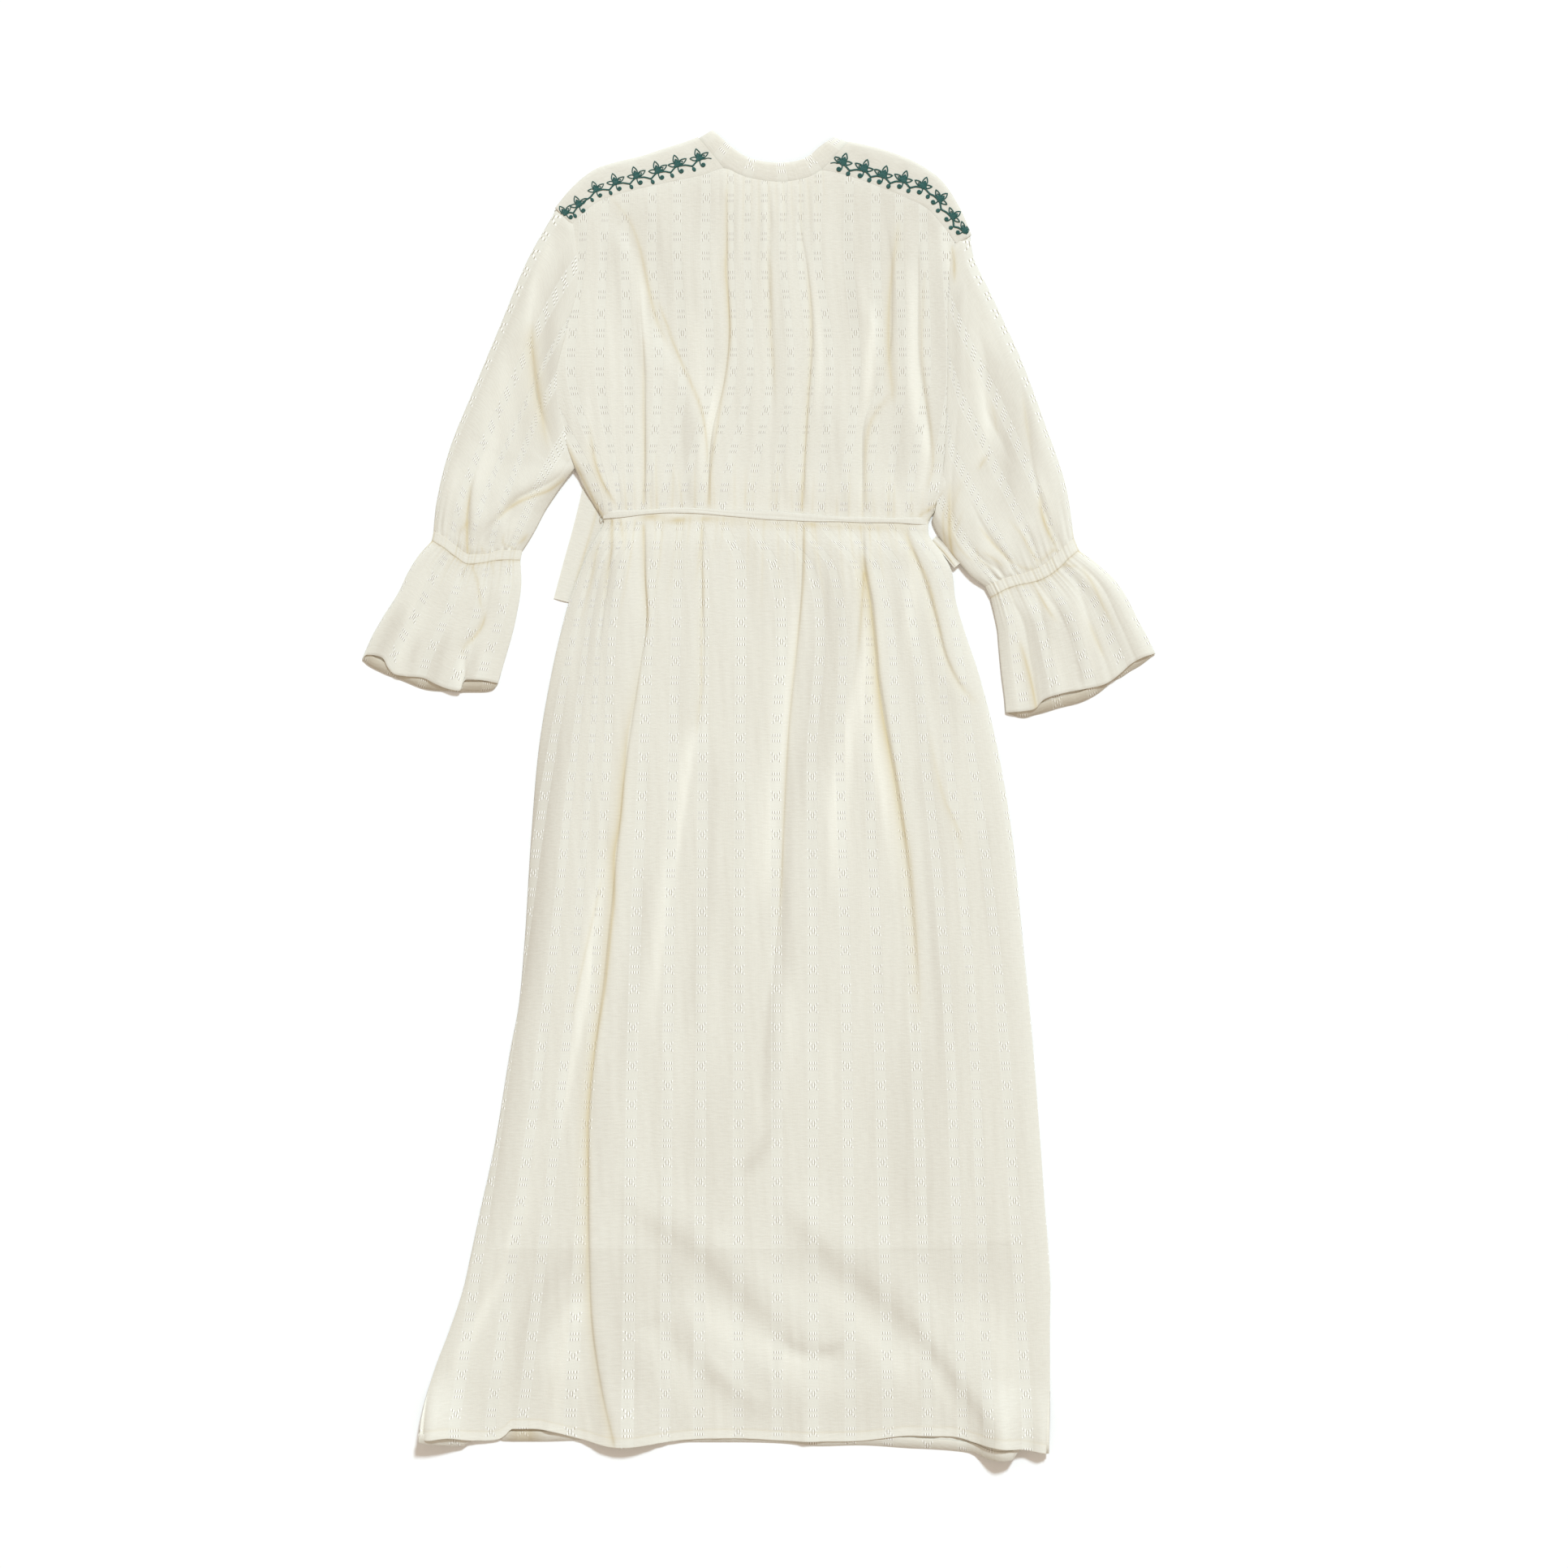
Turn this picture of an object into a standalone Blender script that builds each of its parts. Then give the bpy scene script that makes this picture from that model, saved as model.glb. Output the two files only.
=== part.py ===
# An embroidered maxi dress laid flat on its front, with its back up.
#
# Sizes are in millimetres until they reach a mesh. x runs to the right as seen from above, "down"
# runs from the top of the collar to the hem, and z is the height above the surface it lies on.
# Each piece is cut as a dressmaker would cut it, and is a wall of cloth of one thickness.

import math
from collections import namedtuple

import bmesh
import bpy
import numpy as np

MM = 0.001

# Driving sizes
DRESS_LENGTH = 1307.0    # from the top of the collar to the lowest point of the hem
WALL = 1.2               # the cloth, as a wall
GAP = 0.3                # between one piece and the piece below it
SEAM_GAP = 0.5           # between two pieces along a seam
ARMHOLE_GAP = 0.8        # the same along a curved armhole
SIDE_TOP = 2.7           # the height of the back panel where it meets the front at a side seam
BODY_RISE = 3.9          # how far the back panel stands above that, away from the sides
WAIST_RISE = 2.7         # the same under the belt, which presses it down
SIDE_ROLL = 6.0          # over how far it rises from a side seam
BELT_WIDTH = 7.5
BELT_CLEARANCE = 0.8     # between the belt and the cloth, so that it clears the folds below it
BELT_PRESS = 24.0        # how far above and below the belt the cloth is pressed down
LINING_TOP = 110.0       # where the slip lining starts and ends, down from the collar
LINING_HEM = 1099.0
LINING_INSET = 17.0      # from the side of the dress to the side of the lining
LINING_THICK = 2.0       # the lining's two layers as one
SLEEVE_TOP = 5.6         # the usual height of a sleeve's upper layer
FOLD_MIDDLE = 2.5        # the height of the middle of a folded edge
FOLD_ROLL = 9.0          # over how far the upper layer rises from a folded edge
FOLD_UNDER = 4.0         # and the lower layer falls from it
CASING_TOP = 6.4         # the height of the elastic casing above a flounce
CASING_CROWN = 0.5
CUFF_WIDTH = 90.0        # across a flattened casing
FLOUNCE_MOUTH = 2.5      # how much higher the flounce's upper layer stands at its hem
RUCHE = 0.7              # half the depth of the small gathers at the elastic
GATHER = 1.1             # half the depth of a gather below the collar
GATHER_END = 70.0        # how far down the gathers reach
COLLAR_TOP = 5.4
YOKE_TOP = 6.0

CREAM = (0.86, 0.83, 0.72)
LINING_CREAM = (0.90, 0.88, 0.82)

# The body: both sides and the four long creases that run from shoulder to hem
Section = namedtuple("Section", "down left crease_a crease_b crease_c crease_d right")
BODY = [
    Section(30, -196, -140, -32, 38, 118, 210),
    Section(90, -184, -128, -33, 41, 127, 196),
    Section(140, -179, -119, -32, 48, 130, 190),
    Section(190, -190, -115, -31, 50, 131, 189),
    Section(240, -201, -112, -36, 51, 126, 190),
    Section(300, -191, -112, -44, 47, 104, 188),
    Section(345, -174, -112, -49, 44, 102, 185),
    Section(384, -152, -112, -52, 44, 103, 170),
    Section(410, -166, -111, -53, 43, 103, 181),
    Section(460, -186, -109, -55, 41, 108, 194),
    Section(530, -203, -118, -55, 35, 117, 213),
    Section(600, -215, -127, -59, 28, 128, 232),
    Section(690, -223, -136, -66, 24, 140, 246),
    Section(800, -230, -149, -76, 19, 151, 259),
    Section(900, -244, -161, -84, 15, 160, 270),
    Section(1000, -259, -167, -91, 14, 168, 278),
    Section(1100, -279, -168, -93, 17, 174, 284),
    Section(1200, -309, -163, -91, 26, 180, 287),
    Section(1310, -335, -149, -83, 38, 190, 285),
]
CREASES = ("crease_a", "crease_b", "crease_c", "crease_d")
UNDERARM = {"left": 320.0, "right": 350.0}
WAIST = 384.0
TOP_BENDS_TO = 165.0     # rows above this follow the yoke and collar seams
HEM_BENDS_FROM = 1175.0  # rows below this follow the hem
HEM_ROW = 1290.0
ROWS = (0, 9, 22, 45, 80, 112, 140, 165, 187, 207, 223, 237, 252, 270, 290, 312, 333, 354, 370,
        384, 398, 416, 445, 485, 540, 600, 665, 735, 810, 885, 960, 1030, 1085, 1130, 1175,
        1215, 1250, 1275, 1290)
COLUMNS_BETWEEN = (5, 5, 12, 5, 6)
CREST = 7.0              # from the bottom of a long crease to the crest on its right
SIDE_COLUMNS = (3.0, 9.0)

# The shoulders, from the collar outwards: where the yoke folds to the front, and its back seam
Shoulder = namedtuple("Shoulder", "fold_x fold_down seam_x seam_down")
SHOULDER_LEFT = [
    Shoulder(-60, 6.5, -34, 35),
    Shoulder(-72, 11, -53, 41),
    Shoulder(-92, 17, -76, 46),
    Shoulder(-116, 25, -108, 53),
    Shoulder(-140, 30, -136, 60),
    Shoulder(-160, 38, -160, 69),
    Shoulder(-173, 47, -173, 79),
    Shoulder(-185, 60, -179, 84.5),
    Shoulder(-197, 74, -184.5, 90.5),
]
SHOULDER_RIGHT = [
    Shoulder(89.2, 10.5, 62, 37),
    Shoulder(112, 15, 80, 40),
    Shoulder(132, 20, 100, 46),
    Shoulder(152, 27, 124, 55),
    Shoulder(168, 36, 148, 65),
    Shoulder(180, 45, 168, 76),
    Shoulder(199, 71, 180, 89),
    Shoulder(210, 99.5, 196, 110),
]
YOKE_FRONT_START = {"left": 39.0, "right": 40.0}
YOKE_COLUMNS = 16

# The collar band: its free edge and its seam, on the back and on the hidden front
Band = namedtuple("Band", "free_x free_down seam_x seam_down")
COLLAR_BACK = [
    Band(-47, 0, -58.5, 7),
    Band(-36, 10, -49.5, 16),
    Band(-24, 20, -37, 29.5),
    Band(-12, 27, -20, 39.5),
    Band(3, 30, 2, 45.8),
    Band(20, 32, 20, 47.5),
    Band(39, 30, 40, 45.5),
    Band(51, 25, 55, 40),
    Band(60, 17, 67, 30.3),
    Band(75, 6, 87.5, 10.5),
]
COLLAR_FRONT = [
    Band(-47, 0, -58.5, 7),
    Band(-45, 24, -57, 28),
    Band(-27, 60, -38, 71),
    Band(14, 80, 14, 94),
    Band(50, 64, 61, 75),
    Band(72, 28, 84, 32),
    Band(75, 6, 87.5, 10.5),
]

# The hems of the back and of the front below it, from left to right
Hem = namedtuple("Hem", "x back front")
HEM = [
    Hem(-335, 1290, 1292),
    Hem(-300, 1291, 1294),
    Hem(-268, 1289, 1290),
    Hem(-248, 1279, 1288),
    Hem(-228, 1277, 1286),
    Hem(-188, 1283, 1287),
    Hem(-136, 1294, 1291),
    Hem(-68, 1288, 1290),
    Hem(-20, 1287, 1290),
    Hem(20, 1289, 1291),
    Hem(60, 1290, 1294),
    Hem(100, 1290, 1293),
    Hem(140, 1286, 1295),
    Hem(172, 1286, 1297),
    Hem(204, 1289, 1299),
    Hem(218, 1292, 1305),
    Hem(240, 1296, 1307),
    Hem(258, 1298, 1303),
    Hem(287, 1301, 1302),
]
# Where the back's hem stands off the surface: the place along it, the height and the half width
Lift = namedtuple("Lift", "x high wide")
HEM_LIFTS = [Lift(-316, 6, 22), Lift(-236, 4, 26), Lift(-132, 9, 40), Lift(236, 9, 30)]
HEM_LIFT_REACH = 70.0

# The line of the belt
Waist = namedtuple("Waist", "x down")
WAIST_LINE = [Waist(-160, 383), Waist(-116, 378), Waist(-84, 376), Waist(-44, 374),
              Waist(-4, 375), Waist(36, 378), Waist(76, 382), Waist(132, 384), Waist(175, 386)]
BELT_ENDS = (-151.5, 169.5)

# The free ends of the tie, and where the front is cut away at the side to let them through
Tie = namedtuple("Tie", "x down")
TIE_LEFT = [Tie(-158, 326), Tie(-162, 350), Tie(-170, 385), Tie(-181, 425), Tie(-191, 462)]
TIE_LEFT_WIDTH = 23.0
TIE_RIGHT = [Tie(151, 371), Tie(168, 394), Tie(185, 416)]
TIE_RIGHT_WIDTH = 11.0
Notch = namedtuple("Notch", "x down")
NOTCH_LEFT = [Notch(-145, 319), Notch(-145, 338), Notch(-148, 360), Notch(-154, 387),
              Notch(-165, 424), Notch(-175, 456), Notch(-176, 471), Notch(-191, 473)]
NOTCH_RIGHT = [Notch(184, 349), Notch(146, 358), Notch(137, 376), Notch(157, 401),
               Notch(179, 428), Notch(190, 440), Notch(195, 452)]

# Folds of the back. A crease is a valley along its path between two rolls, and a ridge is a
# roll along it. Left and right are as seen on the dress.
Fold = namedtuple("Fold", "kind path left_high left_wide right_high right_wide fade_in fade_out")
BACK_FOLDS = [
    Fold("crease", [(-122, 122), (-115, 190), (-112, 250), (-112, 384), (-110, 482)],
         3.5, 14, 4.5, 10, 60, 16),
    Fold("crease", [(-110, 478), (-120, 545), (-138, 700), (-161, 900), (-168, 1100),
                    (-163, 1200), (-147, 1320)], 3, 26, 8, 15, 90, 0),
    Fold("crease", [(-33, 66), (-31, 190), (-36, 240), (-47, 325), (-55, 480), (-57, 600)],
         2, 12, 4.5, 10, 40, 50),
    Fold("ridge", [(-60, 585), (-76, 670), (-92, 740), (-106, 815), (-114, 890)],
         4, 16, 4, 9, 70, 90),
    Fold("crease", [(44, 100), (50, 190), (51, 250), (45, 330), (36, 520), (23, 720), (15, 900),
                    (14, 1010)], 4, 14, 4.5, 11, 60, 160),
    Fold("crease", [(127, 84), (131, 175), (130, 220), (121, 252), (107, 282), (102, 320),
                    (103, 426)], 4.5, 15, 4, 11, 50, 10),
    Fold("crease", [(103, 424), (112, 495), (136, 655), (154, 830), (162, 920)],
         1.5, 22, 9, 12, 30, 210),
    Fold("ridge", [(103, 428), (97, 480), (89, 540), (79, 600), (70, 670)], 5, 22, 5, 8, 20, 80),
    Fold("crease", [(156, 80), (160, 140), (158, 215), (165, 275), (171, 320), (160, 355)],
         4, 13, 4.5, 11, 40, 25),
    Fold("ridge", [(-172, 262), (-162, 315), (-149, 350), (-136, 374)], 4, 10, 4, 10, 40, 15),
    Fold("crease", [(-147, 75), (-119, 134), (-106, 178), (-80, 225), (-62, 260), (-54, 310)],
         3.5, 12, 4.5, 14, 40, 90),
    Fold("crease", [(146, 394), (162, 445), (171, 485), (182, 522), (196, 541), (216, 560)],
         5, 14, 2.5, 12, 20, 25),
    Fold("ridge", [(140, 420), (146, 480), (158, 545), (170, 610), (182, 690), (192, 760)],
         4, 14, 4, 8, 60, 90),
    Fold("ridge", [(-196, 905), (-212, 975), (-226, 1035), (-245, 1085), (-310, 1240)],
         6, 20, 6, 14, 90, 60),
    Fold("ridge", [(-178, 1165), (-188, 1190), (-199, 1228), (-214, 1300)], 4, 9, 4, 14, 40, 0),
    Fold("ridge", [(-126, 1030), (-104, 1074), (-62, 1108), (-22, 1140), (16, 1170), (44, 1186),
                   (90, 1190)], 7, 24, 7, 12, 90, 50),
    Fold("ridge", [(-136, 1142), (-102, 1172), (-78, 1184), (-52, 1218), (4, 1268)],
         6, 20, 6, 11, 50, 50),
    Fold("ridge", [(40, 1082), (84, 1112), (120, 1140), (146, 1160), (168, 1184), (188, 1212),
                   (224, 1300)], 8, 24, 8, 13, 80, 30),
    Fold("ridge", [(-170, 1112), (-196, 1138), (-228, 1170), (-256, 1196)], 4, 16, 4, 24, 40, 60),
]
SIDE_FOLD_SHARE = 0.35   # how much of a fold is left at a side seam
SIDE_FOLD_REACH = 12.0

# The sleeves and flounces: their outer and inner folded edges, from the top down
Edges = namedtuple("Edges", "outer_x outer_down inner_x inner_down")
SLEEVE_LEFT = [
    Edges(-198.4, 75.2, -183.6, 327),
    Edges(-224, 124, -194, 347),
    Edges(-250, 186, -203, 360),
    Edges(-276, 250, -210, 371),
    Edges(-302, 312, -220, 390),
    Edges(-316, 366, -227, 402),
    Edges(-320, 397, -233, 411),
]
SLEEVE_RIGHT = [
    Edges(211.4, 101, 182.9, 357),
    Edges(212.8, 120, 184.5, 373),
    Edges(219, 141, 187, 390),
    Edges(239, 177, 190, 402),
    Edges(260, 230, 195, 416),
    Edges(280, 286, 201, 425),
    Edges(298, 343, 213, 437),
    Edges(308, 404, 224, 447),
]
ARMHOLE_START = {"left": (-186.0, 91), "right": (197.2, 112)}
FLOUNCE_LEFT = [
    Edges(-323, 406, -235, 421),
    Edges(-333, 417, -234, 442),
    Edges(-343, 432, -235, 454),
    Edges(-352, 452, -237, 466),
    Edges(-364, 475, -242, 490),
    Edges(-377, 497, -250, 518),
    Edges(-390, 518, -257, 542),
]
FLOUNCE_RIGHT = [
    Edges(315, 417, 230, 458),
    Edges(327, 427, 234, 475),
    Edges(340, 440, 236, 490),
    Edges(353, 458, 237, 502),
    Edges(366, 478, 240, 534),
    Edges(378, 495, 243, 558),
    Edges(389, 512, 244, 571),
]

# The elastic casings: their seam with the sleeve and their seam with the flounce
Casing = namedtuple("Casing", "sleeve_x sleeve_down flounce_x flounce_down")
CASING_LEFT = [
    Casing(-320, 397, -323, 406),
    Casing(-309, 402, -312, 412),
    Casing(-297, 409, -300, 419),
    Casing(-285, 415, -286, 425),
    Casing(-272, 415, -273, 424),
    Casing(-252, 411, -253, 421),
    Casing(-233, 411, -235, 421),
]
CASING_RIGHT = [
    Casing(308, 404, 315, 417),
    Casing(295, 414, 302, 422),
    Casing(279, 425, 286, 432),
    Casing(264, 432, 270, 442),
    Casing(247, 438, 252, 448),
    Casing(224, 447, 230, 458),
]

# The flounces' hems, from the outer edge to the inner one: of the upper layer and the lower
Mouth = namedtuple("Mouth", "x above below")
MOUTH_LEFT = [
    Mouth(-390, 518, 518),
    Mouth(-374, 521, 533),
    Mouth(-362, 532, 541),
    Mouth(-346, 538, 546),
    Mouth(-330, 541, 549),
    Mouth(-312, 548, 550.5),
    Mouth(-292, 549, 551),
    Mouth(-282, 541, 550),
    Mouth(-270, 540, 549),
    Mouth(-257, 542, 542),
]
MOUTH_RIGHT = [
    Mouth(389, 512, 512),
    Mouth(378, 520, 527),
    Mouth(364, 527, 536),
    Mouth(345, 540, 545),
    Mouth(328, 544, 554),
    Mouth(308, 548, 559),
    Mouth(292, 554, 563),
    Mouth(272, 565, 571),
    Mouth(258, 568, 574),
    Mouth(244, 571, 571),
]

SLEEVE_LEFT_FOLDS = [
    Fold("crease", [(-213, 134), (-224, 174), (-225, 206), (-221, 238), (-215, 266), (-204, 298)],
         4.5, 14, 4, 12, 40, 40),
    Fold("crease", [(-250, 292), (-272, 326), (-283, 360), (-287, 390), (-286, 424)],
         5, 13, 5, 11, 50, 0),
    Fold("crease", [(-196, 343), (-218, 354), (-244, 366), (-262, 386), (-274, 406)],
         4.5, 12, 3, 10, 20, 20),
    Fold("ridge", [(-206, 100), (-222, 150), (-240, 200), (-268, 256), (-290, 320)],
         4, 16, 4, 16, 50, 60),
]
SLEEVE_RIGHT_FOLDS = [
    Fold("crease", [(206, 206), (222, 230), (227, 265), (226, 295), (212, 338)],
         4, 15, 3.5, 13, 40, 40),
    Fold("crease", [(259, 246), (264, 290), (274, 345), (279, 380), (292, 410)],
         4, 10, 5, 9, 60, 0),
    Fold("crease", [(216, 378), (232, 398), (250, 418), (258, 434)], 3, 10, 3.5, 9, 30, 0),
    Fold("crease", [(246, 378), (258, 394), (268, 414), (276, 426)], 3, 9, 3.5, 9, 30, 0),
    Fold("crease", [(196, 280), (191, 330), (189, 370), (196, 412)], 3, 8, 4, 11, 50, 30),
]
FLOUNCE_LEFT_FOLDS = [
    Fold("crease", [(-264, 426), (-266, 466), (-280, 500), (-290, 560)], 5, 16, 4, 12, 20, 0),
    Fold("ridge", [(-316, 424), (-338, 460), (-352, 500), (-360, 545)], 5, 12, 5, 12, 20, 0),
    Fold("ridge", [(-298, 430), (-304, 470), (-318, 510), (-324, 555)], 4, 10, 4, 10, 20, 0),
    Fold("ridge", [(-248, 430), (-252, 480), (-268, 555)], 4, 9, 4, 9, 20, 0),
]
FLOUNCE_RIGHT_FOLDS = [
    Fold("crease", [(245, 466), (252, 500), (264, 534), (272, 580)], 5, 14, 4, 12, 20, 0),
    Fold("crease", [(278, 450), (294, 480), (308, 512), (318, 560)], 4, 12, 4, 12, 20, 0),
    Fold("ridge", [(262, 456), (276, 490), (290, 525), (300, 570)], 4, 11, 4, 9, 20, 0),
    Fold("crease", [(318, 432), (330, 465), (342, 505), (352, 550)], 5, 12, 4.5, 12, 20, 0),
    Fold("ridge", [(330, 436), (350, 470), (370, 510), (380, 530)], 4, 10, 4, 9, 20, 0),
]


def smooth_read(places, values, wanted):
    """A smooth line through the values at their places, read at the wanted places."""
    places, values, wanted = (np.asarray(a, float) for a in (places, values, wanted))
    rise = np.diff(values) / np.diff(places)
    slope = np.concatenate([[rise[0]], (rise[1:] + rise[:-1]) / 2, [rise[-1]]])
    flat = np.zeros(len(values), bool)
    flat[1:-1] = rise[1:] * rise[:-1] <= 0
    slope[flat] = 0
    low = np.clip(np.searchsorted(places, wanted) - 1, 0, len(places) - 2)
    span = places[low + 1] - places[low]
    t = np.clip((wanted - places[low]) / span, 0, 1)
    return ((1 + 2 * t) * (1 - t) ** 2 * values[low] + t * (1 - t) ** 2 * span * slope[low]
            + t ** 2 * (3 - 2 * t) * values[low + 1] + t ** 2 * (t - 1) * span * slope[low + 1])


def spline(points, steps):
    """A smooth curve through the points, read at steps from 0 to 1 along its length."""
    points = np.array(points, float)
    lengths = np.linalg.norm(np.diff(points, axis=0), axis=1)
    along = np.concatenate([[0], np.cumsum(lengths)]) / lengths.sum()
    return np.stack([smooth_read(along, points[:, k], steps) for k in range(2)], axis=-1)


def columns_of(table, x_name, down_name):
    """Two named columns of a table as points."""
    return [(getattr(row, x_name), getattr(row, down_name)) for row in table]


def ease(t):
    """Rises smoothly from 0 to 1 as t does."""
    t = np.clip(t, 0, 1)
    return t * t * (3 - 2 * t)


def fold_height(x, down, folds):
    """How far the folds lift the cloth at each point."""
    points = np.stack([x, down], axis=-1).reshape(-1, 2)
    pick = np.arange(len(points))
    total = np.zeros(len(points))
    for fold in folds:
        path = spline(fold.path, np.linspace(0, 1, 28))
        run = np.diff(path, axis=0)
        long = np.linalg.norm(run, axis=1)
        start = np.concatenate([[0], np.cumsum(long)])
        away = points[:, None, :] - path[None, :-1, :]
        t = np.clip((away * run).sum(-1) / long ** 2, 0, 1)
        off = away - t[..., None] * run
        far = np.linalg.norm(off, axis=-1)
        near = far.argmin(axis=1)
        side = run[near, 1] * off[pick, near, 0] - run[near, 0] * off[pick, near, 1]
        distance = far[pick, near]
        reached = start[near] + t[pick, near] * long[near]
        high = np.where(side > 0, fold.right_high, fold.left_high)
        wide = np.where(side > 0, fold.right_wide, fold.left_wide)
        if fold.kind == "crease":
            lift = high * (distance / wide) * np.exp(1 - distance / wide)
        else:
            lift = high * np.exp(-(distance / wide) ** 2)
        if fold.fade_in:
            lift = lift * ease(reached / fold.fade_in)
        if fold.fade_out:
            lift = lift * ease((start[-1] - reached) / fold.fade_out)
        total += lift
    return total.reshape(np.shape(x))


def body(name, down):
    """The place of a side or of a long crease at each distance down."""
    return smooth_read([s.down for s in BODY], [getattr(s, name) for s in BODY], down)


def back_top(x):
    """How far down the top seam of the back panel is."""
    left = columns_of(SHOULDER_LEFT, "seam_x", "seam_down")[::-1]
    middle = [(-16, 42), (0, 46), (20, 48), (40, 46), (55, 41)]
    right = columns_of(SHOULDER_RIGHT, "seam_x", "seam_down")
    return smooth_read(*zip(*(left + middle + right)), x)


def hem_line(name, x):
    return smooth_read([h.x for h in HEM], [getattr(h, name) for h in HEM], x)


def waist_line(x):
    return smooth_read(*zip(*WAIST_LINE), x)


def back_height(x, down):
    """The height of the back panel's outer face."""
    to_left = x - body("left", down)
    to_right = body("right", down) - x
    held_left = to_left + 40 * ease((UNDERARM["left"] + 20 - down) / 40)
    held_right = to_right + 40 * ease((UNDERARM["right"] + 15 - down) / 40)
    from_side = 1 - np.exp(-np.maximum(np.minimum(held_left, held_right), 0) / SIDE_ROLL)
    below_waist = down - waist_line(x)
    off_waist = 1 - np.exp(-(below_waist / BELT_PRESS) ** 2)
    off_waist = np.where(np.abs(below_waist) < BELT_WIDTH, 0, off_waist)
    off_top = 1 - np.exp(-np.maximum(down - back_top(x), 0) / 14)
    near_hem = ease(1 - (hem_line("back", x) - down) / HEM_LIFT_REACH)
    hem = sum(lift.high * np.exp(-((x - lift.x) / lift.wide) ** 2) for lift in HEM_LIFTS)
    rise = WAIST_RISE + (BODY_RISE - WAIST_RISE) * off_waist
    from_seam = 1 - np.exp(-np.maximum(np.minimum(to_left, to_right), 0) / SIDE_FOLD_REACH)
    folds = fold_height(x, down, BACK_FOLDS) * off_waist * off_top
    folds = folds * (SIDE_FOLD_SHARE + (1 - SIDE_FOLD_SHARE) * from_seam)
    return SIDE_TOP + (rise + folds) * from_side + hem * near_hem * (0.4 + 0.6 * from_side)


def back_columns(down):
    """The x of every column of the back panel, at one distance down."""
    left, right = body("left", down), body("right", down)
    starts = [left + SIDE_COLUMNS[-1]] + [body(name, down) + CREST for name in CREASES]
    ends = [body(name, down) for name in CREASES] + [right - SIDE_COLUMNS[-1]]
    columns = [left] + [left + inset for inset in SIDE_COLUMNS[:-1]]
    for first, last, count in zip(starts, ends, COLUMNS_BETWEEN):
        columns += list(np.linspace(first, last, count + 2))
    columns += [right - inset for inset in SIDE_COLUMNS[:-1][::-1]] + [right]
    return columns


def make_back():
    """The back panel, from the yoke and collar seams to the hem."""
    rows = []
    count = len(back_columns(WAIST))
    plain_left = len(SIDE_COLUMNS) + COLUMNS_BETWEEN[0]
    plain_right = len(SIDE_COLUMNS) + COLUMNS_BETWEEN[-1]
    wave = np.where(np.arange(count) % 2 == 0, 2.0, 0.0)
    wave[:plain_left] = 0
    wave[-plain_right:] = 0
    for row in ROWS:
        down = np.full(count, float(row))
        for _ in range(5):
            x = np.array([back_columns(d)[i] for i, d in enumerate(down)])
            if row < TOP_BENDS_TO:
                top = back_top(x) + SEAM_GAP
                down = top + (TOP_BENDS_TO - top) * row / TOP_BENDS_TO
            elif row > HEM_BENDS_FROM:
                share = (row - HEM_BENDS_FROM) / (HEM_ROW - HEM_BENDS_FROM)
                down = HEM_BENDS_FROM + (hem_line("back", x) - HEM_BENDS_FROM) * share
            else:
                down = row + (waist_line(x) - WAIST) * math.exp(-((row - WAIST) / 70) ** 2)
        depth = down - back_top(x)
        z = back_height(x, down)
        z = z + GATHER * wave * ease(depth / 5) * (1 - ease(depth / GATHER_END))
        rows.append(np.stack([x, down, z], axis=-1))
    return make_wall("back", np.array(rows), closed=False)


def to_frame(point):
    """From x, down and z in millimetres to metres in the dress's own frame."""
    x, down, z = point
    return x * MM, (DRESS_LENGTH / 2 - down) * MM, z * MM


def add_object(name, mesh, color):
    material = bpy.data.materials.new(name)
    material.use_nodes = True
    shader = material.node_tree.nodes["Principled BSDF"]
    shader.inputs["Base Color"].default_value = (*color, 1)
    shader.inputs["Roughness"].default_value = 0.85
    shader.inputs["Metallic"].default_value = 0
    mesh.materials.append(material)
    thing = bpy.data.objects.new(name, mesh)
    bpy.context.scene.collection.objects.link(thing)
    return thing


def make_wall(name, grid, closed):
    """A wall of cloth behind an outer face, which is given as rows of points."""
    row_count, column_count = grid.shape[:2]
    faces = []
    for r in range(row_count - 1):
        for c in range(column_count if closed else column_count - 1):
            after = (c + 1) % column_count
            low, high = r * column_count, (r + 1) * column_count
            faces.append((low + c, high + c, high + after, low + after))
    mesh = bpy.data.meshes.new(name)
    mesh.from_pydata([to_frame(point) for row in grid for point in row], [], faces)
    mesh.shade_smooth()
    thing = add_object(name, mesh, CREAM)
    cloth = thing.modifiers.new("cloth", "SOLIDIFY")
    cloth.thickness = WALL * MM
    cloth.offset = -1
    cloth.use_rim = True
    return thing


def make_plate(name, outline, low, thick, color=CREAM):
    """A flat piece of cloth of any outline."""
    shape = bmesh.new()
    face = shape.faces.new([shape.verts.new(to_frame((x, down, low))) for x, down in outline])
    raised = bmesh.ops.extrude_face_region(shape, geom=[face])
    lifted = [v for v in raised["geom"] if isinstance(v, bmesh.types.BMVert)]
    bmesh.ops.translate(shape, vec=(0, 0, thick * MM), verts=lifted)
    bmesh.ops.recalc_face_normals(shape, faces=shape.faces)
    mesh = bpy.data.meshes.new(name)
    shape.to_mesh(mesh)
    shape.free()
    return add_object(name, mesh, color)


def yoke_front(side, shoulder):
    """The seam of a yoke with the hidden front."""
    seam = columns_of(shoulder, "seam_x", "seam_down")
    first = next(i for i, point in enumerate(seam) if point[1] > YOKE_FRONT_START[side])
    start = COLLAR_FRONT[1] if side == "left" else COLLAR_FRONT[-2]
    offset = -3.0 if side == "left" else 3.0
    return [(start.seam_x + offset, YOKE_FRONT_START[side])] + seam[first + 1:]


def side_points(name, first, last, step):
    return [(body(name, down), down) for down in np.arange(first, last, step)]


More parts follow.
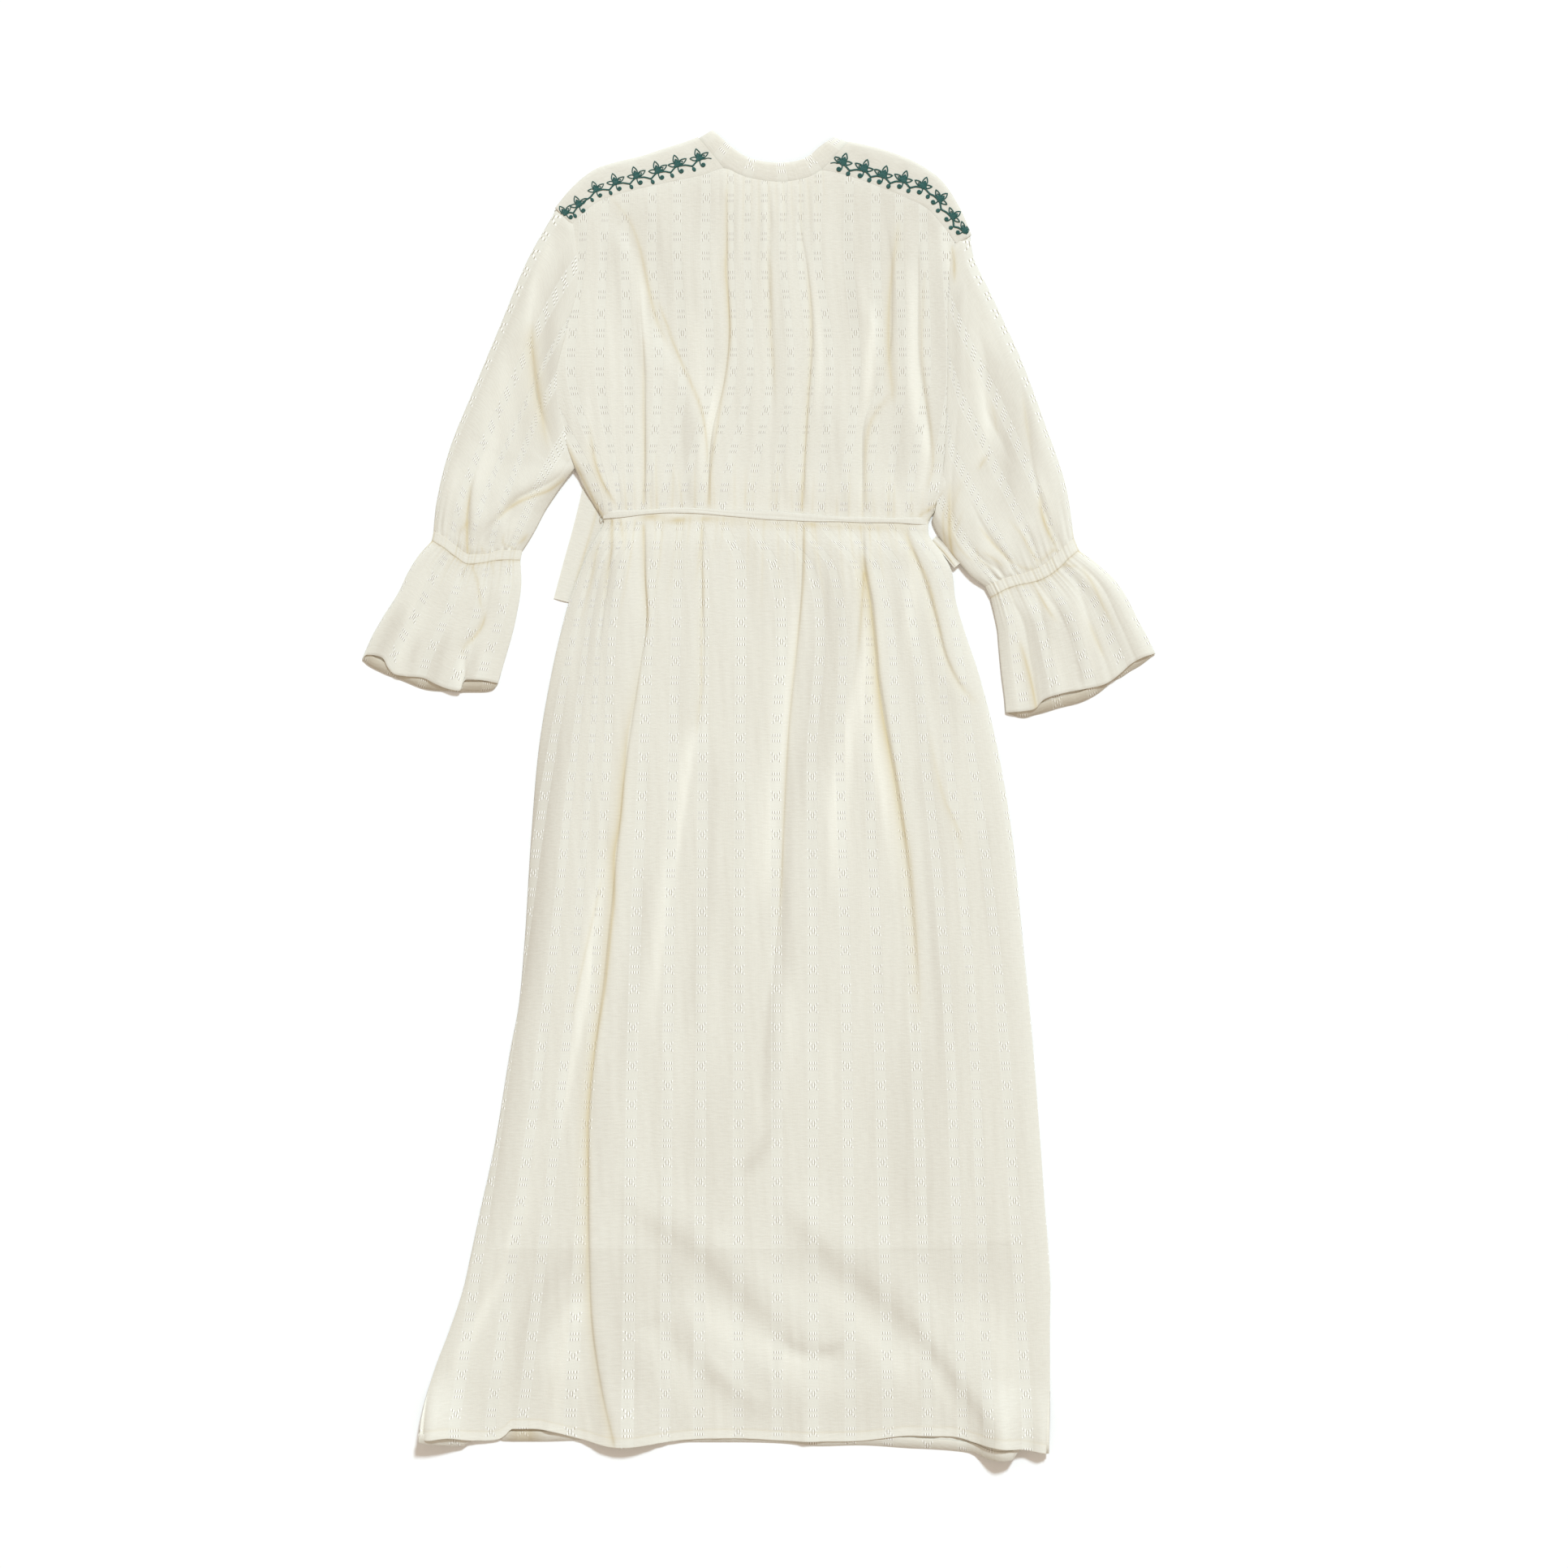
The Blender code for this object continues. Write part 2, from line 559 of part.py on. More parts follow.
def make_front():
    """The front panel, which lies flat on the surface, with its hidden neckline."""
    clear = (0, 2 * SEAM_GAP)
    left_seam = np.array(yoke_front("left", SHOULDER_LEFT)[::-1]) + clear
    right_seam = np.array(yoke_front("right", SHOULDER_RIGHT)) + clear
    neck = spline(columns_of(COLLAR_FRONT, "seam_x", "seam_down"), np.linspace(0.19, 0.81, 15))
    hem = columns_of(HEM, "x", "front")
    outline = list(left_seam) + list(neck + clear) + list(right_seam)
    outline += side_points("right", 124, 345, 18) + NOTCH_RIGHT
    outline += side_points("right", 460, 1290, 54) + hem[::-1]
    outline += side_points("left", 480, 1290, 54)[::-1] + NOTCH_LEFT[::-1]
    outline += side_points("left", 103, 320, 18)[::-1]
    return make_plate("front", outline, 0, WALL)


def make_lining():
    """The slip lining, whose hem shows through the cloth, lying between front and back."""
    downs = np.linspace(LINING_TOP, LINING_HEM, 26)
    left = [(body("left", d) + LINING_INSET, d) for d in downs]
    right = [(body("right", d) - LINING_INSET, d) for d in downs]
    return make_plate("lining", left + right[::-1], WALL + GAP, LINING_THICK, LINING_CREAM)


def patch(outer, inner, start, end, share, across):
    """Points between four edges: share runs from start to end, across from outer to inner."""
    a, b = spline(outer, share), spline(inner, share)
    c, d = spline(start, across), spline(end, across)
    share, across = share[:, None, None], across[None, :, None]
    corners = ((1 - share) * (1 - across) * np.array(start[0])
               + (1 - share) * across * np.array(start[-1])
               + share * (1 - across) * np.array(end[0]) + share * across * np.array(end[-1]))
    return ((1 - across) * a[:, None, :] + across * b[:, None, :]
            + (1 - share) * c[None, :, :] + share * d[None, :, :] - corners)


def across_steps(columns):
    """Where the columns of a flattened tube lie, closer together at its folded edges."""
    edge = np.array([0, 1.6, 5.0, 11.0]) / CUFF_WIDTH
    middle = np.linspace(edge[-1], 1 - edge[-1], columns)
    return np.concatenate([edge[:-1], middle, 1 - edge[:-1][::-1]])


def upper_profile(distance, top):
    """The height of a flattened tube's upper face at a distance from its folded edge."""
    reach = np.clip(distance / FOLD_ROLL, 0, 1)
    return FOLD_MIDDLE + (top - FOLD_MIDDLE) * np.sqrt(1 - (1 - reach) ** 2)


def lower_profile(distance):
    """The height of its lower face, which lies flat but for the fold."""
    reach = np.clip(distance / FOLD_UNDER, 0, 1)
    return FOLD_MIDDLE * (1 - np.sqrt(1 - (1 - reach) ** 2))


def make_tube(name, edges, start, end, rows, columns, columns_below, height, end_below=None):
    """A tube of cloth pressed flat: an upper layer, a lower one and two folded edges."""
    outer = columns_of(edges, "outer_x", "outer_down")
    inner = columns_of(edges, "inner_x", "inner_down")
    long = np.linalg.norm(np.mean(start, axis=0) - np.mean(end, axis=0))
    share = np.linspace(SEAM_GAP / 2 / long, 1 - SEAM_GAP / 2 / long, rows)
    above = across_steps(columns)
    below = across_steps(columns_below)[1:-1][::-1]
    upper = patch(outer, inner, start, end, share, above)
    lower = patch(outer, inner, start, end_below or end, share, below)
    width = np.linalg.norm(upper[:, -1] - upper[:, 0], axis=1)[:, None]
    edge_above = np.minimum(above, 1 - above)[None, :] * width
    edge_below = np.minimum(below, 1 - below)[None, :] * width
    z_above = height(upper[..., 0], upper[..., 1], share[:, None], edge_above)
    z_below = lower_profile(edge_below)
    ring_above = np.concatenate([upper, z_above[..., None]], axis=-1)
    ring_below = np.concatenate([lower, z_below[..., None]], axis=-1)
    grid = np.concatenate([ring_above, ring_below], axis=1)
    return make_wall(name, facing_up(grid, len(above) // 2), closed=True)


def facing_up(grid, column):
    """Turns the rows round where that makes the outer face look up at this column."""
    corner = grid[0, column, :2]
    along = grid[1, column, :2] - corner
    across = grid[0, column + 1, :2] - corner
    return grid if along[1] * across[0] > along[0] * across[1] else grid[:, ::-1]


def armhole(side, inner, outward):
    """The top edge of a sleeve, which follows the side of the body from yoke to underarm."""
    start = ARMHOLE_START[side]
    shoulder = SLEEVE_LEFT[0] if side == "left" else SLEEVE_RIGHT[0]
    downs = np.linspace(start[1] + 12, inner, 17)
    edge = [(body(side, d) + outward * ARMHOLE_GAP, d) for d in downs]
    return [(shoulder.outer_x, shoulder.outer_down), start] + edge


def make_sleeve(name, edges, start, casing, folds):
    def height(x, down, share, edge):
        lift = fold_height(x, down, folds) * (1 - np.exp(-edge / 12))
        lift = lift * ease(share * 12) * (0.3 + 0.7 * ease((1 - share) * 6))
        return upper_profile(edge, SLEEVE_TOP) + lift

    end = columns_of(casing, "sleeve_x", "sleeve_down")
    return make_tube(name, edges, start, end, 14, 12, 9, height)


def ruche(edge, strength):
    """Small even gathers: one column up, the next down."""
    wave = np.where(np.arange(edge.shape[1]) % 2 == 0, 1.0, -1.0)
    return RUCHE * strength * wave[None, :] * ease(edge / 8)


def make_casing(name, casing):
    """The narrow elastic band between a sleeve and its flounce."""
    def height(x, down, share, edge):
        return upper_profile(edge, CASING_TOP) + CASING_CROWN * np.sin(np.pi * share) + ruche(
            edge, 1)

    start = columns_of(casing, "sleeve_x", "sleeve_down")
    end = columns_of(casing, "flounce_x", "flounce_down")
    edges = [Edges(*start[0], *start[-1]), Edges(*end[0], *end[-1])]
    return make_tube(name, edges, start, end, 4, 17, 9, height)


def make_flounce(name, edges, casing, mouth, folds):
    """The gathered flounce, with the mouth of its upper layer shorter than the lower one."""
    def height(x, down, share, edge):
        lift = fold_height(x, down, folds) * ease(share * 3) + FLOUNCE_MOUTH * share
        top = upper_profile(edge, SLEEVE_TOP) + lift * (1 - np.exp(-edge / 9))
        return top + ruche(edge, 1 - ease(share * 3))

    start = columns_of(casing, "flounce_x", "flounce_down")
    end = columns_of(mouth, "x", "above")
    end_below = columns_of(mouth, "x", "below")
    return make_tube(name, edges, start, end, 8, 21, 9, height, end_below)


def make_collar():
    """The collar band, pressed flat: back over front, and folded at both shoulders."""
    ends = np.array([0, 0.012, 0.035, 0.075])
    back, front = (np.concatenate([ends[:-1], np.linspace(ends[-1], 1 - ends[-1], count),
                                   1 - ends[:-1][::-1]]) for count in (19, 13))
    front = front[1:-1][::-1]
    z = np.concatenate([upper_profile(np.minimum(back, 1 - back) * 135, COLLAR_TOP),
                        lower_profile(np.minimum(front, 1 - front) * 230)])
    rows = []
    for share in (0, 0.5, 1):
        points = []
        for table, steps in ((COLLAR_BACK, back), (COLLAR_FRONT, front)):
            free = spline(columns_of(table, "free_x", "free_down"), steps)
            seam = spline(columns_of(table, "seam_x", "seam_down"), steps)
            points.append((1 - share) * free + share * seam)
        rows.append(np.concatenate([np.concatenate(points), z[:, None]], axis=1))
    return make_wall("collar", np.array(rows), closed=True)


def make_yoke(name, side, shoulder):
    """A shoulder yoke: it runs from the back seam over the shoulder fold to the front seam."""
    steps = np.linspace(0, 1, YOKE_COLUMNS)
    seam_x = np.linspace(shoulder[0].seam_x, shoulder[-1].seam_x, 2 * YOKE_COLUMNS)
    back = spline(np.stack([seam_x, back_top(seam_x) - SEAM_GAP], axis=-1), steps)
    fold = spline(columns_of(shoulder, "fold_x", "fold_down"), steps)
    front = spline(yoke_front(side, shoulder), steps)
    to_back = (back - fold) / np.linalg.norm(back - fold, axis=1)[:, None]
    to_front = (front - fold) / np.linalg.norm(front - fold, axis=1)[:, None]
    rows = [
        (back, YOKE_TOP),
        (back + (fold - back) * 0.35, YOKE_TOP - 0.15),
        (back + (fold - back) * 0.7, YOKE_TOP - 0.3),
        (fold + to_back * 5.0, 5.4),
        (fold + to_back * 1.8, 4.4),
        (fold, FOLD_MIDDLE),
        (fold + to_front * 1.6, 0.6),
        (fold + to_front * 4.5, 0),
        (fold + (front - fold) * 0.55, 0),
        (front, 0),
    ]
    grid = [np.concatenate([p, np.full((len(p), 1), float(z))], axis=1) for p, z in rows]
    return make_wall(name, facing_up(np.array(grid), 3), closed=False)


def make_belt():
    """The narrow tie across the back of the waist, lying on the cloth it presses down."""
    first, last = BELT_ENDS
    x = np.concatenate([np.linspace(first, first + 21.5, 8), np.linspace(-120, 140, 24),
                        np.linspace(last - 21.5, last, 8)])
    down = waist_line(x)
    rows = []
    for side in (-0.5, 0, 0.5):
        z = back_height(x, down) + BELT_CLEARANCE + WALL + 0.3 * (side == 0)
        rows.append(np.stack([x, down + side * BELT_WIDTH, z], axis=-1))
    return make_wall("belt", np.array(rows), closed=False)


def make_tie_end(name, table, width):
    """A free end of the tie: a flat strip."""
    path = spline(table, np.linspace(0, 1, 9))
    run = np.gradient(path, axis=0)
    run /= np.linalg.norm(run, axis=1)[:, None]
    side = np.stack([run[:, 1], -run[:, 0]], axis=1) * width / 2
    return make_plate(name, list(path + side) + list((path - side)[::-1]), 0, WALL)


def main():
    for thing in list(bpy.data.objects):
        bpy.data.objects.remove(thing, do_unlink=True)
    make_front()
    make_lining()
    make_back()
    make_yoke("yoke_left", "left", SHOULDER_LEFT)
    make_yoke("yoke_right", "right", SHOULDER_RIGHT)
    make_collar()
    make_sleeve("sleeve_left", SLEEVE_LEFT, armhole("left", SLEEVE_LEFT[0].inner_down, -1),
                CASING_LEFT, SLEEVE_LEFT_FOLDS)
    make_sleeve("sleeve_right", SLEEVE_RIGHT, armhole("right", SLEEVE_RIGHT[0].inner_down, 1),
                CASING_RIGHT, SLEEVE_RIGHT_FOLDS)
    make_casing("casing_left", CASING_LEFT)
    make_casing("casing_right", CASING_RIGHT)
    make_flounce("flounce_left", FLOUNCE_LEFT, CASING_LEFT, MOUTH_LEFT, FLOUNCE_LEFT_FOLDS)
    make_flounce("flounce_right", FLOUNCE_RIGHT, CASING_RIGHT, MOUTH_RIGHT, FLOUNCE_RIGHT_FOLDS)
    make_belt()
    make_tie_end("tie_end_left", TIE_LEFT, TIE_LEFT_WIDTH)
    make_tie_end("tie_end_right", TIE_RIGHT, TIE_RIGHT_WIDTH)


main()
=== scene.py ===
# The looks of a cream cotton maxi dress, laid flat with its back up.
# Plans are in millimetres: x to the right, "down" from the top of the collar, z up from the floor.
import math

import bpy
import numpy as np
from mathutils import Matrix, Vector
from mathutils.bvhtree import BVHTree


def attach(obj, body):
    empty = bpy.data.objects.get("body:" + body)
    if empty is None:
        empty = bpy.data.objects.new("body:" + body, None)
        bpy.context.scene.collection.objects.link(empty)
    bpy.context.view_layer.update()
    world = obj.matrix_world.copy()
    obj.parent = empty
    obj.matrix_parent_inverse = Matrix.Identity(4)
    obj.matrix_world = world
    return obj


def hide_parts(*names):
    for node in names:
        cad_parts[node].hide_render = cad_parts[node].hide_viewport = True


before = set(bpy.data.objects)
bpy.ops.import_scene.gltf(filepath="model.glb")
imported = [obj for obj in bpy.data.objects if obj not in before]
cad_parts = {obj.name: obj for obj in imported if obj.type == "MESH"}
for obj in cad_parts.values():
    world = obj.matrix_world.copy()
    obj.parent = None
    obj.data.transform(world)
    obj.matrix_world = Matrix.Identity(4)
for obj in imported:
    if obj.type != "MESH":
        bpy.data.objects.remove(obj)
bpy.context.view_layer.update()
mm = 0.001
dressLength = 1307.0
print("frame loaded")

# the camera, straight above as the picture was taken; its view is "width" wide at "middle" high
view = {"height": 3.0, "width": 1.5456, "middle": 0.005, "x": 0.0252, "y": 0.0119,
        "sensor": 36.0}
camera = bpy.data.objects.new("camera", bpy.data.cameras.new("camera"))
bpy.context.scene.collection.objects.link(camera)
camera.location = (view["x"], view["y"], view["height"])
camera.data.sensor_width = view["sensor"]
camera.data.lens = view["sensor"] * (view["height"] - view["middle"]) / view["width"]
bpy.context.scene.camera = camera


# small tools for shapes

def ease(t):
    t = np.clip(t, 0, 1)
    return t * t * (3 - 2 * t)


# a smooth line through values at their places, read at the wanted places
def smoothRead(places, values, wanted):
    places, values, wanted = (np.asarray(a, float) for a in (places, values, wanted))
    rise = np.diff(values) / np.diff(places)
    slope = np.concatenate([[rise[0]], (rise[1:] + rise[:-1]) / 2, [rise[-1]]])
    slope[1:-1][rise[1:] * rise[:-1] <= 0] = 0
    low = np.clip(np.searchsorted(places, wanted) - 1, 0, len(places) - 2)
    span = places[low + 1] - places[low]
    t = np.clip((wanted - places[low]) / span, 0, 1)
    return ((1 + 2 * t) * (1 - t) ** 2 * values[low] + t * (1 - t) ** 2 * span * slope[low]
            + t ** 2 * (3 - 2 * t) * values[low + 1] + t ** 2 * (t - 1) * span * slope[low + 1])


# one column of a table read smoothly along another
def readTable(table, wanted, column=1, along=0):
    return smoothRead([row[along] for row in table], [row[column] for row in table], wanted)


# two neighbouring columns of a table, as points
def pairs(table, first=0):
    return [(row[first], row[first + 1]) for row in table]


# a smooth curve through points, read at steps from 0 to 1 of its length
def spline(points, steps):
    points = np.array(points, float)
    lengths = np.linalg.norm(np.diff(points, axis=0), axis=1)
    along = np.concatenate([[0], np.cumsum(lengths)]) / lengths.sum()
    return np.stack([smoothRead(along, points[:, k], steps) for k in range(points.shape[1])], -1)


# how far each kind of fold reaches, in its own widths, and how a pleat's steep side stands
foldForm = {"reach": {"ridge": 2.6, "line": 5.5, "crease": 5.5, "pleat": 5.5},
            "steep": 2.0, "long": 1.9}


# how far folds lift the cloth. Each is (kind, path, left high, left wide, right high, right wide),
# and its path is points of x, down, strength. A crease is a valley between two rolls, a pleat is
# one whose right side stands up steeply, a ridge is a roll along the path, and a line is a sharp
# one.
def foldHeight(x, down, folds):
    shape = np.shape(x)
    x, down = np.ravel(x), np.ravel(down)
    total = np.zeros(len(x))
    for kind, path, leftHigh, leftWide, rightHigh, rightWide in folds:
        path = spline(path, np.linspace(0, 1, 10 if len(path) < 4 else 6 * len(path)))
        path, strength = path[:, :2], path[:, 2]
        reach = foldForm["reach"][kind] * max(leftWide, rightWide)
        near = ((x > path[:, 0].min() - reach) & (x < path[:, 0].max() + reach)
                & (down > path[:, 1].min() - reach) & (down < path[:, 1].max() + reach))
        if not near.any():
            continue
        points = np.stack([x[near], down[near]], -1)
        run = np.diff(path, axis=0)
        away = points[:, None, :] - path[None, :-1, :]
        t = np.clip((away * run).sum(-1) / (run ** 2).sum(-1), 0, 1)
        off = away - t[..., None] * run
        far = np.linalg.norm(off, axis=-1)
        best = far.argmin(axis=1)
        pick = np.arange(len(points))
        side = run[best, 1] * off[pick, best, 0] - run[best, 0] * off[pick, best, 1]
        distance, t = far[pick, best], t[pick, best]
        scale = strength[best] * (1 - t) + strength[best + 1] * t
        high = np.where(side > 0, rightHigh, leftHigh)
        wide = np.where(side > 0, rightWide, leftWide)
        if kind == "ridge":
            lift = high * np.exp(-(distance / wide) ** 2)
        elif kind == "line":
            lift = high * np.exp(-distance / wide)
        else:
            lift = high * (distance / wide) * np.exp(1 - distance / wide)
        if kind == "pleat":
            steep = high * (1 - np.exp(-distance / foldForm["steep"]))
            steep = steep * np.exp(-distance / (foldForm["long"] * wide))
            lift = np.where(side > 0, steep, lift)
        total[near] += lift * scale
    return total.reshape(shape)


# how deep the painted shade in the creases is, and where the cloth beside them has painted light
# (paler) or painted shade (duller)
def clothTone(x, down, piece, start=""):
    read = []
    for kind, key, least in (("line", "creases", 0), ("ridge", "tones", -1)):
        lines = [(kind, s[3:], s[0], s[1], s[0], s[2]) for s in piece[start + key]]
        read.append(np.clip(foldHeight(x, down, lines), least, 1))
    return np.stack(read, -1)


# soft unevenness: long waves across the cloth, shorter ones along it
def unevenness(x, down, seed, size, stretch, count=7):
    dice = np.random.default_rng(seed)
    total = 0.0
    for _ in range(count):
        across = dice.uniform(0.6, 1.6) / size
        along = dice.normal(0, 0.5) / (size * stretch)
        start = dice.uniform(0, 6.28)
        total += np.cos(2 * math.pi * (across * x + along * down) + start)
    return total / math.sqrt(count)


def toFrame(grid):
    grid = np.asarray(grid, float)
    return np.stack([grid[..., 0], dressLength / 2 - grid[..., 1], grid[..., 2]], -1) * mm


# small tools for Blender

# a sheet from rows of points (x, down, z). Its cloth coordinates in metres are a UV map, and two
# attributes carry painted shade in its creases (fold) and painted light and shade (tone). faceUp is
# a column of its upper side, which tells which way it faces.
def makeCloth(name, grid, uv, closed=False, faceUp=0, tone=None):
    rows, columns = grid.shape[:2]
    shade = np.zeros((rows, columns, 2))
    if tone is not None:
        shade[:tone.shape[0], :tone.shape[1]] = tone
    corner = grid[0, faceUp, :2]
    along, across = grid[1, faceUp, :2] - corner, grid[0, faceUp + 1, :2] - corner
    if along[1] * across[0] < along[0] * across[1]:
        grid, uv, shade = grid[:, ::-1], uv[:, ::-1], shade[:, ::-1]
    if closed:
        step = uv[:, 1] - uv[:, 0]
        uv = np.concatenate([uv, (uv[:, -1] + step)[:, None]], axis=1)
    across = np.arange(columns if closed else columns - 1)
    first = np.arange(rows - 1)[:, None] * columns + across
    after = np.arange(rows - 1)[:, None] * columns + (across + 1) % columns
    faces = np.stack([first, first + columns, after + columns, after], -1).reshape(-1, 4)
    mesh = bpy.data.meshes.new(name)
    mesh.from_pydata(toFrame(grid).reshape(-1, 3).tolist(), [], faces.tolist())
    layer = mesh.uv_layers.new(name="cloth")
    corners = np.stack([uv[:-1, :-1], uv[1:, :-1], uv[1:, 1:], uv[:-1, 1:]], axis=2) * mm
    layer.data.foreach_set("uv", corners.astype(np.float32).ravel())
    for number, reading in enumerate(("fold", "tone")):
        layer = mesh.attributes.new(reading, "FLOAT", "POINT")
        layer.data.foreach_set("value", shade[..., number].astype(np.float32).ravel())
    mesh.shade_smooth()
    mesh.update()
    thing = bpy.data.objects.new(name, mesh)
    bpy.context.scene.collection.objects.link(thing)
    return thing


def selectOnly(*things):
    bpy.ops.object.select_all(action="DESELECT")
    for thing in things:
        thing.select_set(True)
    bpy.context.view_layer.objects.active = things[0]


def joinAs(name, things):
    selectOnly(*things)
    bpy.ops.object.join()
    joined = bpy.context.view_layer.objects.active
    joined.name = name
    joined.data.name = name
    return joined


# materials

def linear(hexColor):
    parts = [int(hexColor[i:i + 2], 16) / 255 for i in (1, 3, 5)]
    return tuple(c / 12.92 if c <= 0.04045 else ((c + 0.055) / 1.055) ** 2.4 for c in parts) + (1,)


# adds a node: settings are its properties, inputs are values or sockets to link from
def addNode(material, kind, inputs=None, **settings):
    tree = material.node_tree
    node = tree.nodes.new("ShaderNode" + kind)
    for key, value in settings.items():
        setattr(node, key, value)
    for key, value in (inputs or {}).items():
        if isinstance(value, bpy.types.NodeSocket):
            tree.links.new(value, node.inputs[key])
        else:
            node.inputs[key].default_value = value
    return node


def newMaterial(name):
    material = bpy.data.materials.new(name)
    material.use_nodes = True
    return material, material.node_tree.nodes["Principled BSDF"]


cloth = {
    "ground": "#E4E1D5",
    # pale and dull mostly carry painted light and painted shade from the tone attribute; they also
    # give real tones such as the lining's and the double hem's
    "pale": "#F3F1E5",
    "dull": "#CFC9BC",
    "stripe": "#E7E6DB",
    # float is a painted highlight on the raised floats, and hole is painted shade in the pinholes
    "float": "#FCFBF6",
    "hole": "#B0A793",
    # fold is painted golden shade in deep folds and creases
    "fold": "#D3C49F",
    "glow": "#F2DFBC",         # light that has passed through the cloth
    "thin": 0.07,              # how much of it does
    "roughness": 0.86, "ior": 1.47, "sheen": 0.08, "sheenRoughness": 0.5,
    "bump": 0.35, "bumpStrength": 0.7,
    # sizes are in millimetres, and "High" is how much each shows in the bump
    "crinkle": 2.6, "crinkleLong": 26.0, "crinkleHigh": 0.85,
    "slub": 1.9, "slubLong": 8.0, "slubHigh": 0.75,   # thicker places in the weft
    "slubTone": 0.7,           # how much they vary the tone
    "weave": 0.9, "weaveHigh": 0.3,
    # pairs of sizes are where something begins to fade and where it has gone
    "pitch": 36.5,             # from one woven stripe to the next
    "stripeHalf": (4.86, 6.21), "stripeShare": 0.5,
    "figure": 19.0,            # from one woven figure to the next
    "crossArm": (0.9, 2.1), "crossEnd": (4.5, 5.5),
    "barAt": 2.8, "barHalf": (0.8, 1.9), "barEnd": (4.2, 5.2),
    "floatPitch": 2.4,         # from one floating thread to the next
    "floatShare": 0.95, "floatHigh": 0.6, "holeDeep": 0.5,
    # above the waist the figures are more open, and are painted a little darker with the shade
    # under their holes
    "open": (990.0, 930.0), "openShade": 0.14, "openShare": 0.5,
    # the slip lining's tone: how strong, where it fades above its hem, its middle and half width
    "liningShare": 0.2, "liningHem": 1.0, "liningFade": (85.0, 10.0),
    "liningMiddle": 318.0, "liningHalf": (262.0, 266.0),
}
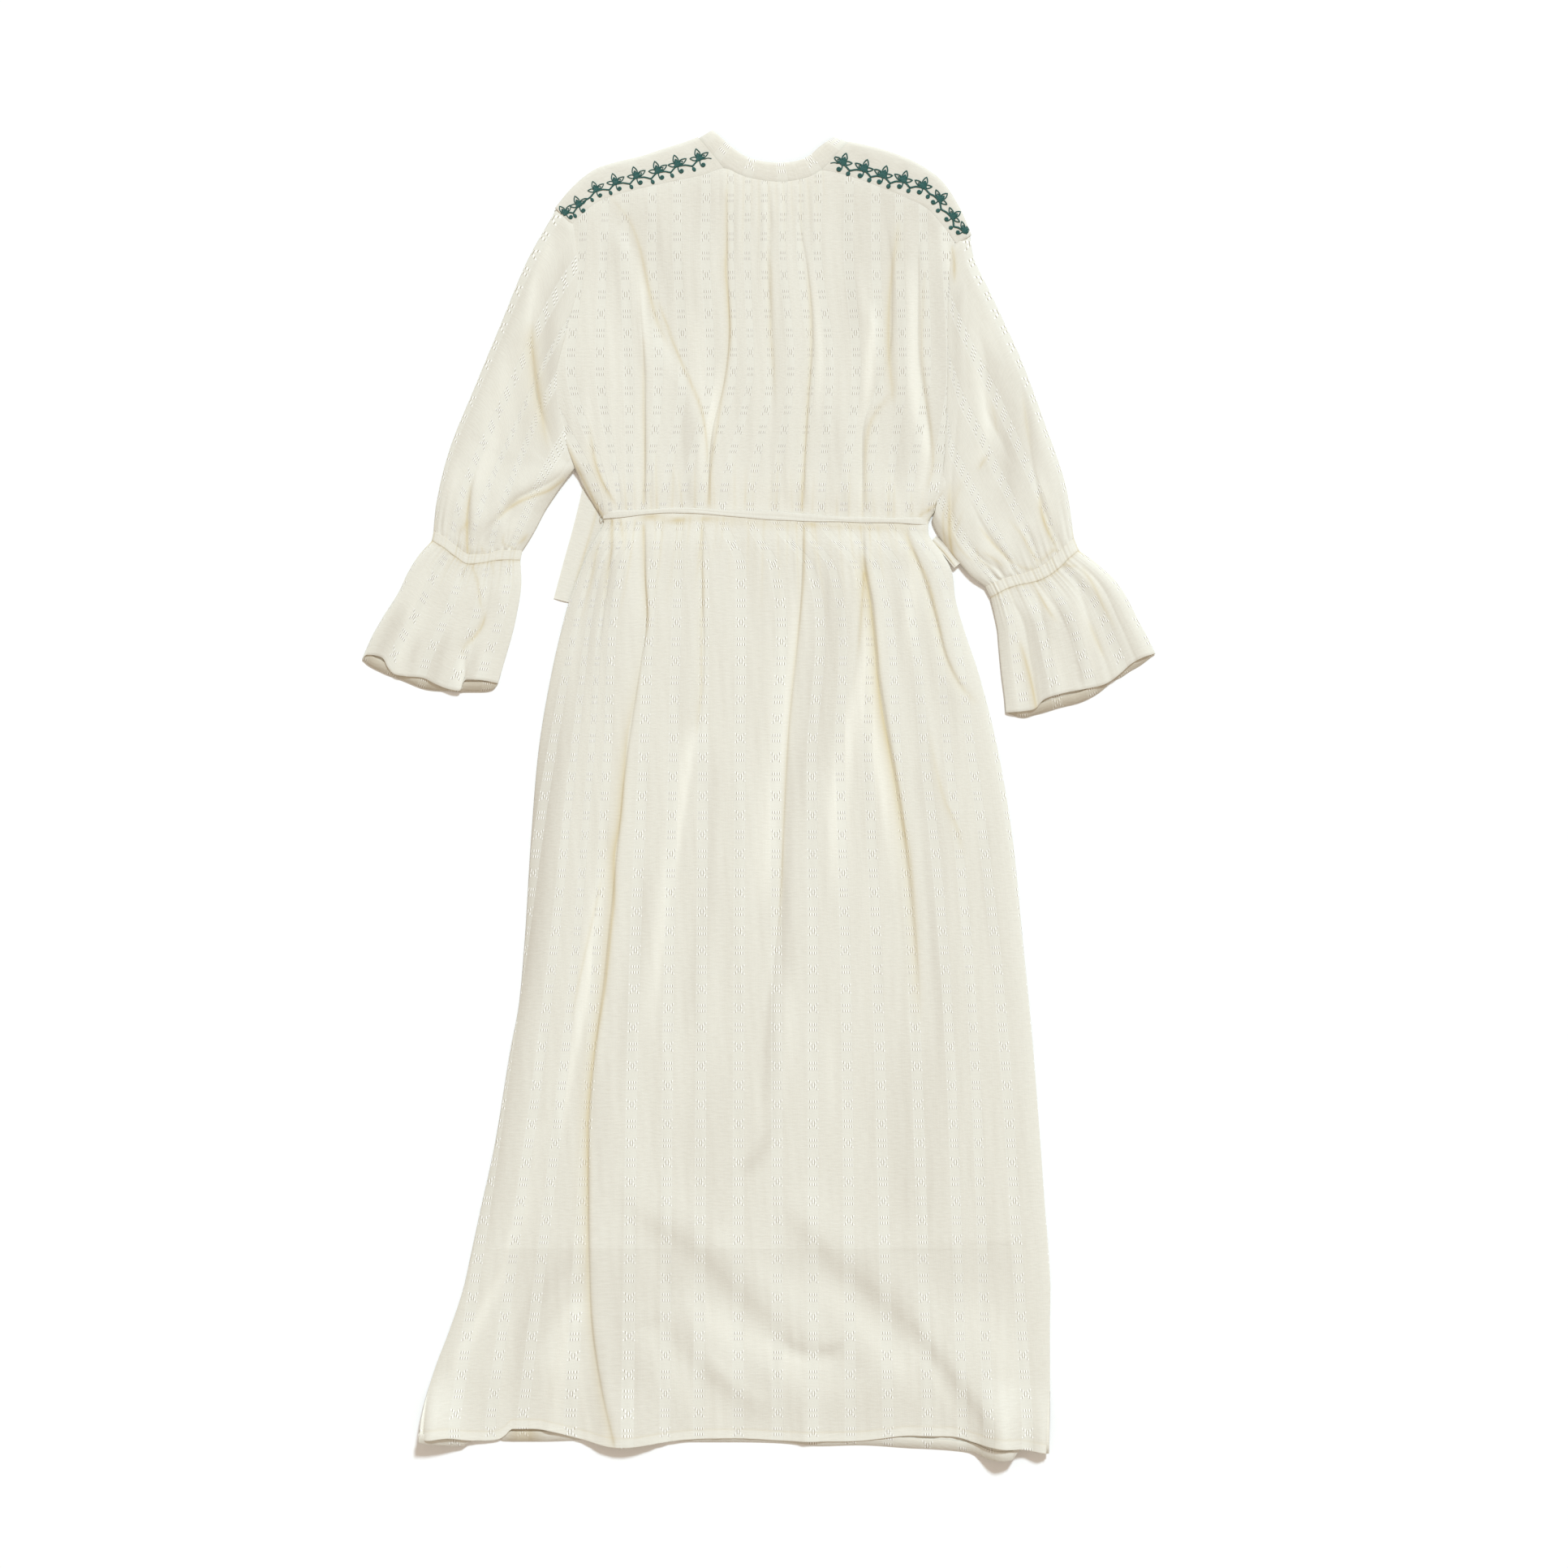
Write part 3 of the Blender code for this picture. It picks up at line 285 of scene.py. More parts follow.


# Crinkled double gauze of bleached cotton, woven with dobby stripes: small crosses and bars of
# floating thread. Matt and soft; the floats' faint gloss is a painted highlight, a lighter colour
# on them, and the pinholes at their ends carry painted shade. Deep folds get painted golden shade,
# and the tone attribute lays on painted light and shade. Its crinkles, slubs and threads are finer
# than a pixel, so they are drawn two to three times too coarse.
def makeGauze(name, stripes=True, liningEnd=None):
    material, shader = newMaterial(name)
    uv = addNode(material, "UVMap", uv_map="cloth").outputs[0]
    parts = addNode(material, "SeparateXYZ", {0: uv}).outputs
    made = {"u": parts[0], "v": parts[1]}
    noises = [("crinkle", cloth["crinkle"], cloth["crinkleLong"], 2.5, 0.6),
              ("slubs", cloth["slubLong"], cloth["slub"], 2.0, 0.6),
              ("weave", cloth["weave"], cloth["weave"], 1.0, 0.5)]
    for key, across, along, detail, rough in noises:
        scale = (1 / (across * mm), 1 / (along * mm), 1)
        place = addNode(material, "Mapping", {0: uv, "Scale": scale}).outputs[0]
        made[key] = addNode(material, "TexNoise", {
            "Vector": place, "Scale": 1.0, "Detail": detail, "Roughness": rough}).outputs[0]
    # painted light and shade (tone) and painted crease shade (fold), read from the mesh
    for key in ("tone", "fold"):
        made[key] = addNode(material, "Attribute", attribute_name=key).outputs["Fac"]

    # each step is a result, an operation and what it works on: numbers, or results above it.
    # FADE goes from 1 at the first number to 0 at the second
    steps = [
        ("height", "MULTIPLY", "crinkle", cloth["crinkleHigh"]),
        ("height", "MULTIPLY_ADD", "slubs", cloth["slubHigh"], "height"),
        ("height", "MULTIPLY_ADD", "weave", cloth["weaveHigh"], "height"),
        # the slubs are denser thread, so they also vary the tone a little
        ("slubs", "SUBTRACT", "slubs", 0.5),
        ("tone", "MULTIPLY_ADD", "slubs", cloth["slubTone"], "tone"),
        # the tone, slubs plus painted light and shade, makes the cloth paler or duller
        ("pale", "MAXIMUM", "tone", 0.0),
        ("dull", "MULTIPLY", "tone", -1.0),
        ("dull", "MAXIMUM", "dull", 0.0),
        ("u", "DIVIDE", "u", mm),
        ("v", "DIVIDE", "v", mm)]
    # what the colour is made of, from below: by how much, and to which colour
    layers = [("pale", "pale"), ("dull", "dull")]
    if stripes:
        steps += [
            # which stripe this is, and how far from its middle line
            ("cell", "DIVIDE", "u", cloth["pitch"]),
            ("cell", "ADD", "cell", 0.5),
            ("number", "FLOOR", "cell"),
            ("fromLine", "PINGPONG", "u", cloth["pitch"] / 2),
            ("onStripe", "FADE", "fromLine", *cloth["stripeHalf"]),
            # crosses and bars in turn along it, the other way round on the next stripe
            ("number", "FLOORED_MODULO", "number", 2.0),
            ("row", "DIVIDE", "v", cloth["figure"]),
            ("row", "ADD", "row", "number"),
            ("isBars", "FLOOR", "row"),
            ("isBars", "FLOORED_MODULO", "isBars", 2.0),
            ("isCross", "SUBTRACT", 1.0, "isBars"),
            ("fromMiddle", "ADD", "v", cloth["figure"] / 2),
            ("fromMiddle", "PINGPONG", "fromMiddle", cloth["figure"] / 2),
            ("offDiagonal", "SUBTRACT", "fromLine", "fromMiddle"),
            ("offDiagonal", "ABSOLUTE", "offDiagonal"),
            ("cross", "FADE", "offDiagonal", *cloth["crossArm"]),
            ("crossEnd", "FADE", "fromMiddle", *cloth["crossEnd"]),
            ("cross", "MULTIPLY", "cross", "crossEnd"),
            ("cross", "MULTIPLY", "cross", "isCross"),
            ("fromBar", "SUBTRACT", "fromMiddle", cloth["barAt"]),
            ("fromBar", "ABSOLUTE", "fromBar"),
            ("bars", "FADE", "fromBar", *cloth["barHalf"]),
            ("barEnd", "FADE", "fromLine", *cloth["barEnd"]),
            ("bars", "MULTIPLY", "bars", "barEnd"),
            ("shape", "MULTIPLY_ADD", "bars", "isBars", "cross"),
            ("shape", "MULTIPLY", "shape", "onStripe"),
            # floats and the pinholes at their ends follow one another
            ("dots", "MULTIPLY", "fromLine", 2 * math.pi / cloth["floatPitch"]),
            ("dots", "COSINE", "dots"),
            ("floats", "FADE", "dots", 0.1, -0.7),
            ("floats", "MULTIPLY", "floats", "shape"),
            ("holes", "FADE", "dots", -1.0, -0.5),
            ("holes", "MULTIPLY", "holes", "shape"),
            ("stripe", "MULTIPLY", "onStripe", cloth["stripeShare"])]
        layers.append(("stripe", "stripe"))
        if liningEnd:
            steps += [
                # painted shade in the open figures above the waist, and fewer floats there
                ("open", "FADE", "v", *cloth["open"]),
                ("openShade", "MULTIPLY", "shape", "open"),
                ("openShade", "MULTIPLY", "openShade", cloth["openShade"]),
                ("open", "MULTIPLY", "open", cloth["openShare"]),
                ("open", "SUBTRACT", 1.0, "open"),
                ("floats", "MULTIPLY", "floats", "open")]
            layers.append(("openShade", "dull"))
        # the floats are painted lighter, a painted highlight, and the pinholes darker, painted
        # shade; both also raise or sink the bump
        steps += [
            ("float", "MULTIPLY", "floats", cloth["floatShare"]),
            ("flat", "SUBTRACT", 1.0, "stripe"),
            ("height", "MULTIPLY", "height", "flat"),
            ("height", "MULTIPLY_ADD", "floats", cloth["floatHigh"], "height"),
            ("height", "MULTIPLY_ADD", "holes", -cloth["holeDeep"], "height")]
        layers += [("float", "float"), ("holes", "hole")]
    if liningEnd:   # the slip lining shows through as a tone, down to its hem
        steps += [
            ("below", "FADE", "v", liningEnd - cloth["liningHem"], liningEnd + cloth["liningHem"]),
            ("faded", "FADE", "v", *(liningEnd - far for far in cloth["liningFade"])),
            ("faded", "SUBTRACT", 1.0, "faded"),
            ("lining", "MULTIPLY", "below", "faded"),
            ("inside", "SUBTRACT", "u", cloth["liningMiddle"]),
            ("inside", "ABSOLUTE", "inside"),
            ("inside", "FADE", "inside", *cloth["liningHalf"]),
            ("lining", "MULTIPLY", "lining", "inside"),
            ("lining", "MULTIPLY", "lining", cloth["liningShare"])]
        layers.append(("lining", "dull"))
    layers.append(("fold", "fold"))   # painted golden shade in deep folds and creases, tinted as light through several layers would tint it

    for result, operation, *values in steps:
        inputs = {i: made[v] if isinstance(v, str) else v for i, v in enumerate(values)}
        if operation == "FADE":
            made[result] = addNode(material, "MapRange", {**inputs, 3: 1.0, 4: 0.0},
                                   interpolation_type="SMOOTHSTEP").outputs[0]
        else:
            made[result] = addNode(material, "Math", inputs, operation=operation).outputs[0]
    color = linear(cloth["ground"])
    for factor, name in layers:
        color = addNode(material, "Mix", {
            "Factor": made[factor], 6: color, 7: linear(cloth[name])}, data_type="RGBA").outputs[2]
    bump = addNode(material, "Bump", {
        "Strength": cloth["bumpStrength"], "Distance": cloth["bump"] * mm,
        "Height": made["height"]})
    material.node_tree.links.new(color, shader.inputs["Base Color"])
    material.node_tree.links.new(bump.outputs[0], shader.inputs["Normal"])
    shader.inputs["Roughness"].default_value = cloth["roughness"]
    shader.inputs["IOR"].default_value = cloth["ior"]
    shader.inputs["Sheen Weight"].default_value = cloth["sheen"]
    shader.inputs["Sheen Roughness"].default_value = cloth["sheenRoughness"]
    through = addNode(material, "BsdfTranslucent", {"Color": linear(cloth["glow"])})
    both = addNode(material, "MixShader", {0: cloth["thin"], 1: shader.outputs[0],
                                           2: through.outputs[0]})
    output = material.node_tree.nodes["Material Output"]
    material.node_tree.links.new(both.outputs[0], output.inputs["Surface"])
    return material


# sizes in millimetres; the strands are drawn coarser than they are, so that they show
thread = {"strand": 1.1, "bump": 0.2, "bumpStrength": 0.8, "ior": 1.5}


# Rayon embroidery thread: dyed teal, laid in satin stitches, with a low silky gloss. The cotton
# thread of the loop is a dull cream.
def makeThread(name, light, dark, gloss):
    material, shader = newMaterial(name)
    place = addNode(material, "TexCoord").outputs["Object"]
    strands = addNode(material, "TexWave", {
        "Vector": place, "Scale": 1 / (thread["strand"] * mm), "Distortion": 2.0, "Detail": 1.0,
        "Detail Scale": 1.5}, wave_type="BANDS", bands_direction="DIAGONAL")
    # each strand is painted lighter and darker across its width: painted light on the strands and
    # painted shade between them
    color = addNode(material, "Mix", {
        "Factor": strands.outputs["Fac"], 6: linear(dark), 7: linear(light)},
        data_type="RGBA").outputs[2]
    bump = addNode(material, "Bump", {
        "Strength": thread["bumpStrength"], "Distance": thread["bump"] * mm,
        "Height": strands.outputs["Fac"]})
    material.node_tree.links.new(color, shader.inputs["Base Color"])
    material.node_tree.links.new(bump.outputs[0], shader.inputs["Normal"])
    shader.inputs["Roughness"].default_value = gloss
    shader.inputs["IOR"].default_value = thread["ior"]
    return material


stripedGauze = makeGauze("cottonDobbyGauze")
skirtGauze = makeGauze("cottonDobbyGauzeOverLining", liningEnd=191)
plainGauze = makeGauze("plainCottonGauze", stripes=False)
liningVoile = makeGauze("cottonVoile", stripes=False)
tealThread = makeThread("tealRayonThread", "#22655E", "#103F3A", 0.5)
creamThread = makeThread("creamCottonThread", "#E6E1D2", "#D3CCB8", 0.7)
print("materials made")


def finishCloth(piece, material, nodes):
    piece.data.materials.append(material)
    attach(piece, "root")
    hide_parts(*nodes)


# the back panel

body = {
    # down, left side, right side
    "sections": [
        (30, -196, 210), (90, -184, 196), (140, -179, 190), (190, -190, 189), (240, -201, 189),
        (300, -191, 188), (345, -174, 186), (356, -168, 185), (369, -160, 177), (384, -152, 167),
        (393, -157, 167), (410, -166, 178), (428, -174, 189), (460, -186, 194),
        (490, -194, 202.5), (530, -203, 216), (600, -215, 234), (690, -223, 249.5),
        (800, -230, 260.7), (860, -235.7, 266.8), (900, -243.3, 270.4), (1000, -260, 278),
        (1060, -273.2, 282.3), (1100, -281.8, 285.6), (1140, -290.8, 287.6), (1180, -304.2, 287),
        (1220, -319.3, 287.2), (1260, -330.5, 287), (1310, -335, 285.5)],
    # x and down along the four longest folds, from left to right
    "longFolds": [
        [(-140, 30), (-128, 90), (-119, 140), (-115, 190), (-112, 250), (-112, 384), (-112, 434),
         (-110, 472), (-115, 515), (-124, 574), (-132, 630), (-137, 680), (-144, 749), (-153, 837),
         (-159, 884), (-166, 949), (-168, 1020), (-167, 1110), (-164, 1178), (-155, 1237),
         (-138, 1310)],
        [(-32, 30), (-31, 134), (-29, 192), (-34, 244), (-46, 296), (-51, 366), (-54, 386),
         (-56, 446), (-54, 505), (-57, 582), (-66, 690), (-76, 800), (-84, 900), (-91, 1000),
         (-93, 1100), (-91, 1200), (-83, 1310)],
        [(38, 30), (39, 87), (48, 134), (53, 198), (50, 250), (46, 308), (44, 380), (42, 452),
         (37, 515), (30, 582), (26, 652), (23, 714), (20, 767), (15, 825), (14, 1000), (17, 1100),
         (26, 1200), (38, 1310)],
        [(118, 30), (127, 90), (131, 140), (131, 190), (122, 240), (105, 280), (102, 320),
         (103, 384), (104, 428), (110, 459), (117, 533), (128, 602), (138, 662), (145, 714),
         (152, 785), (160, 900), (168, 1000), (174, 1100), (180, 1200), (190, 1310)]],
    "columns": (70, 58, 72, 72, 64),   # between one long fold and the next
    "denseAtSide": 0.1, "denseBetween": 0.085,   # how much closer they lie beside a fold
    "rowStep": 5.0,
    "topBend": 165.0,                  # above this the rows follow the top seam
    "hemBend": 1175.0,                 # below this they follow the hem
    "waistRow": 384.0, "waistReach": 70.0, "rounds": 5,
    "hemRow": 1290.0, "hemDeep": 9.0,
    "underarm": {"left": 320.0, "right": 350.0},
    "waist": [(-160, 383), (-116, 378), (-84, 376), (-44, 374), (-4, 375), (36, 378), (76, 382),
              (132, 384), (175, 386)],
    "rowsAtHem": 14,                   # one for each millimetre
    # the cloth's height: at the sides, in the middle and under the tie, and over what lengths it
    # rolls down to the sides and is pressed by the tie and the top seam
    "sideTop": 2.7, "rise": 3.9, "waistRise": 3.2, "sideRoll": 6.0, "press": 20.0,
    "topPress": 14.0, "foldsUnderTie": 0.12, "foldsAtSide": 0.35, "foldsFromSide": 12.0,
    "topDip": (0.6, 5.0),              # depth and reach
    "armholeDip": 1.5, "armholeHalf": 9.0, "armholeEnd": 30.0,
    # below the armhole the sleeve's edge holds the side up a little further
    "sleeveHold": 40.0, "holdBelow": {"left": 20.0, "right": 15.0},
    # above the hem its fold is pressed: over what length, how far down, how much of the folds
    "hemReach": 70.0, "hemPress": 1.5, "hemShare": 0.7,
    # unevenness: seed, size, stretch, height
    "soft": [(3, 46, 4.0, 0.35), (8, 13, 7.0, 0.14)],
    # the last rows turned under: out, down, cloth used
    "hemTurn": [(0.5, -0.25, 0.6), (0.55, -0.7, 1.2), (0.0, -1.0, 2.0), (-9.0, -1.05, 11.0)],
    # the sides turned down to the front: out, share of the way down, cloth used
    "sideTurn": [(0.35, 0.25, 0.5), (0.5, 0.6, 1.0), (0.2, 1.0, 1.5)],
    "sideLow": 1.3, "armholeHigh": 3.4, "armholeFade": 12.0,
    # tones: the hem is double and paler, with a stitched line drawn as a thin line of painted
    # shade; the skirt's foot is duller, and above the tie a band of painted light makes the cloth
    # paler
    "hemPale": 0.3, "stitch": (0.28, 0.8), "footDull": (0.12, 650.0, 550.0),
    "paintedLightAboveTie": (0.45, 8.0, 30.0, -3.0),
    # x, back hem, front hem
    "hem": [(-335, 1287, 1288), (-326, 1286, 1289.5), (-308, 1284.5, 1292), (-287, 1288, 1294),
            (-281, 1288.5, 1288), (-256, 1287.5, 1287), (-250, 1284, 1289.5),
            (-243, 1277.5, 1289.5),
            (-214, 1278, 1289.5), (-174, 1287.5, 1288.5), (-138, 1294.5, 1291), (-68, 1288, 1290),
            (-20, 1287, 1290), (20, 1289, 1291), (60, 1290, 1294), (100, 1289.5, 1293),
            (150, 1284.5, 1296), (172, 1285, 1297), (197, 1286, 1299), (213, 1290.5, 1301),
            (226, 1293, 1306), (251, 1295.5, 1306.5), (257, 1296, 1297), (287, 1301, 1300)],
    # x, height and reach of what lifts the back's hem, and the front's with it
    "hemLifts": [(-331, 21, 36), (-232, 1.5, 14), (-132, 10, 34), (48, 3, 14), (240, 17, 20),
                 (285, 14, 18)],
    "frontLifts": [(-331, 16, 34), (240, 15, 18), (285, 9, 16)],
    # creases are lines of painted golden shade, and tones are painted light (above 0) and painted
    # shade (below 0). Each is high, reach to its left and right, then x, down, strength along it
    "creases": [
        (1, 1.6, 1.2, (-113, 205, 0.2), (-113, 269, 0.5), (-112, 317, 0.5), (-113, 366, 0.6)),
        (1, 2, 1.2, (-113, 387, 0.7), (-112, 429, 0.6), (-110, 457, 0.7), (-109, 480, 0.6),
         (-111, 501, 0.1)),
        (1, 4.5, 1.6, (-112, 493, 0), (-120, 549, 0.25), (-129, 593, 0.45), (-132, 629, 0.75),
         (-136, 677, 0.85), (-142, 717, 0.95), (-142, 749, 0.9), (-145.5, 789, 0.8),
         (-150.5, 837, 0.8), (-163, 917, 0.85), (-168, 989, 0.9), (-168, 1069, 0.7),
         (-166, 1149, 0.5), (-161, 1197, 0.45), (-155, 1237, 0.45), (-142, 1289, 0.5)),
        (1, 1.5, 1, (-153, 729, 0), (-159, 757, 0.35), (-168, 797, 0.35), (-179, 849, 0.3),
         (-184, 877, 0)),
        (1, 2, 1.4, (-55, 389, 0.3), (-56, 421, 0.45), (-54, 446, 0.5), (-56, 485, 0.4),
         (-56, 541, 0.4), (-59, 577, 0.3), (-61, 597, 0)),
        (1, 1.6, 1.4, (45, 390, 0.7), (45, 421, 0.65), (43, 457, 0.5), (38, 501, 0.4),
         (33, 549, 0.4), (28, 613, 0.4), (25, 677, 0.45), (23, 733, 0.45), (21, 773, 0.2),
         (20, 805, 0)),
        (1, 5, 1.8, (104, 421, 0.5), (107, 441, 0.9), (111, 469, 0.9), (116, 509, 0.95),
         (118, 541, 0.95), (123, 577, 1), (134, 629, 1), (142, 677, 0.95), (148, 713, 0.8),
         (152, 749, 0.65), (155, 789, 0.55), (157, 837, 0.4), (159, 885, 0)),
        (1, 1.4, 1.6, (104, 433, 0.6), (102, 461, 0.6), (100, 493, 0.4), (97, 521, 0)),
        (1, 3.2, 1.6, (145, 393, 0.4), (153, 413, 0.7), (163, 433, 0.75), (170, 453, 0.8),
         (176, 478, 0.75), (183, 509, 0.5), (192, 531, 0.5), (204, 550, 0.4), (219, 565, 0)),
        (1, 3, 1.6, (168, 585, 0), (175, 625, 0.3), (185, 661, 0.4), (196, 685, 0.4),
         (203, 717, 0)),
        (1, 2.2, 2, (-146, 63, 0.1), (-128, 85, 0.3), (-117, 113, 0.5), (-110, 145, 0.6),
         (-102, 179, 0.55), (-95, 197, 0.3), (-87, 213, 0)),
        (1, 1.4, 1.1, (-101, 161, 0), (-93, 181, 0.5), (-82, 211, 0.6), (-68, 243, 0.65),
         (-56, 273, 0.7), (-51, 305, 0.5), (-50, 337, 0)),
        (1, 2, 1.4, (-31, 57, 0.2), (-31, 109, 0.6), (-32, 133, 0.8), (-30, 161, 0.8),
         (-28, 197, 0.7), (-31, 233, 0.4), (-36, 261, 0.4), (-41, 293, 0.45), (-46, 325, 0.5),
         (-49, 366, 0.5)),
        (1, 2.2, 1.8, (9, 109, 0), (12, 149, 0.4), (12, 189, 0.4), (15, 229, 0.35), (17, 269, 0)),
        (1, 2, 1.4, (47, 125, 0), (51, 165, 0.4), (52, 213, 0.45), (49, 261, 0.5),
         (46, 317, 0.55), (43, 369, 0.6)),
        (1, 2.4, 2.6, (138, 81, 0), (136, 105, 0.4), (132, 133, 0.5), (129, 165, 0.6),
         (128, 197, 0.65), (129, 229, 0.6), (132, 257, 0.4), (132, 269, 0)),
        (1, 1.6, 2.2, (128, 261, 0.2), (117, 273, 0.4), (108, 293, 0.5), (105, 325, 0.45),
         (106, 369, 0.3)),
        (1, 1.6, 1.6, (165, 125, 0), (162, 165, 0.25), (161, 213, 0.3), (165, 261, 0.35),
         (171, 301, 0.4), (172, 325, 0.4), (167, 349, 0.2)),
        (1, 1.6, 1.3, (188, 351, 0.3), (180, 362, 0.8), (172, 369, 0.9), (164, 374, 0.8),
         (157, 378, 0.3)),
        (1, 1.2, 1.2, (182, 366, 0.3), (174, 374, 0.6), (167, 383, 0.7)),
        (1, 1.3, 1.2, (191, 113, 0.4), (192, 129, 0.9), (193, 145, 0.6), (193, 154, 0)),
        (1, 2.8, 1.2, (-166, 285, 0), (-162, 317, 0.7), (-156, 338, 0.9), (-148, 354, 0.8),
         (-140, 366, 0.2)),
        (1, 1.6, 1.6, (-189, 305, 0.2), (-184, 318, 0.7), (-174, 339, 0.8), (-165, 357, 0.9),
         (-154, 378, 1)),
        (1, 2.4, 2, (-148, 379, 0.3), (-124, 378, 0.2), (-108, 378, 0.8), (-96, 379, 0.7),
         (-79, 382, 0.8), (-66, 378, 0.6), (-44, 381, 0.6), (-4, 383, 0.6), (36, 386, 0.6),
         (60, 385, 0.6), (92, 386, 0.95), (116, 387, 0.8), (140, 387, 0.6), (156, 386, 0.2)),
        (1, 2.2, 1.1, (-144, 382, 0.9), (-144, 403, 0.7), (-148, 433, 0.5), (-154, 477, 0)),
        (1, 1.6, 1.2, (-136, 382, 0.7), (-134, 391, 0.6), (-133, 413, 0)),
        (1, 2.2, 1.2, (-154, 397, 0), (-160, 416, 0.5), (-163, 434, 0.45), (-170, 465, 0.2),
         (-176, 489, 0))],
    # painted light (positive) and painted shade (negative)
    "tones": [
        (1, 8, 4, (-147, 701, 0), (-152, 733, 0.6), (-159, 773, 1), (-165, 813, 1),
         (-170, 853, 0.9), (-180, 901, 0.7), (-189, 949, 0.6), (-192, 989, 0)),
        (0.95, 10, 4, (-63, 581, 0), (-68, 617, 0.9), (-74, 657, 0.9), (-80, 701, 0.8),
         (-90, 757, 0.7), (-98, 821, 0.6), (-108, 901, 0)),
        (0.8, 16, 5, (43, 445, 0), (36, 501, 0.6), (28, 557, 0.8), (22, 613, 0.9), (16, 669, 1),
         (12, 717, 0.9), (8, 773, 0)),
        (1, 6, 10, (105, 465, 0), (107, 493, 0.8), (107, 533, 1), (108, 573, 1), (115, 613, 0.9),
         (124, 661, 0.7), (131, 717, 0.3), (132, 757, 0)),
        (1, 8, 14, (102, 509, 0), (97, 549, 0.6), (88, 589, 0.9), (80, 629, 1), (76, 669, 0.9),
         (76, 717, 0.5), (80, 765, 0)),
        (0.75, 6, 8, (147, 421, 0), (149, 461, 1), (147, 501, 0.7), (148, 549, 0)),
        (0.35, 6, 6, (27, 813, 0), (30, 869, 1), (27, 925, 0.8), (22, 981, 0)),
        (0.35, 4, 4, (67, 853, 0), (70, 909, 1), (73, 981, 0)),
        (0.8, 6, 8, (-228, 1021, 0), (-236, 1069, 0.7), (-250, 1117, 0.9), (-272, 1161, 0.9),
         (-292, 1201, 0.8), (-301, 1237, 0)),
        (0.65, 12, 12, (-178, 1125, 0), (-186, 1165, 0.8), (-196, 1213, 1), (-199, 1261, 0.8),
         (-196, 1281, 0.4)),
        (0.45, 14, 14, (-140, 1141, 0), (-108, 1189, 0.6), (-68, 1245, 0.6), (-28, 1277, 0)),
        (-0.3, 42, 42, (125, 40, 1), (130, 110, 1), (130, 190, 0.6), (128, 250, 0)),
        (0.6, 15, 16, (-84, 1133, 0), (-44, 1169, 0.9), (-4, 1197, 0.9), (52, 1229, 0.6),
         (116, 1237, 0)),
        (0.55, 12, 14, (36, 1117, 0), (76, 1149, 0.9), (116, 1189, 0.9), (156, 1237, 0.5),
         (180, 1269, 0)),
        (0.45, 18, 18, (196, 1133, 0), (228, 1181, 0.8), (252, 1229, 0.8), (264, 1269, 0.3)),
        (1, 5, 5, (113, 165, 0), (112, 197, 0.9), (109, 229, 1), (107, 261, 0.8), (101, 289, 0)),
        (0.9, 6, 6, (148, 117, 0), (152, 165, 0.7), (152, 221, 0.8), (156, 269, 0.9),
         (165, 309, 1), (166, 333, 0.5), (158, 353, 0)),
        (0.75, 6, 8, (-33, 221, 0), (-40, 253, 0.7), (-48, 285, 0.9), (-55, 317, 0.6),
         (-58, 365, 0)),
        (0.4, 5, 4, (-122, 109, 0), (-116, 145, 0.8), (-114, 185, 0.9), (-112, 221, 0)),
        (-0.35, 26, 26, (-140, 1110, 0), (-134, 1150, 0.6), (-128, 1200, 0.9), (-124, 1250, 1),
         (-122, 1286, 1)),
        (-0.35, 5, 7, (-166, 1140, 0), (-162, 1190, 0.8), (-157, 1235, 1), (-150, 1272, 0.8)),
        (-0.35, 16, 20, (262, 1195, 0), (262, 1235, 0.7), (262, 1265, 1), (262, 1298, 1)),
        (-0.3, 2.5, 3, (110, 1098, 0), (150, 1099, 0.8), (200, 1097, 1), (250, 1095, 1),
         (262, 1094, 0.5)),
        (-0.3, 10, 12, (60, 1196, 0), (80, 1204, 0.9), (96, 1215, 0.8), (100, 1232, 0)),
        (-0.3, 12, 12, (-18, 1192, 0), (-6, 1205, 1), (6, 1225, 0.8), (8, 1242, 0)),
        (-0.35, 4, 4, (150, 1165, 0), (160, 1185, 1), (170, 1203, 0.8), (178, 1217, 0)),
        (-0.35, 5, 6, (84, 75, 0.6), (88, 120, 1), (90, 170, 0.8), (92, 210, 0)),
        (-0.35, 14, 10, (150, 62, 0.4), (168, 80, 1), (180, 98, 0.8), (186, 114, 0)),
        (-0.25, 14, 14, (-60, 46, 0.5), (-56, 75, 1), (-54, 105, 0.5), (-52, 127, 0)),
        (-0.3, 6, 6, (-128, 95, 0), (-118, 120, 0.9), (-110, 150, 1), (-104, 185, 0.8),
         (-98, 205, 0)),
        (0.3, 14, 14, (-50, 1075, 0), (-38, 1090, 0.9), (-20, 1108, 0.7), (10, 1125, 0.9),
         (40, 1145, 0.8), (52, 1167, 0)),
        (0.3, 8, 8, (-108, 1095, 0), (-102, 1115, 0.9), (-92, 1140, 1), (-84, 1165, 0.5),
         (-80, 1181, 0)),
        (0.3, 6, 6, (72, 1092, 0), (78, 1108, 1), (84, 1126, 0)),
        (0.3, 10, 10, (-240, 1140, 0), (-246, 1180, 0.8), (-250, 1220, 1), (-256, 1262, 0.8),
         (-258, 1286, 0.4)),
        (0.4, 8, 4, (-180, 1180, 0), (-178, 1210, 0.7), (-174, 1240, 1), (-168, 1268, 1),
         (-163, 1286, 0.6)),
        (0.2, 14, 14, (-44, 1225, 0), (-40, 1245, 1), (-36, 1272, 1)),
        (0.2, 8, 8, (-34, 570, 0), (-34, 620, 1), (-36, 690, 1), (-38, 746, 0)),
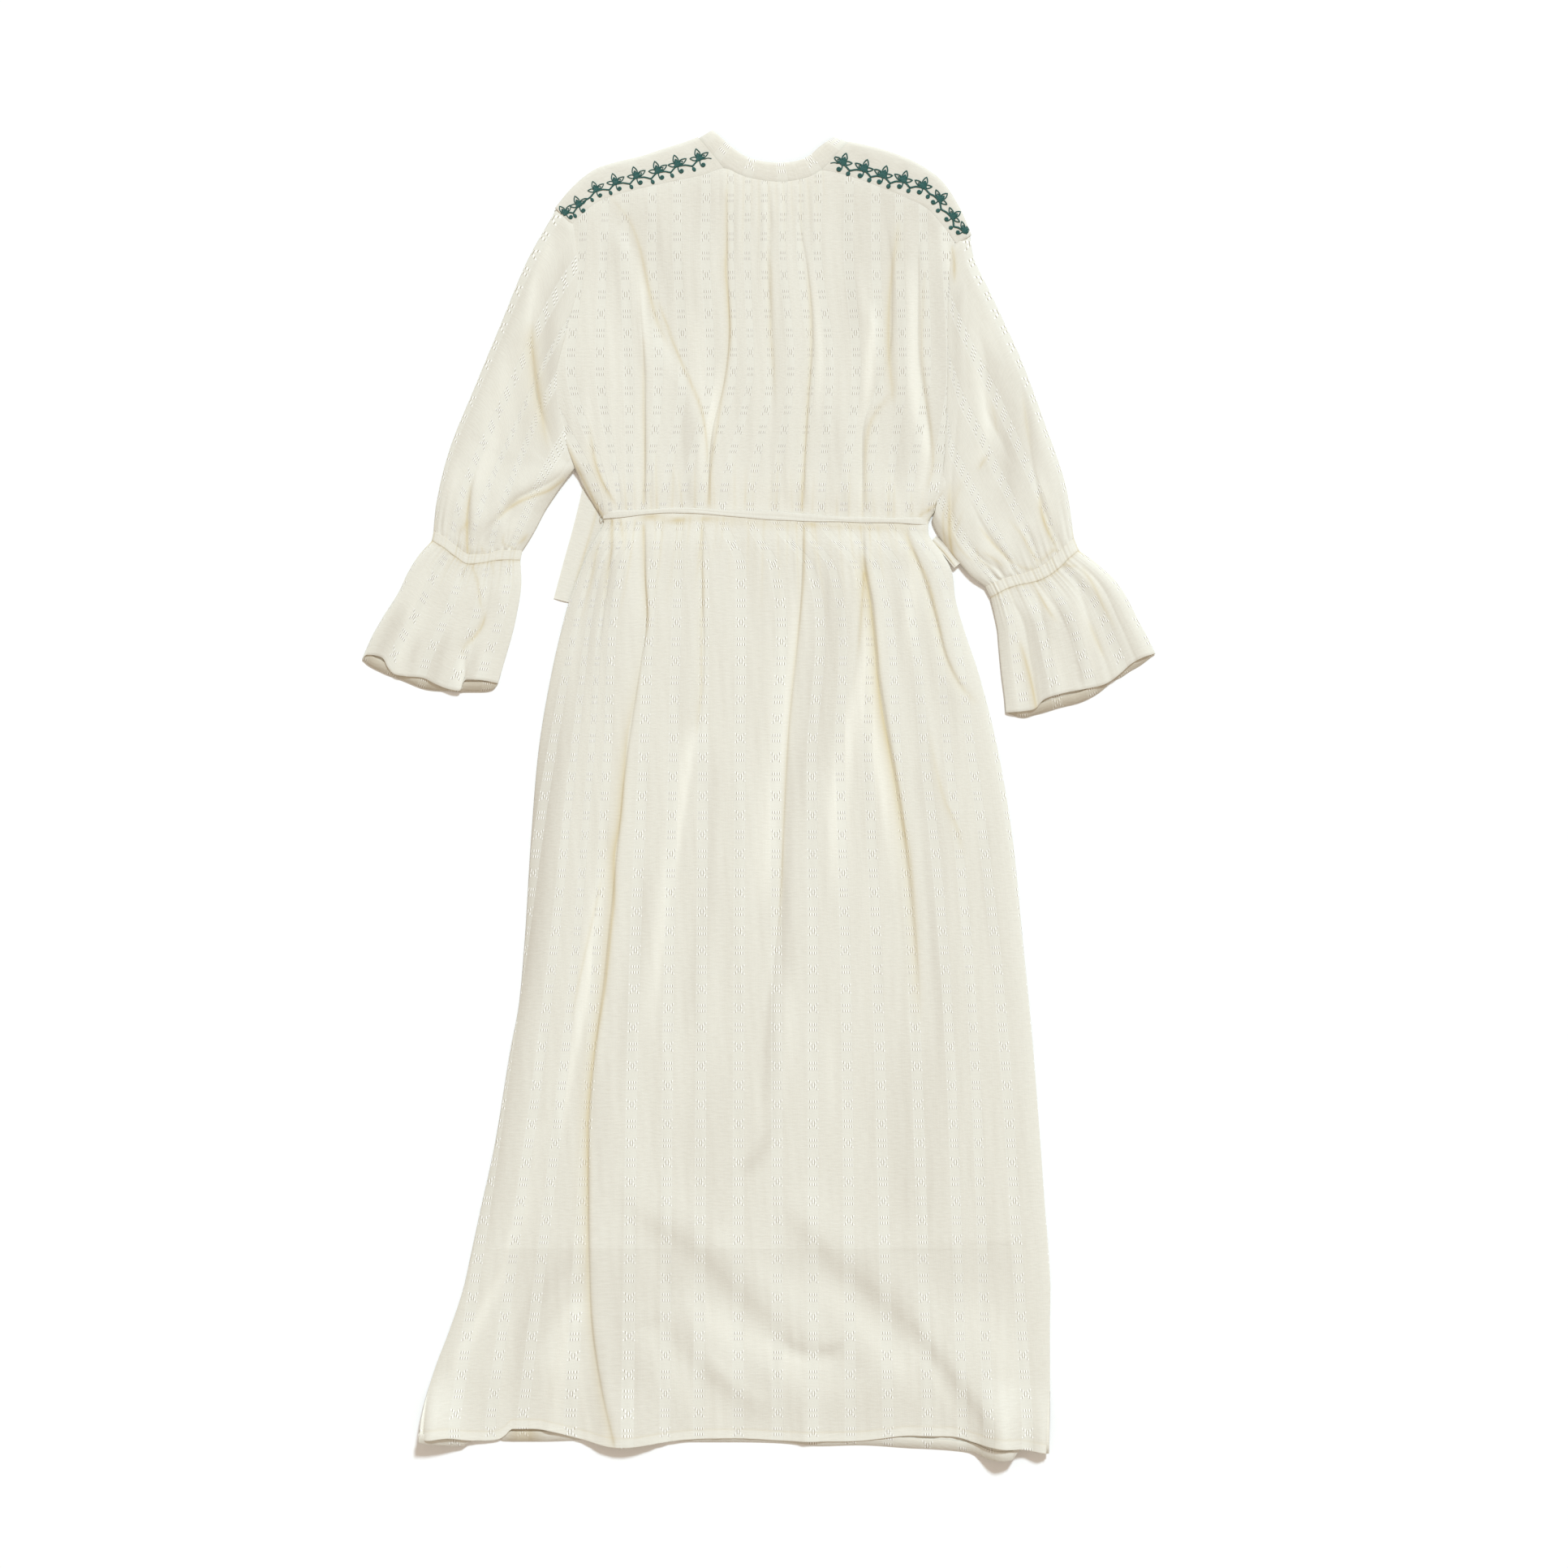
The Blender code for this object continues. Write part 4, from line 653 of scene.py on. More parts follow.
        (0.25, 6, 8, (40, 625, 0), (38, 680, 1), (35, 750, 1), (30, 816, 0)),
        (0.2, 12, 12, (108, 580, 0), (112, 650, 0.9), (114, 740, 1), (112, 830, 0.6),
         (110, 871, 0)),
        (0.3, 5, 6, (144, 515, 0), (148, 560, 1), (152, 600, 1), (157, 641, 0)),
        (0.22, 34, 34, (-150, 120, 0), (-150, 170, 0.8), (-146, 240, 1), (-142, 310, 1),
         (-138, 361, 0.6)),
        (0.2, 6, 7, (3, 65, 0), (4, 130, 1), (4, 220, 1), (4, 300, 0.8), (4, 336, 0)),
        (0.3, 4, 5, (104, 140, 0), (105, 180, 1), (106, 230, 0.8), (106, 261, 0)),
        (0.35, 10, 8, (-175, 93, 0), (-178, 141, 0.9), (-184, 189, 0.7), (-188, 237, 0)),
        (0.5, 5, 5, (52, 109, 0), (57, 173, 0.9), (60, 229, 1), (59, 285, 0)),
        (0.5, 5, 6, (-172, 245, 0), (-170, 285, 0.7), (-162, 325, 1), (-151, 355, 0.8),
         (-140, 374, 0)),
        (0.35, 8, 8, (-132, 381, 0.5), (-125, 429, 0.5), (-119, 509, 0)),
        (0.5, 14, 10, (-68, 165, 0), (-60, 197, 0.8), (-55, 237, 0.9), (-51, 273, 0.6),
         (-49, 301, 0)),
        (1, 4, 3, (180, 89, 0), (184, 109, 1), (188, 129, 1), (192, 149, 0)),
        (-0.95, 14, 18, (-188, 509, 0), (-200, 573, 0.5), (-210, 637, 0.9), (-218, 693, 1),
         (-223, 749, 1), (-229, 805, 0.9), (-236, 861, 0.6), (-250, 941, 0.5), (-264, 1021, 0.6),
         (-274, 1069, 0.4), (-288, 1125, 0)),
        (-0.4, 8, 8, (-154, 397, 0), (-159, 445, 0.9), (-167, 501, 0.8), (-178, 573, 0.6),
         (-184, 637, 0)),
        (-0.35, 5, 5, (-140, 397, 0), (-143, 461, 0.9), (-146, 533, 0.8), (-149, 605, 0)),
        (-0.4, 9, 10, (-40, 589, 0), (-44, 653, 0.8), (-48, 733, 0.9), (-58, 813, 0.8),
         (-68, 893, 0)),
        (-0.7, 4, 13, (30, 589, 0), (30, 653, 0.4), (28, 717, 0.8), (25, 765, 1), (20, 813, 0.9),
         (11, 869, 0.8), (8, 933, 0.7), (11, 989, 0)),
        (-0.33, 12, 14, (62, 397, 0.5), (65, 453, 0.8), (62, 509, 1), (54, 573, 0.9),
         (44, 637, 0.8), (40, 701, 0)),
        (-0.38, 4, 16, (136, 429, 0), (142, 509, 0.6), (152, 589, 0.8), (163, 669, 0.8),
         (168, 749, 1), (174, 829, 1), (180, 925, 0.6), (185, 1005, 0)),
        (-0.5, 6, 6, (224, 669, 0), (224, 709, 0.9), (228, 765, 0.8), (235, 837, 0)),
        (-0.45, 7, 9, (-111, 709, 0), (-117, 765, 0.8), (-124, 829, 0.9), (-130, 901, 0.6),
         (-133, 973, 0)),
        (-0.3, 30, 30, (156, 869, 0), (148, 949, 0.9), (156, 1029, 0.9), (164, 1093, 0)),
        (-0.3, 26, 26, (-44, 909, 0), (-52, 989, 0.7), (-44, 1045, 0.4), (-36, 1101, 0)),
        (-0.45, 8, 8, (22, 957, 0), (12, 985, 0.8), (-4, 1013, 1), (-32, 1029, 0)),
        (-0.35, 8, 10, (-154, 893, 0), (-159, 957, 0.8), (-157, 1021, 0.6), (-154, 1085, 0)),
        (-0.35, 6, 7, (-145, 77, 0), (-141, 133, 0.9), (-135, 189, 0.9), (-127, 237, 0.8),
         (-119, 285, 0)),
        (-0.4, 7, 8, (-85, 221, 0), (-73, 261, 0.8), (-68, 301, 0.9), (-64, 365, 0.8)),
        (-0.45, 12, 6, (174, 109, 0), (179, 157, 0.7), (182, 221, 0.9), (184, 285, 0.9),
         (180, 333, 0.8), (174, 357, 0)),
        (-0.2, 10, 8, (140, 261, 0), (139, 301, 1), (139, 349, 0.8), (140, 373, 0)),
        (-0.15, 7, 7, (80, 269, 0), (81, 309, 1), (84, 365, 0.6)),
        (-0.35, 5, 6, (-178, 221, 0), (-175, 269, 0.8), (-172, 301, 0.8), (-164, 333, 0)),
        (-0.3, 8, 8, (-108, 61, 0), (-101, 101, 0.8), (-93, 141, 0.6), (-87, 181, 0)),
        (-0.42, 14, 20, (-108, 1061, 0), (-90, 1078, 0.6), (-68, 1094, 0.9), (-40, 1114, 1),
         (-16, 1141, 0.8), (4, 1166, 0.3), (27, 1187, 0)),
        (-0.6, 4, 5, (8, 1174, 0), (22, 1186, 0.6), (40, 1197, 0.8), (67, 1199, 0.8),
         (88, 1190, 0.3), (97, 1181, 0)),
        (0.5, 6, 5, (0, 1181, 0), (17, 1200, 0.7), (40, 1210, 0.9), (68, 1213, 0.6), (94, 1203, 0)),
        (-0.42, 14, 18, (60, 1085, 0), (80, 1109, 0.5), (102, 1129, 0.9), (126, 1149, 1),
         (145, 1173, 0.7), (156, 1189, 0)),
        (-0.55, 6, 7, (155, 1181, 0), (169, 1197, 0.5), (188, 1221, 0.7), (204, 1242, 0.9),
         (217, 1261, 1), (230, 1283, 0.8)),
        (0.5, 6, 6, (140, 1187, 0), (163, 1213, 0.8), (185, 1246, 0.8), (200, 1274, 0.5)),
        (-0.25, 10, 13, (32, 1077, 0), (48, 1093, 0.8), (68, 1113, 0.8), (86, 1137, 0)),
        (-0.36, 12, 14, (-98, 1105, 0), (-90, 1133, 0.7), (-82, 1158, 0.9), (-68, 1185, 1),
         (-50, 1214, 0.9), (-31, 1235, 0.8), (-8, 1254, 0.4), (40, 1269, 0)),
        (0.4, 8, 6, (-60, 1181, 0), (-40, 1210, 0.8), (-16, 1234, 0.7), (14, 1251, 0)),
        (-0.25, 5, 6, (-146, 1171, 0), (-124, 1174, 0.9), (-98, 1171, 0.8), (-87, 1174, 0)),
        (-0.45, 13, 12, (-178, 1105, 0.8), (-197, 1125, 0.8), (-218, 1149, 0.9), (-232, 1181, 1),
         (-239, 1217, 0.5), (-240, 1245, 0)),
        (-0.3, 6, 6, (148, 389, 0.5), (160, 421, 0.9), (171, 453, 0.8), (180, 493, 0))],
    # where the woven stripes run: the x of each at some distances down
    "stripeDowns": (60, 109, 229, 377, 429, 620, 829, 1269),
    "stripes": [
        (-196, -196, -210, -154, -175, -236, -268, -336),
        (-172, -173, -185, -146, -165, -205, -236, -299),
        (-150, -152, -156, -137, -156, -182, -204, -264),
        (-131, -132, -128, -127, -146, -165, -182, -233),
        (-104, -105, -98, -116, -136, -150, -161, -186),
        (-80, -80, -74, -96, -103, -113, -122, -128),
        (-51, -52, -47, -77, -79, -84, -88, -92),
        (-27, -27, -24, -58, -54, -55, -56, -59),
        (-10, -11, -8, -36, -17, -18, -19, -20),
        (6, 5, 12, -8, 16, 17, 18, 19),
        (25, 24, 32, 16, 52, 53, 54, 54),
        (42, 41, 52, 40, 72, 80, 86, 91),
        (58, 57, 70, 62, 97, 108, 117, 128),
        (90, 89, 97, 84, 116, 137, 152, 167),
        (116, 116, 120, 107, 138, 165, 185, 202),
        (139, 139, 142, 128, 160, 188, 208, 226),
        (162, 163, 166, 148, 177, 211, 236, 265),
        (186, 185, 190, 171, 195, 238, 268, 302)],
}
shoulders = {
    # fold x, fold down, seam x, seam down, from the collar outwards
    "left": [(-60, 3.5, -34, 35), (-72, 8, -53, 41), (-92, 14.3, -76, 46), (-116, 22.2, -108, 53),
             (-140, 28, -136, 60), (-160, 34.5, -160, 69), (-174, 44, -173, 79),
             (-188, 57.5, -179, 84.5), (-200.5, 73, -184.5, 90.5)],
    "right": [(89.2, 7.8, 62, 37), (112, 12.7, 80, 40), (132, 18.6, 100, 46), (152, 26.7, 124, 55),
              (168, 36, 148, 65), (180, 45.5, 168, 76), (198, 72, 180, 89), (210, 99.5, 196, 110)],
    # the seam under the collar, x and down
    "middle": [(-16, 42), (0, 46), (20, 48), (40, 46), (55, 41)],
}


# a pleat along one of the long folds, with its strength at some distances down
def longFold(number, strengths, *sizes):
    places = readTable(body["longFolds"][number], [down for down, _ in strengths], 0, 1)
    path = [(x, down, strength) for x, (down, strength) in zip(places, strengths)]
    return ("pleat", path, *sizes)


backFolds = [
    longFold(0, [(130, 0), (190, 0.3), (214, 0.6), (250, 0.9), (320, 1), (384, 1), (434, 1),
                 (477, 1.1), (515, 1), (574, 0.9), (630, 0.85), (680, 0.8), (750, 0.8), (854, 0.8),
                 (890, 0.8), (964, 0.9), (1046, 1), (1116, 1), (1178, 0.8), (1239, 0.7),
                 (1310, 0.6)], 2.4, 17, 3.0, 11),
    longFold(1, [(70, 0.3), (134, 0.8), (192, 0.9), (244, 1), (296, 1.2), (366, 1.1), (386, 1),
                 (446, 1), (505, 0.8), (582, 0.35), (640, 0)], 2.0, 13, 2.5, 10),
    longFold(2, [(80, 0.2), (134, 0.6), (198, 0.8), (250, 0.9), (308, 0.9), (380, 1), (452, 0.9),
                 (515, 0.8), (582, 0.8), (652, 0.8), (714, 0.7), (767, 0.6), (825, 0.5),
                 (900, 0.35), (1000, 0)], 2.0, 14, 2.4, 11),
    longFold(3, [(80, 0), (140, 0.4), (190, 0.6), (240, 0.8), (280, 0.9), (320, 1), (384, 1.1),
                 (428, 1.3), (459, 1.6), (533, 1.7), (602, 1.5), (662, 1.2), (714, 0.9),
                 (785, 0.5), (880, 0)], 2.6, 15, 2.9, 11),
    # left of the middle
    ("ridge", [(-112, 150, 0), (-115, 180, 1), (-114, 214, 0.7), (-112, 240, 0)], 2, 5, 2, 5),
    ("ridge", [(-150, 60, 0), (-140, 86, 0.6), (-124, 105, 1), (-109, 146, 1), (-98, 186, 1),
               (-76, 229, 0.9), (-57, 267, 0.4), (-48, 300, 0)], -1.9, 9, -1.9, 22),
    ("ridge", [(-56, 582, 0), (-62, 610, 0.7), (-78, 662, 1), (-92, 720, 0.8), (-104, 780, 0.4),
               (-112, 850, 0)], 2.4, 14, 2.4, 8),
    ("crease", [(-144, 384, 0.8), (-147, 430, 1), (-154, 477, 0.8), (-164, 550, 0.3),
                (-172, 620, 0)], 1.4, 8, 2.2, 6),
    ("crease", [(-134, 386, 0.6), (-131, 400, 0.5), (-129, 430, 0)], 1.2, 6, 1.2, 5),
    ("ridge", [(-170, 420, 0.2), (-178, 470, 1), (-190, 560, 0.8), (-200, 660, 0)], 1.2, 7, 1.2, 5),
    # the middle
    ("crease", [(11, 60, 0.2), (11, 85, 1), (10, 134, 1), (13, 209, 0.6), (14, 300, 0.15),
                (14, 350, 0)], 1.3, 6, 1.6, 5),
    ("ridge", [(-10, 60, 0.3), (-12, 150, 1), (-14, 260, 0.5), (-14, 330, 0)], 0.9, 7, 0.9, 7),
    ("ridge", [(26, 70, 0.4), (30, 160, 1), (30, 260, 0.6), (28, 340, 0)], 1, 8, 1, 6),
    # right of the middle
    ("ridge", [(100, 130, 0), (104, 168, 0.7), (113, 200, 1), (112, 235, 0.9),
               (100, 275, 0)], 1.7, 9, 1.7, 7),
    ("crease", [(131, 130, 0), (129, 160, 0.7), (129, 200, 0.8), (132, 250, 0.6),
                (136, 330, 0)], 1.4, 8, 1.4, 7),
    ("crease", [(165, 70, 0.3), (157, 128, 0.9), (157, 209, 1), (166, 278, 1), (169, 308, 0.8),
                (163, 345, 0)], 2, 9, 2.6, 7),
    ("crease", [(182, 335, 0), (178, 354, 1), (171, 366, 1), (163, 375, 0.4)], 1.6, 6, 2.2, 3.5),
    ("pleat", [(144, 384, 0.6), (150, 404, 1), (157, 424, 1), (163, 441, 1), (177, 487, 1),
               (184, 515, 0.8), (198, 543, 0.5), (219, 561, 0)], 2.6, 10, 3, 8),
    ("ridge", [(140, 430, 0), (146, 473, 0.8), (160, 546, 1), (170, 610, 0.8), (180, 673, 0.4),
               (188, 740, 0)], 1.6, 10, 1.6, 6),
    ("crease", [(104, 428, 0.4), (100, 452, 1), (93, 533, 1), (77, 592, 0.7),
                (68, 630, 0)], 1.8, 8, 1.2, 9),
    # towards the hem
    ("ridge", [(-212, 976, 0), (-220, 1005, 0.7), (-241, 1083, 1), (-270, 1136, 1),
               (-286, 1169, 0.6), (-307, 1234, 0)], 2.6, 16, 2.6, 8),
    ("ridge", [(-176, 1150, 0), (-182, 1177, 1), (-196, 1230, 1),
               (-208, 1290, 1)], 2.6, 8, 2.6, 12),
    ("ridge", [(-144, 1020, 0), (-106, 1064, 0.8), (-61, 1090, 1), (-20, 1131, 1), (28, 1168, 1),
               (52, 1184, 0.9), (84, 1190, 0)], 1.9, 14, 1.9, 28),
    ("ridge", [(-98, 1142, 0), (-79, 1174, 0.8), (-54, 1206, 1), (-14, 1240, 0.6),
               (24, 1262, 0)], 1.5, 12, 1.5, 22),
    ("ridge", [(26, 1044, 0), (44, 1066, 0.7), (106, 1124, 1), (151, 1164, 1), (177, 1190, 1),
               (201, 1224, 0.9), (220, 1262, 0.7), (228, 1300, 0.6)], 2.1, 14, 2.1, 28),
    ("ridge", [(-160, 1086, 0), (-176, 1118, 0.7), (-204, 1155, 1), (-233, 1204, 0.6),
               (-254, 1246, 0)], 2.2, 18, 2.2, 9),
]
gathers = {
    # x, length, drift to the right over that length, high, wide
    "collar": [(-34, 70, -3, 1.0, 3.0), (-26, 45, -2, 0.7, 2.6), (-18, 95, -3, 1.1, 3.2),
               (-10, 52, -1, 0.8, 2.8), (-3, 80, -1, 1.0, 3.0), (6, 110, 0, 1.1, 3.4),
               (14, 48, 1, 0.7, 2.6), (21, 88, 2, 1.0, 3.0), (29, 60, 2, 0.9, 2.8),
               (37, 104, 4, 1.1, 3.2), (45, 50, 3, 0.8, 2.8), (52, 76, 5, 0.9, 3.0),
               (60, 42, 4, 0.7, 2.6)],
    "aboveBelt": {"from": -142, "to": 162, "count": 26, "long": (16, 70), "high": (0.4, 1.3),
                  "wide": (1.6, 3.4), "drift": 6, "seed": 4},
    "belowBelt": {"from": -142, "to": 162, "count": 30, "long": (20, 120), "high": (0.3, 1.1),
                  "wide": (1.6, 3.6), "drift": 10, "seed": 9},
    "fromTie": 5.0, "flare": 0.0011, "middle": 10.0,   # the skirt's flare turns them outwards
    # a line of painted golden shade in the valley beside each: how far in its widths, how strong,
    # how sharp
    "lineAt": 1.2, "lineShade": {"waist": 0.4, "collar": 0.2}, "lineWide": 1.1,
    "waistBelow": 200.0,
}


def sideLine(side, down):
    return readTable(body["sections"], down, 1 if side == "left" else 2)


def backTop(x):
    seam = pairs(shoulders["left"], 2)[::-1] + shoulders["middle"] + pairs(shoulders["right"], 2)
    return readTable(seam, x)


def hemLine(x, column=1):
    return readTable(body["hem"], x, column)


def waistLine(x):
    return readTable(body["waist"], x)


def hemLift(x, key):
    return sum(high * np.exp(-((x - at) / wide) ** 2) for at, high, wide in body[key])


def smallGathers():
    folds = []

    def add(x, start, long, drift, high, wide, halfway):
        path = [(x, start, 1), (x + drift * 0.4, start + long * 0.5, halfway),
                (x + drift, start + long, 0)]
        folds.append(("ridge", path, high, wide, high, wide))

    for x, long, drift, high, wide in gathers["collar"]:
        add(x, float(backTop(x)), long, drift, high, wide, 0.8)
    for key, way in (("aboveBelt", -1), ("belowBelt", 1)):
        s = gathers[key]
        dice = np.random.default_rng(s["seed"])
        step = (s["to"] - s["from"]) / s["count"]
        for i in range(s["count"]):
            x = s["from"] + step * (i + dice.uniform(0.1, 0.9))
            long, high = dice.uniform(*s["long"]), dice.uniform(*s["high"])
            wide, drift = dice.uniform(*s["wide"]), dice.normal(0, s["drift"] * 0.4)
            if way > 0:
                drift += (x - gathers["middle"]) * gathers["flare"] * long
            start = float(waistLine(x)) + gathers["fromTie"] * way
            add(x, start, way * long, drift, high, wide, 0.6)
    return folds


backFolds += smallGathers()


# lines of painted shade in the valleys beside the small gathers
def gatherLines():
    lines = []
    wide = gathers["lineWide"]
    for _, path, high, reach, *_ in smallGathers():
        paintedShade = gathers["lineShade"]["waist" if path[0][1] > gathers["waistBelow"] else "collar"]
        moved = [(x + reach * gathers["lineAt"], down, strength * paintedShade * high)
                 for x, down, strength in path]
        lines.append(("line", moved, 1, wide, 1, wide))
    return lines


def backHeight(x, down):
    inside = {"left": x - sideLine("left", down), "right": sideLine("right", down) - x}
    held, atArmhole = [], 0.0
    for side, far in inside.items():
        armhole = body["underarm"][side] - down
        hold = ease((armhole + body["holdBelow"][side]) / body["sleeveHold"])
        held.append(far + body["sleeveHold"] * hold)
        near = np.exp(-(far / body["armholeHalf"]) ** 2)
        atArmhole = atArmhole + near * ease(armhole / body["armholeEnd"])
    fromSide = 1 - np.exp(-np.maximum(np.minimum(*held), 0) / body["sideRoll"])
    fromSeam = 1 - np.exp(-np.maximum(np.minimum(*inside.values()), 0) / body["foldsFromSide"])
    fromTie = np.maximum(np.abs(down - waistLine(x)) - 2, 0)
    offWaist = 1 - np.exp(-(fromTie / body["press"]) ** 2)
    fromTop = np.maximum(down - backTop(x), 0)
    offTop = 1 - np.exp(-fromTop / body["topPress"])
    nearHem = ease(1 - (hemLine(x) - down) / body["hemReach"])
    hem = hemLift(x, "hemLifts") - body["hemPress"]
    hem = hem - body["hemShare"] * (body["rise"] + foldHeight(x, down, backFolds[:4]))
    rise = body["waistRise"] + (body["rise"] - body["waistRise"]) * offWaist
    least = body["foldsUnderTie"]
    main = foldHeight(x, down, backFolds) * (least + (1 - least) * offWaist) * offTop
    for seed, size, stretch, high in body["soft"]:
        main = main + high * unevenness(x, down, seed, size, stretch) * offWaist * offTop
    main = main * (body["foldsAtSide"] + (1 - body["foldsAtSide"]) * fromSeam)
    dip, reach = body["topDip"]
    atTop = dip * np.exp(-fromTop / reach)
    return (body["sideTop"] - atTop + (rise + main) * fromSide
            - body["armholeDip"] * atArmhole + hem * nearHem * (0.4 + 0.6 * fromSide))


# cloth coordinate across the back: the stripes keep their width, the ground between is gathered
def stripeCoordinate(x, down):
    lines = np.stack([smoothRead(body["stripeDowns"], row, np.clip(down, 60, 1269))
                      for row in body["stripes"]], -1)
    index = np.clip((lines <= x[..., None]).sum(-1) - 1, 0, lines.shape[-1] - 2)
    low = np.take_along_axis(lines, index[..., None], -1)[..., 0]
    high = np.take_along_axis(lines, index[..., None] + 1, -1)[..., 0]
    t = (x - low) / (high - low)
    slope = np.clip((high - low) / cloth["pitch"], 0.15, 1.3)   # of the cloth on a stripe
    t, beyond = np.clip(t, 0, 1), t - np.clip(t, 0, 1)
    share = slope * (2 * t ** 3 - 3 * t ** 2 + t) + t ** 2 * (3 - 2 * t)
    return cloth["pitch"] * (index + share) + beyond * (high - low)


# columns lie closer together beside the long folds
def backColumns(down):
    lines = [readTable(line, down, 0, 1) for line in body["longFolds"]]
    guides = [sideLine("left", down)] + lines + [sideLine("right", down)]
    columns = [guides[0][..., None]]
    last = len(body["columns"]) - 1
    for number, count in enumerate(body["columns"]):
        steps = np.arange(1, count + 1) / count
        if number in (0, last):   # from a side to a fold, or the other way
            steps = steps + body["denseAtSide"] * np.sin(math.pi * steps)
        else:
            steps = steps - body["denseBetween"] * np.sin(2 * math.pi * steps)
        wide = guides[number + 1] - guides[number]
        columns.append(guides[number][..., None] + wide[..., None] * steps)
    return np.concatenate(columns, -1)


# rows across a panel: they follow its top seam, the tie and its hem, and are bent to them in a few
# rounds, because the columns shift as the rows move
def bodyGrid(rows, hemColumn):
    count = sum(body["columns"]) + 1
    index = np.arange(count)
    down = np.repeat(rows[:, None], count, axis=1).astype(float)
    nominal = down.copy()
    for _ in range(body["rounds"]):
        x = backColumns(down)[np.arange(len(rows))[:, None], index, index]
        top = backTop(x)
        hem = hemLine(x, hemColumn)
        bent = top + (body["topBend"] - top) * nominal / body["topBend"]
        share = (nominal - body["hemBend"]) / (body["hemRow"] - body["hemBend"])
        atHem = body["hemBend"] + (hem - body["hemBend"]) * share
        toWaist = np.exp(-((nominal - body["waistRow"]) / body["waistReach"]) ** 2)
        middle = nominal + (waistLine(x) - body["waistRow"]) * toWaist
        down = np.where(nominal < body["topBend"], bent,
                        np.where(nominal > body["hemBend"], atHem, middle))
    return x, down


# the last row of a sheet goes on around its edge
def turnUnder(grid, uv, turns):
    lip = [grid[-1] + (0, out, up) for out, up, _ in turns]
    used = [uv[-1] - (0, length) for *_, length in turns]
    return np.concatenate([grid, lip]), np.concatenate([uv, used])


def makeBack():
    rows = np.arange(0, body["hemRow"] + 0.1, body["rowStep"])
    fine = np.arange(body["rowsAtHem"], -1, -1)
    rows = rows[rows < body["hemRow"] - body["rowsAtHem"] - 2]
    x, down = bodyGrid(np.concatenate([rows, body["hemRow"] - fine]), 1)
    grid = np.stack([x, down, backHeight(x, down)], -1)
    uv = np.stack([stripeCoordinate(x, down), body["hemRow"] - down], -1)
    grid, uv = turnUnder(grid, uv, body["hemTurn"])
    # both sides roll down to the front, less far along the armholes
    fade = body["armholeFade"]
    armhole = np.where(grid[..., 0] < 0, body["underarm"]["left"], body["underarm"]["right"])
    low = body["sideLow"] + body["armholeHigh"] * ease((armhole + fade / 2 - grid[..., 1]) / fade)
    nearHem = ease(1 - (body["hemRow"] - grid[..., 1]) / body["hemReach"])
    low = np.minimum(grid[..., 2], low + hemLift(grid[..., 0], "frontLifts") * nearHem)
    left, right = [], []
    for out, share, _ in body["sideTurn"]:
        for side, edge, sign in ((left, 0, -1), (right, -1, 1)):
            point = grid[:, edge].copy()
            point[:, 0] += sign * out
            point[:, 2] += (low[:, edge] - point[:, 2]) * share
            side.append(point)
    used = np.array([(length, 0) for *_, length in body["sideTurn"]])
    grid = np.concatenate([np.stack(left[::-1], 1), grid, np.stack(right, 1)], axis=1)
    uv = np.concatenate([uv[:, :1] - used[::-1], uv, uv[:, -1:] + used], axis=1)

    # painted shade in the creases, the gathers' valleys and the hem's stitched line, and painted
    # light and shade beside the folds
    tone = clothTone(x, down, body)
    tone[..., 0] = np.clip(tone[..., 0] + foldHeight(x, down, gatherLines()), 0, 1)
    fromHem = hemLine(x) - down
    paintedShade, wide = body["stitch"]
    tone[..., 0] += paintedShade * np.exp(-np.abs(fromHem - body["hemDeep"]) / wide)
    tone[..., 1] += body["hemPale"] * ease((body["hemDeep"] + 1 - fromHem) / 2)
    dull, start, length = body["footDull"]
    tone[..., 1] -= dull * ease((down - start) / length)
    # a band of painted light above the tie
    pale, middle, wide, least = body["paintedLightAboveTie"]
    above = waistLine(x) - down
    tone[..., 1] += pale * np.exp(-((above - middle) / wide) ** 2) * (above > least)
    tone = np.pad(tone, ((0, 0), (len(left), 0), (0, 0)))
    piece = makeCloth("backPanel", grid, uv, faceUp=20, tone=tone)
    finishCloth(piece, skirtGauze, ["back"])
    return piece


backPanel = makeBack()
print("back panel made")


# the front panel below it, flat on the floor, and the slip lining between them

front = {
    "rowStep": 12.0, "fineFrom": 1200.0, "fineStep": 6.0,
    "each": 3,                         # one column for so many of the back's
    "neck": 52.0, "neckMiddle": 14.0, "neckHalf": 44.0, "seamGap": 0.5,
    "low": 0.25, "edge": 0.75, "edgeReach": 1.5, "edgeBelow": 300.0,
    "hemTurn": [(0.4, 0.35, 0.6), (0.2, 0.8, 1.2), (-9.0, 0.85, 10.0)],
    # under the back's lifted hem it lies in shade
    "shadeAt": -231.0, "shadeHalf": 15.0, "shadeDeep": 13.0, "shade": (0.5, -1.0),
}


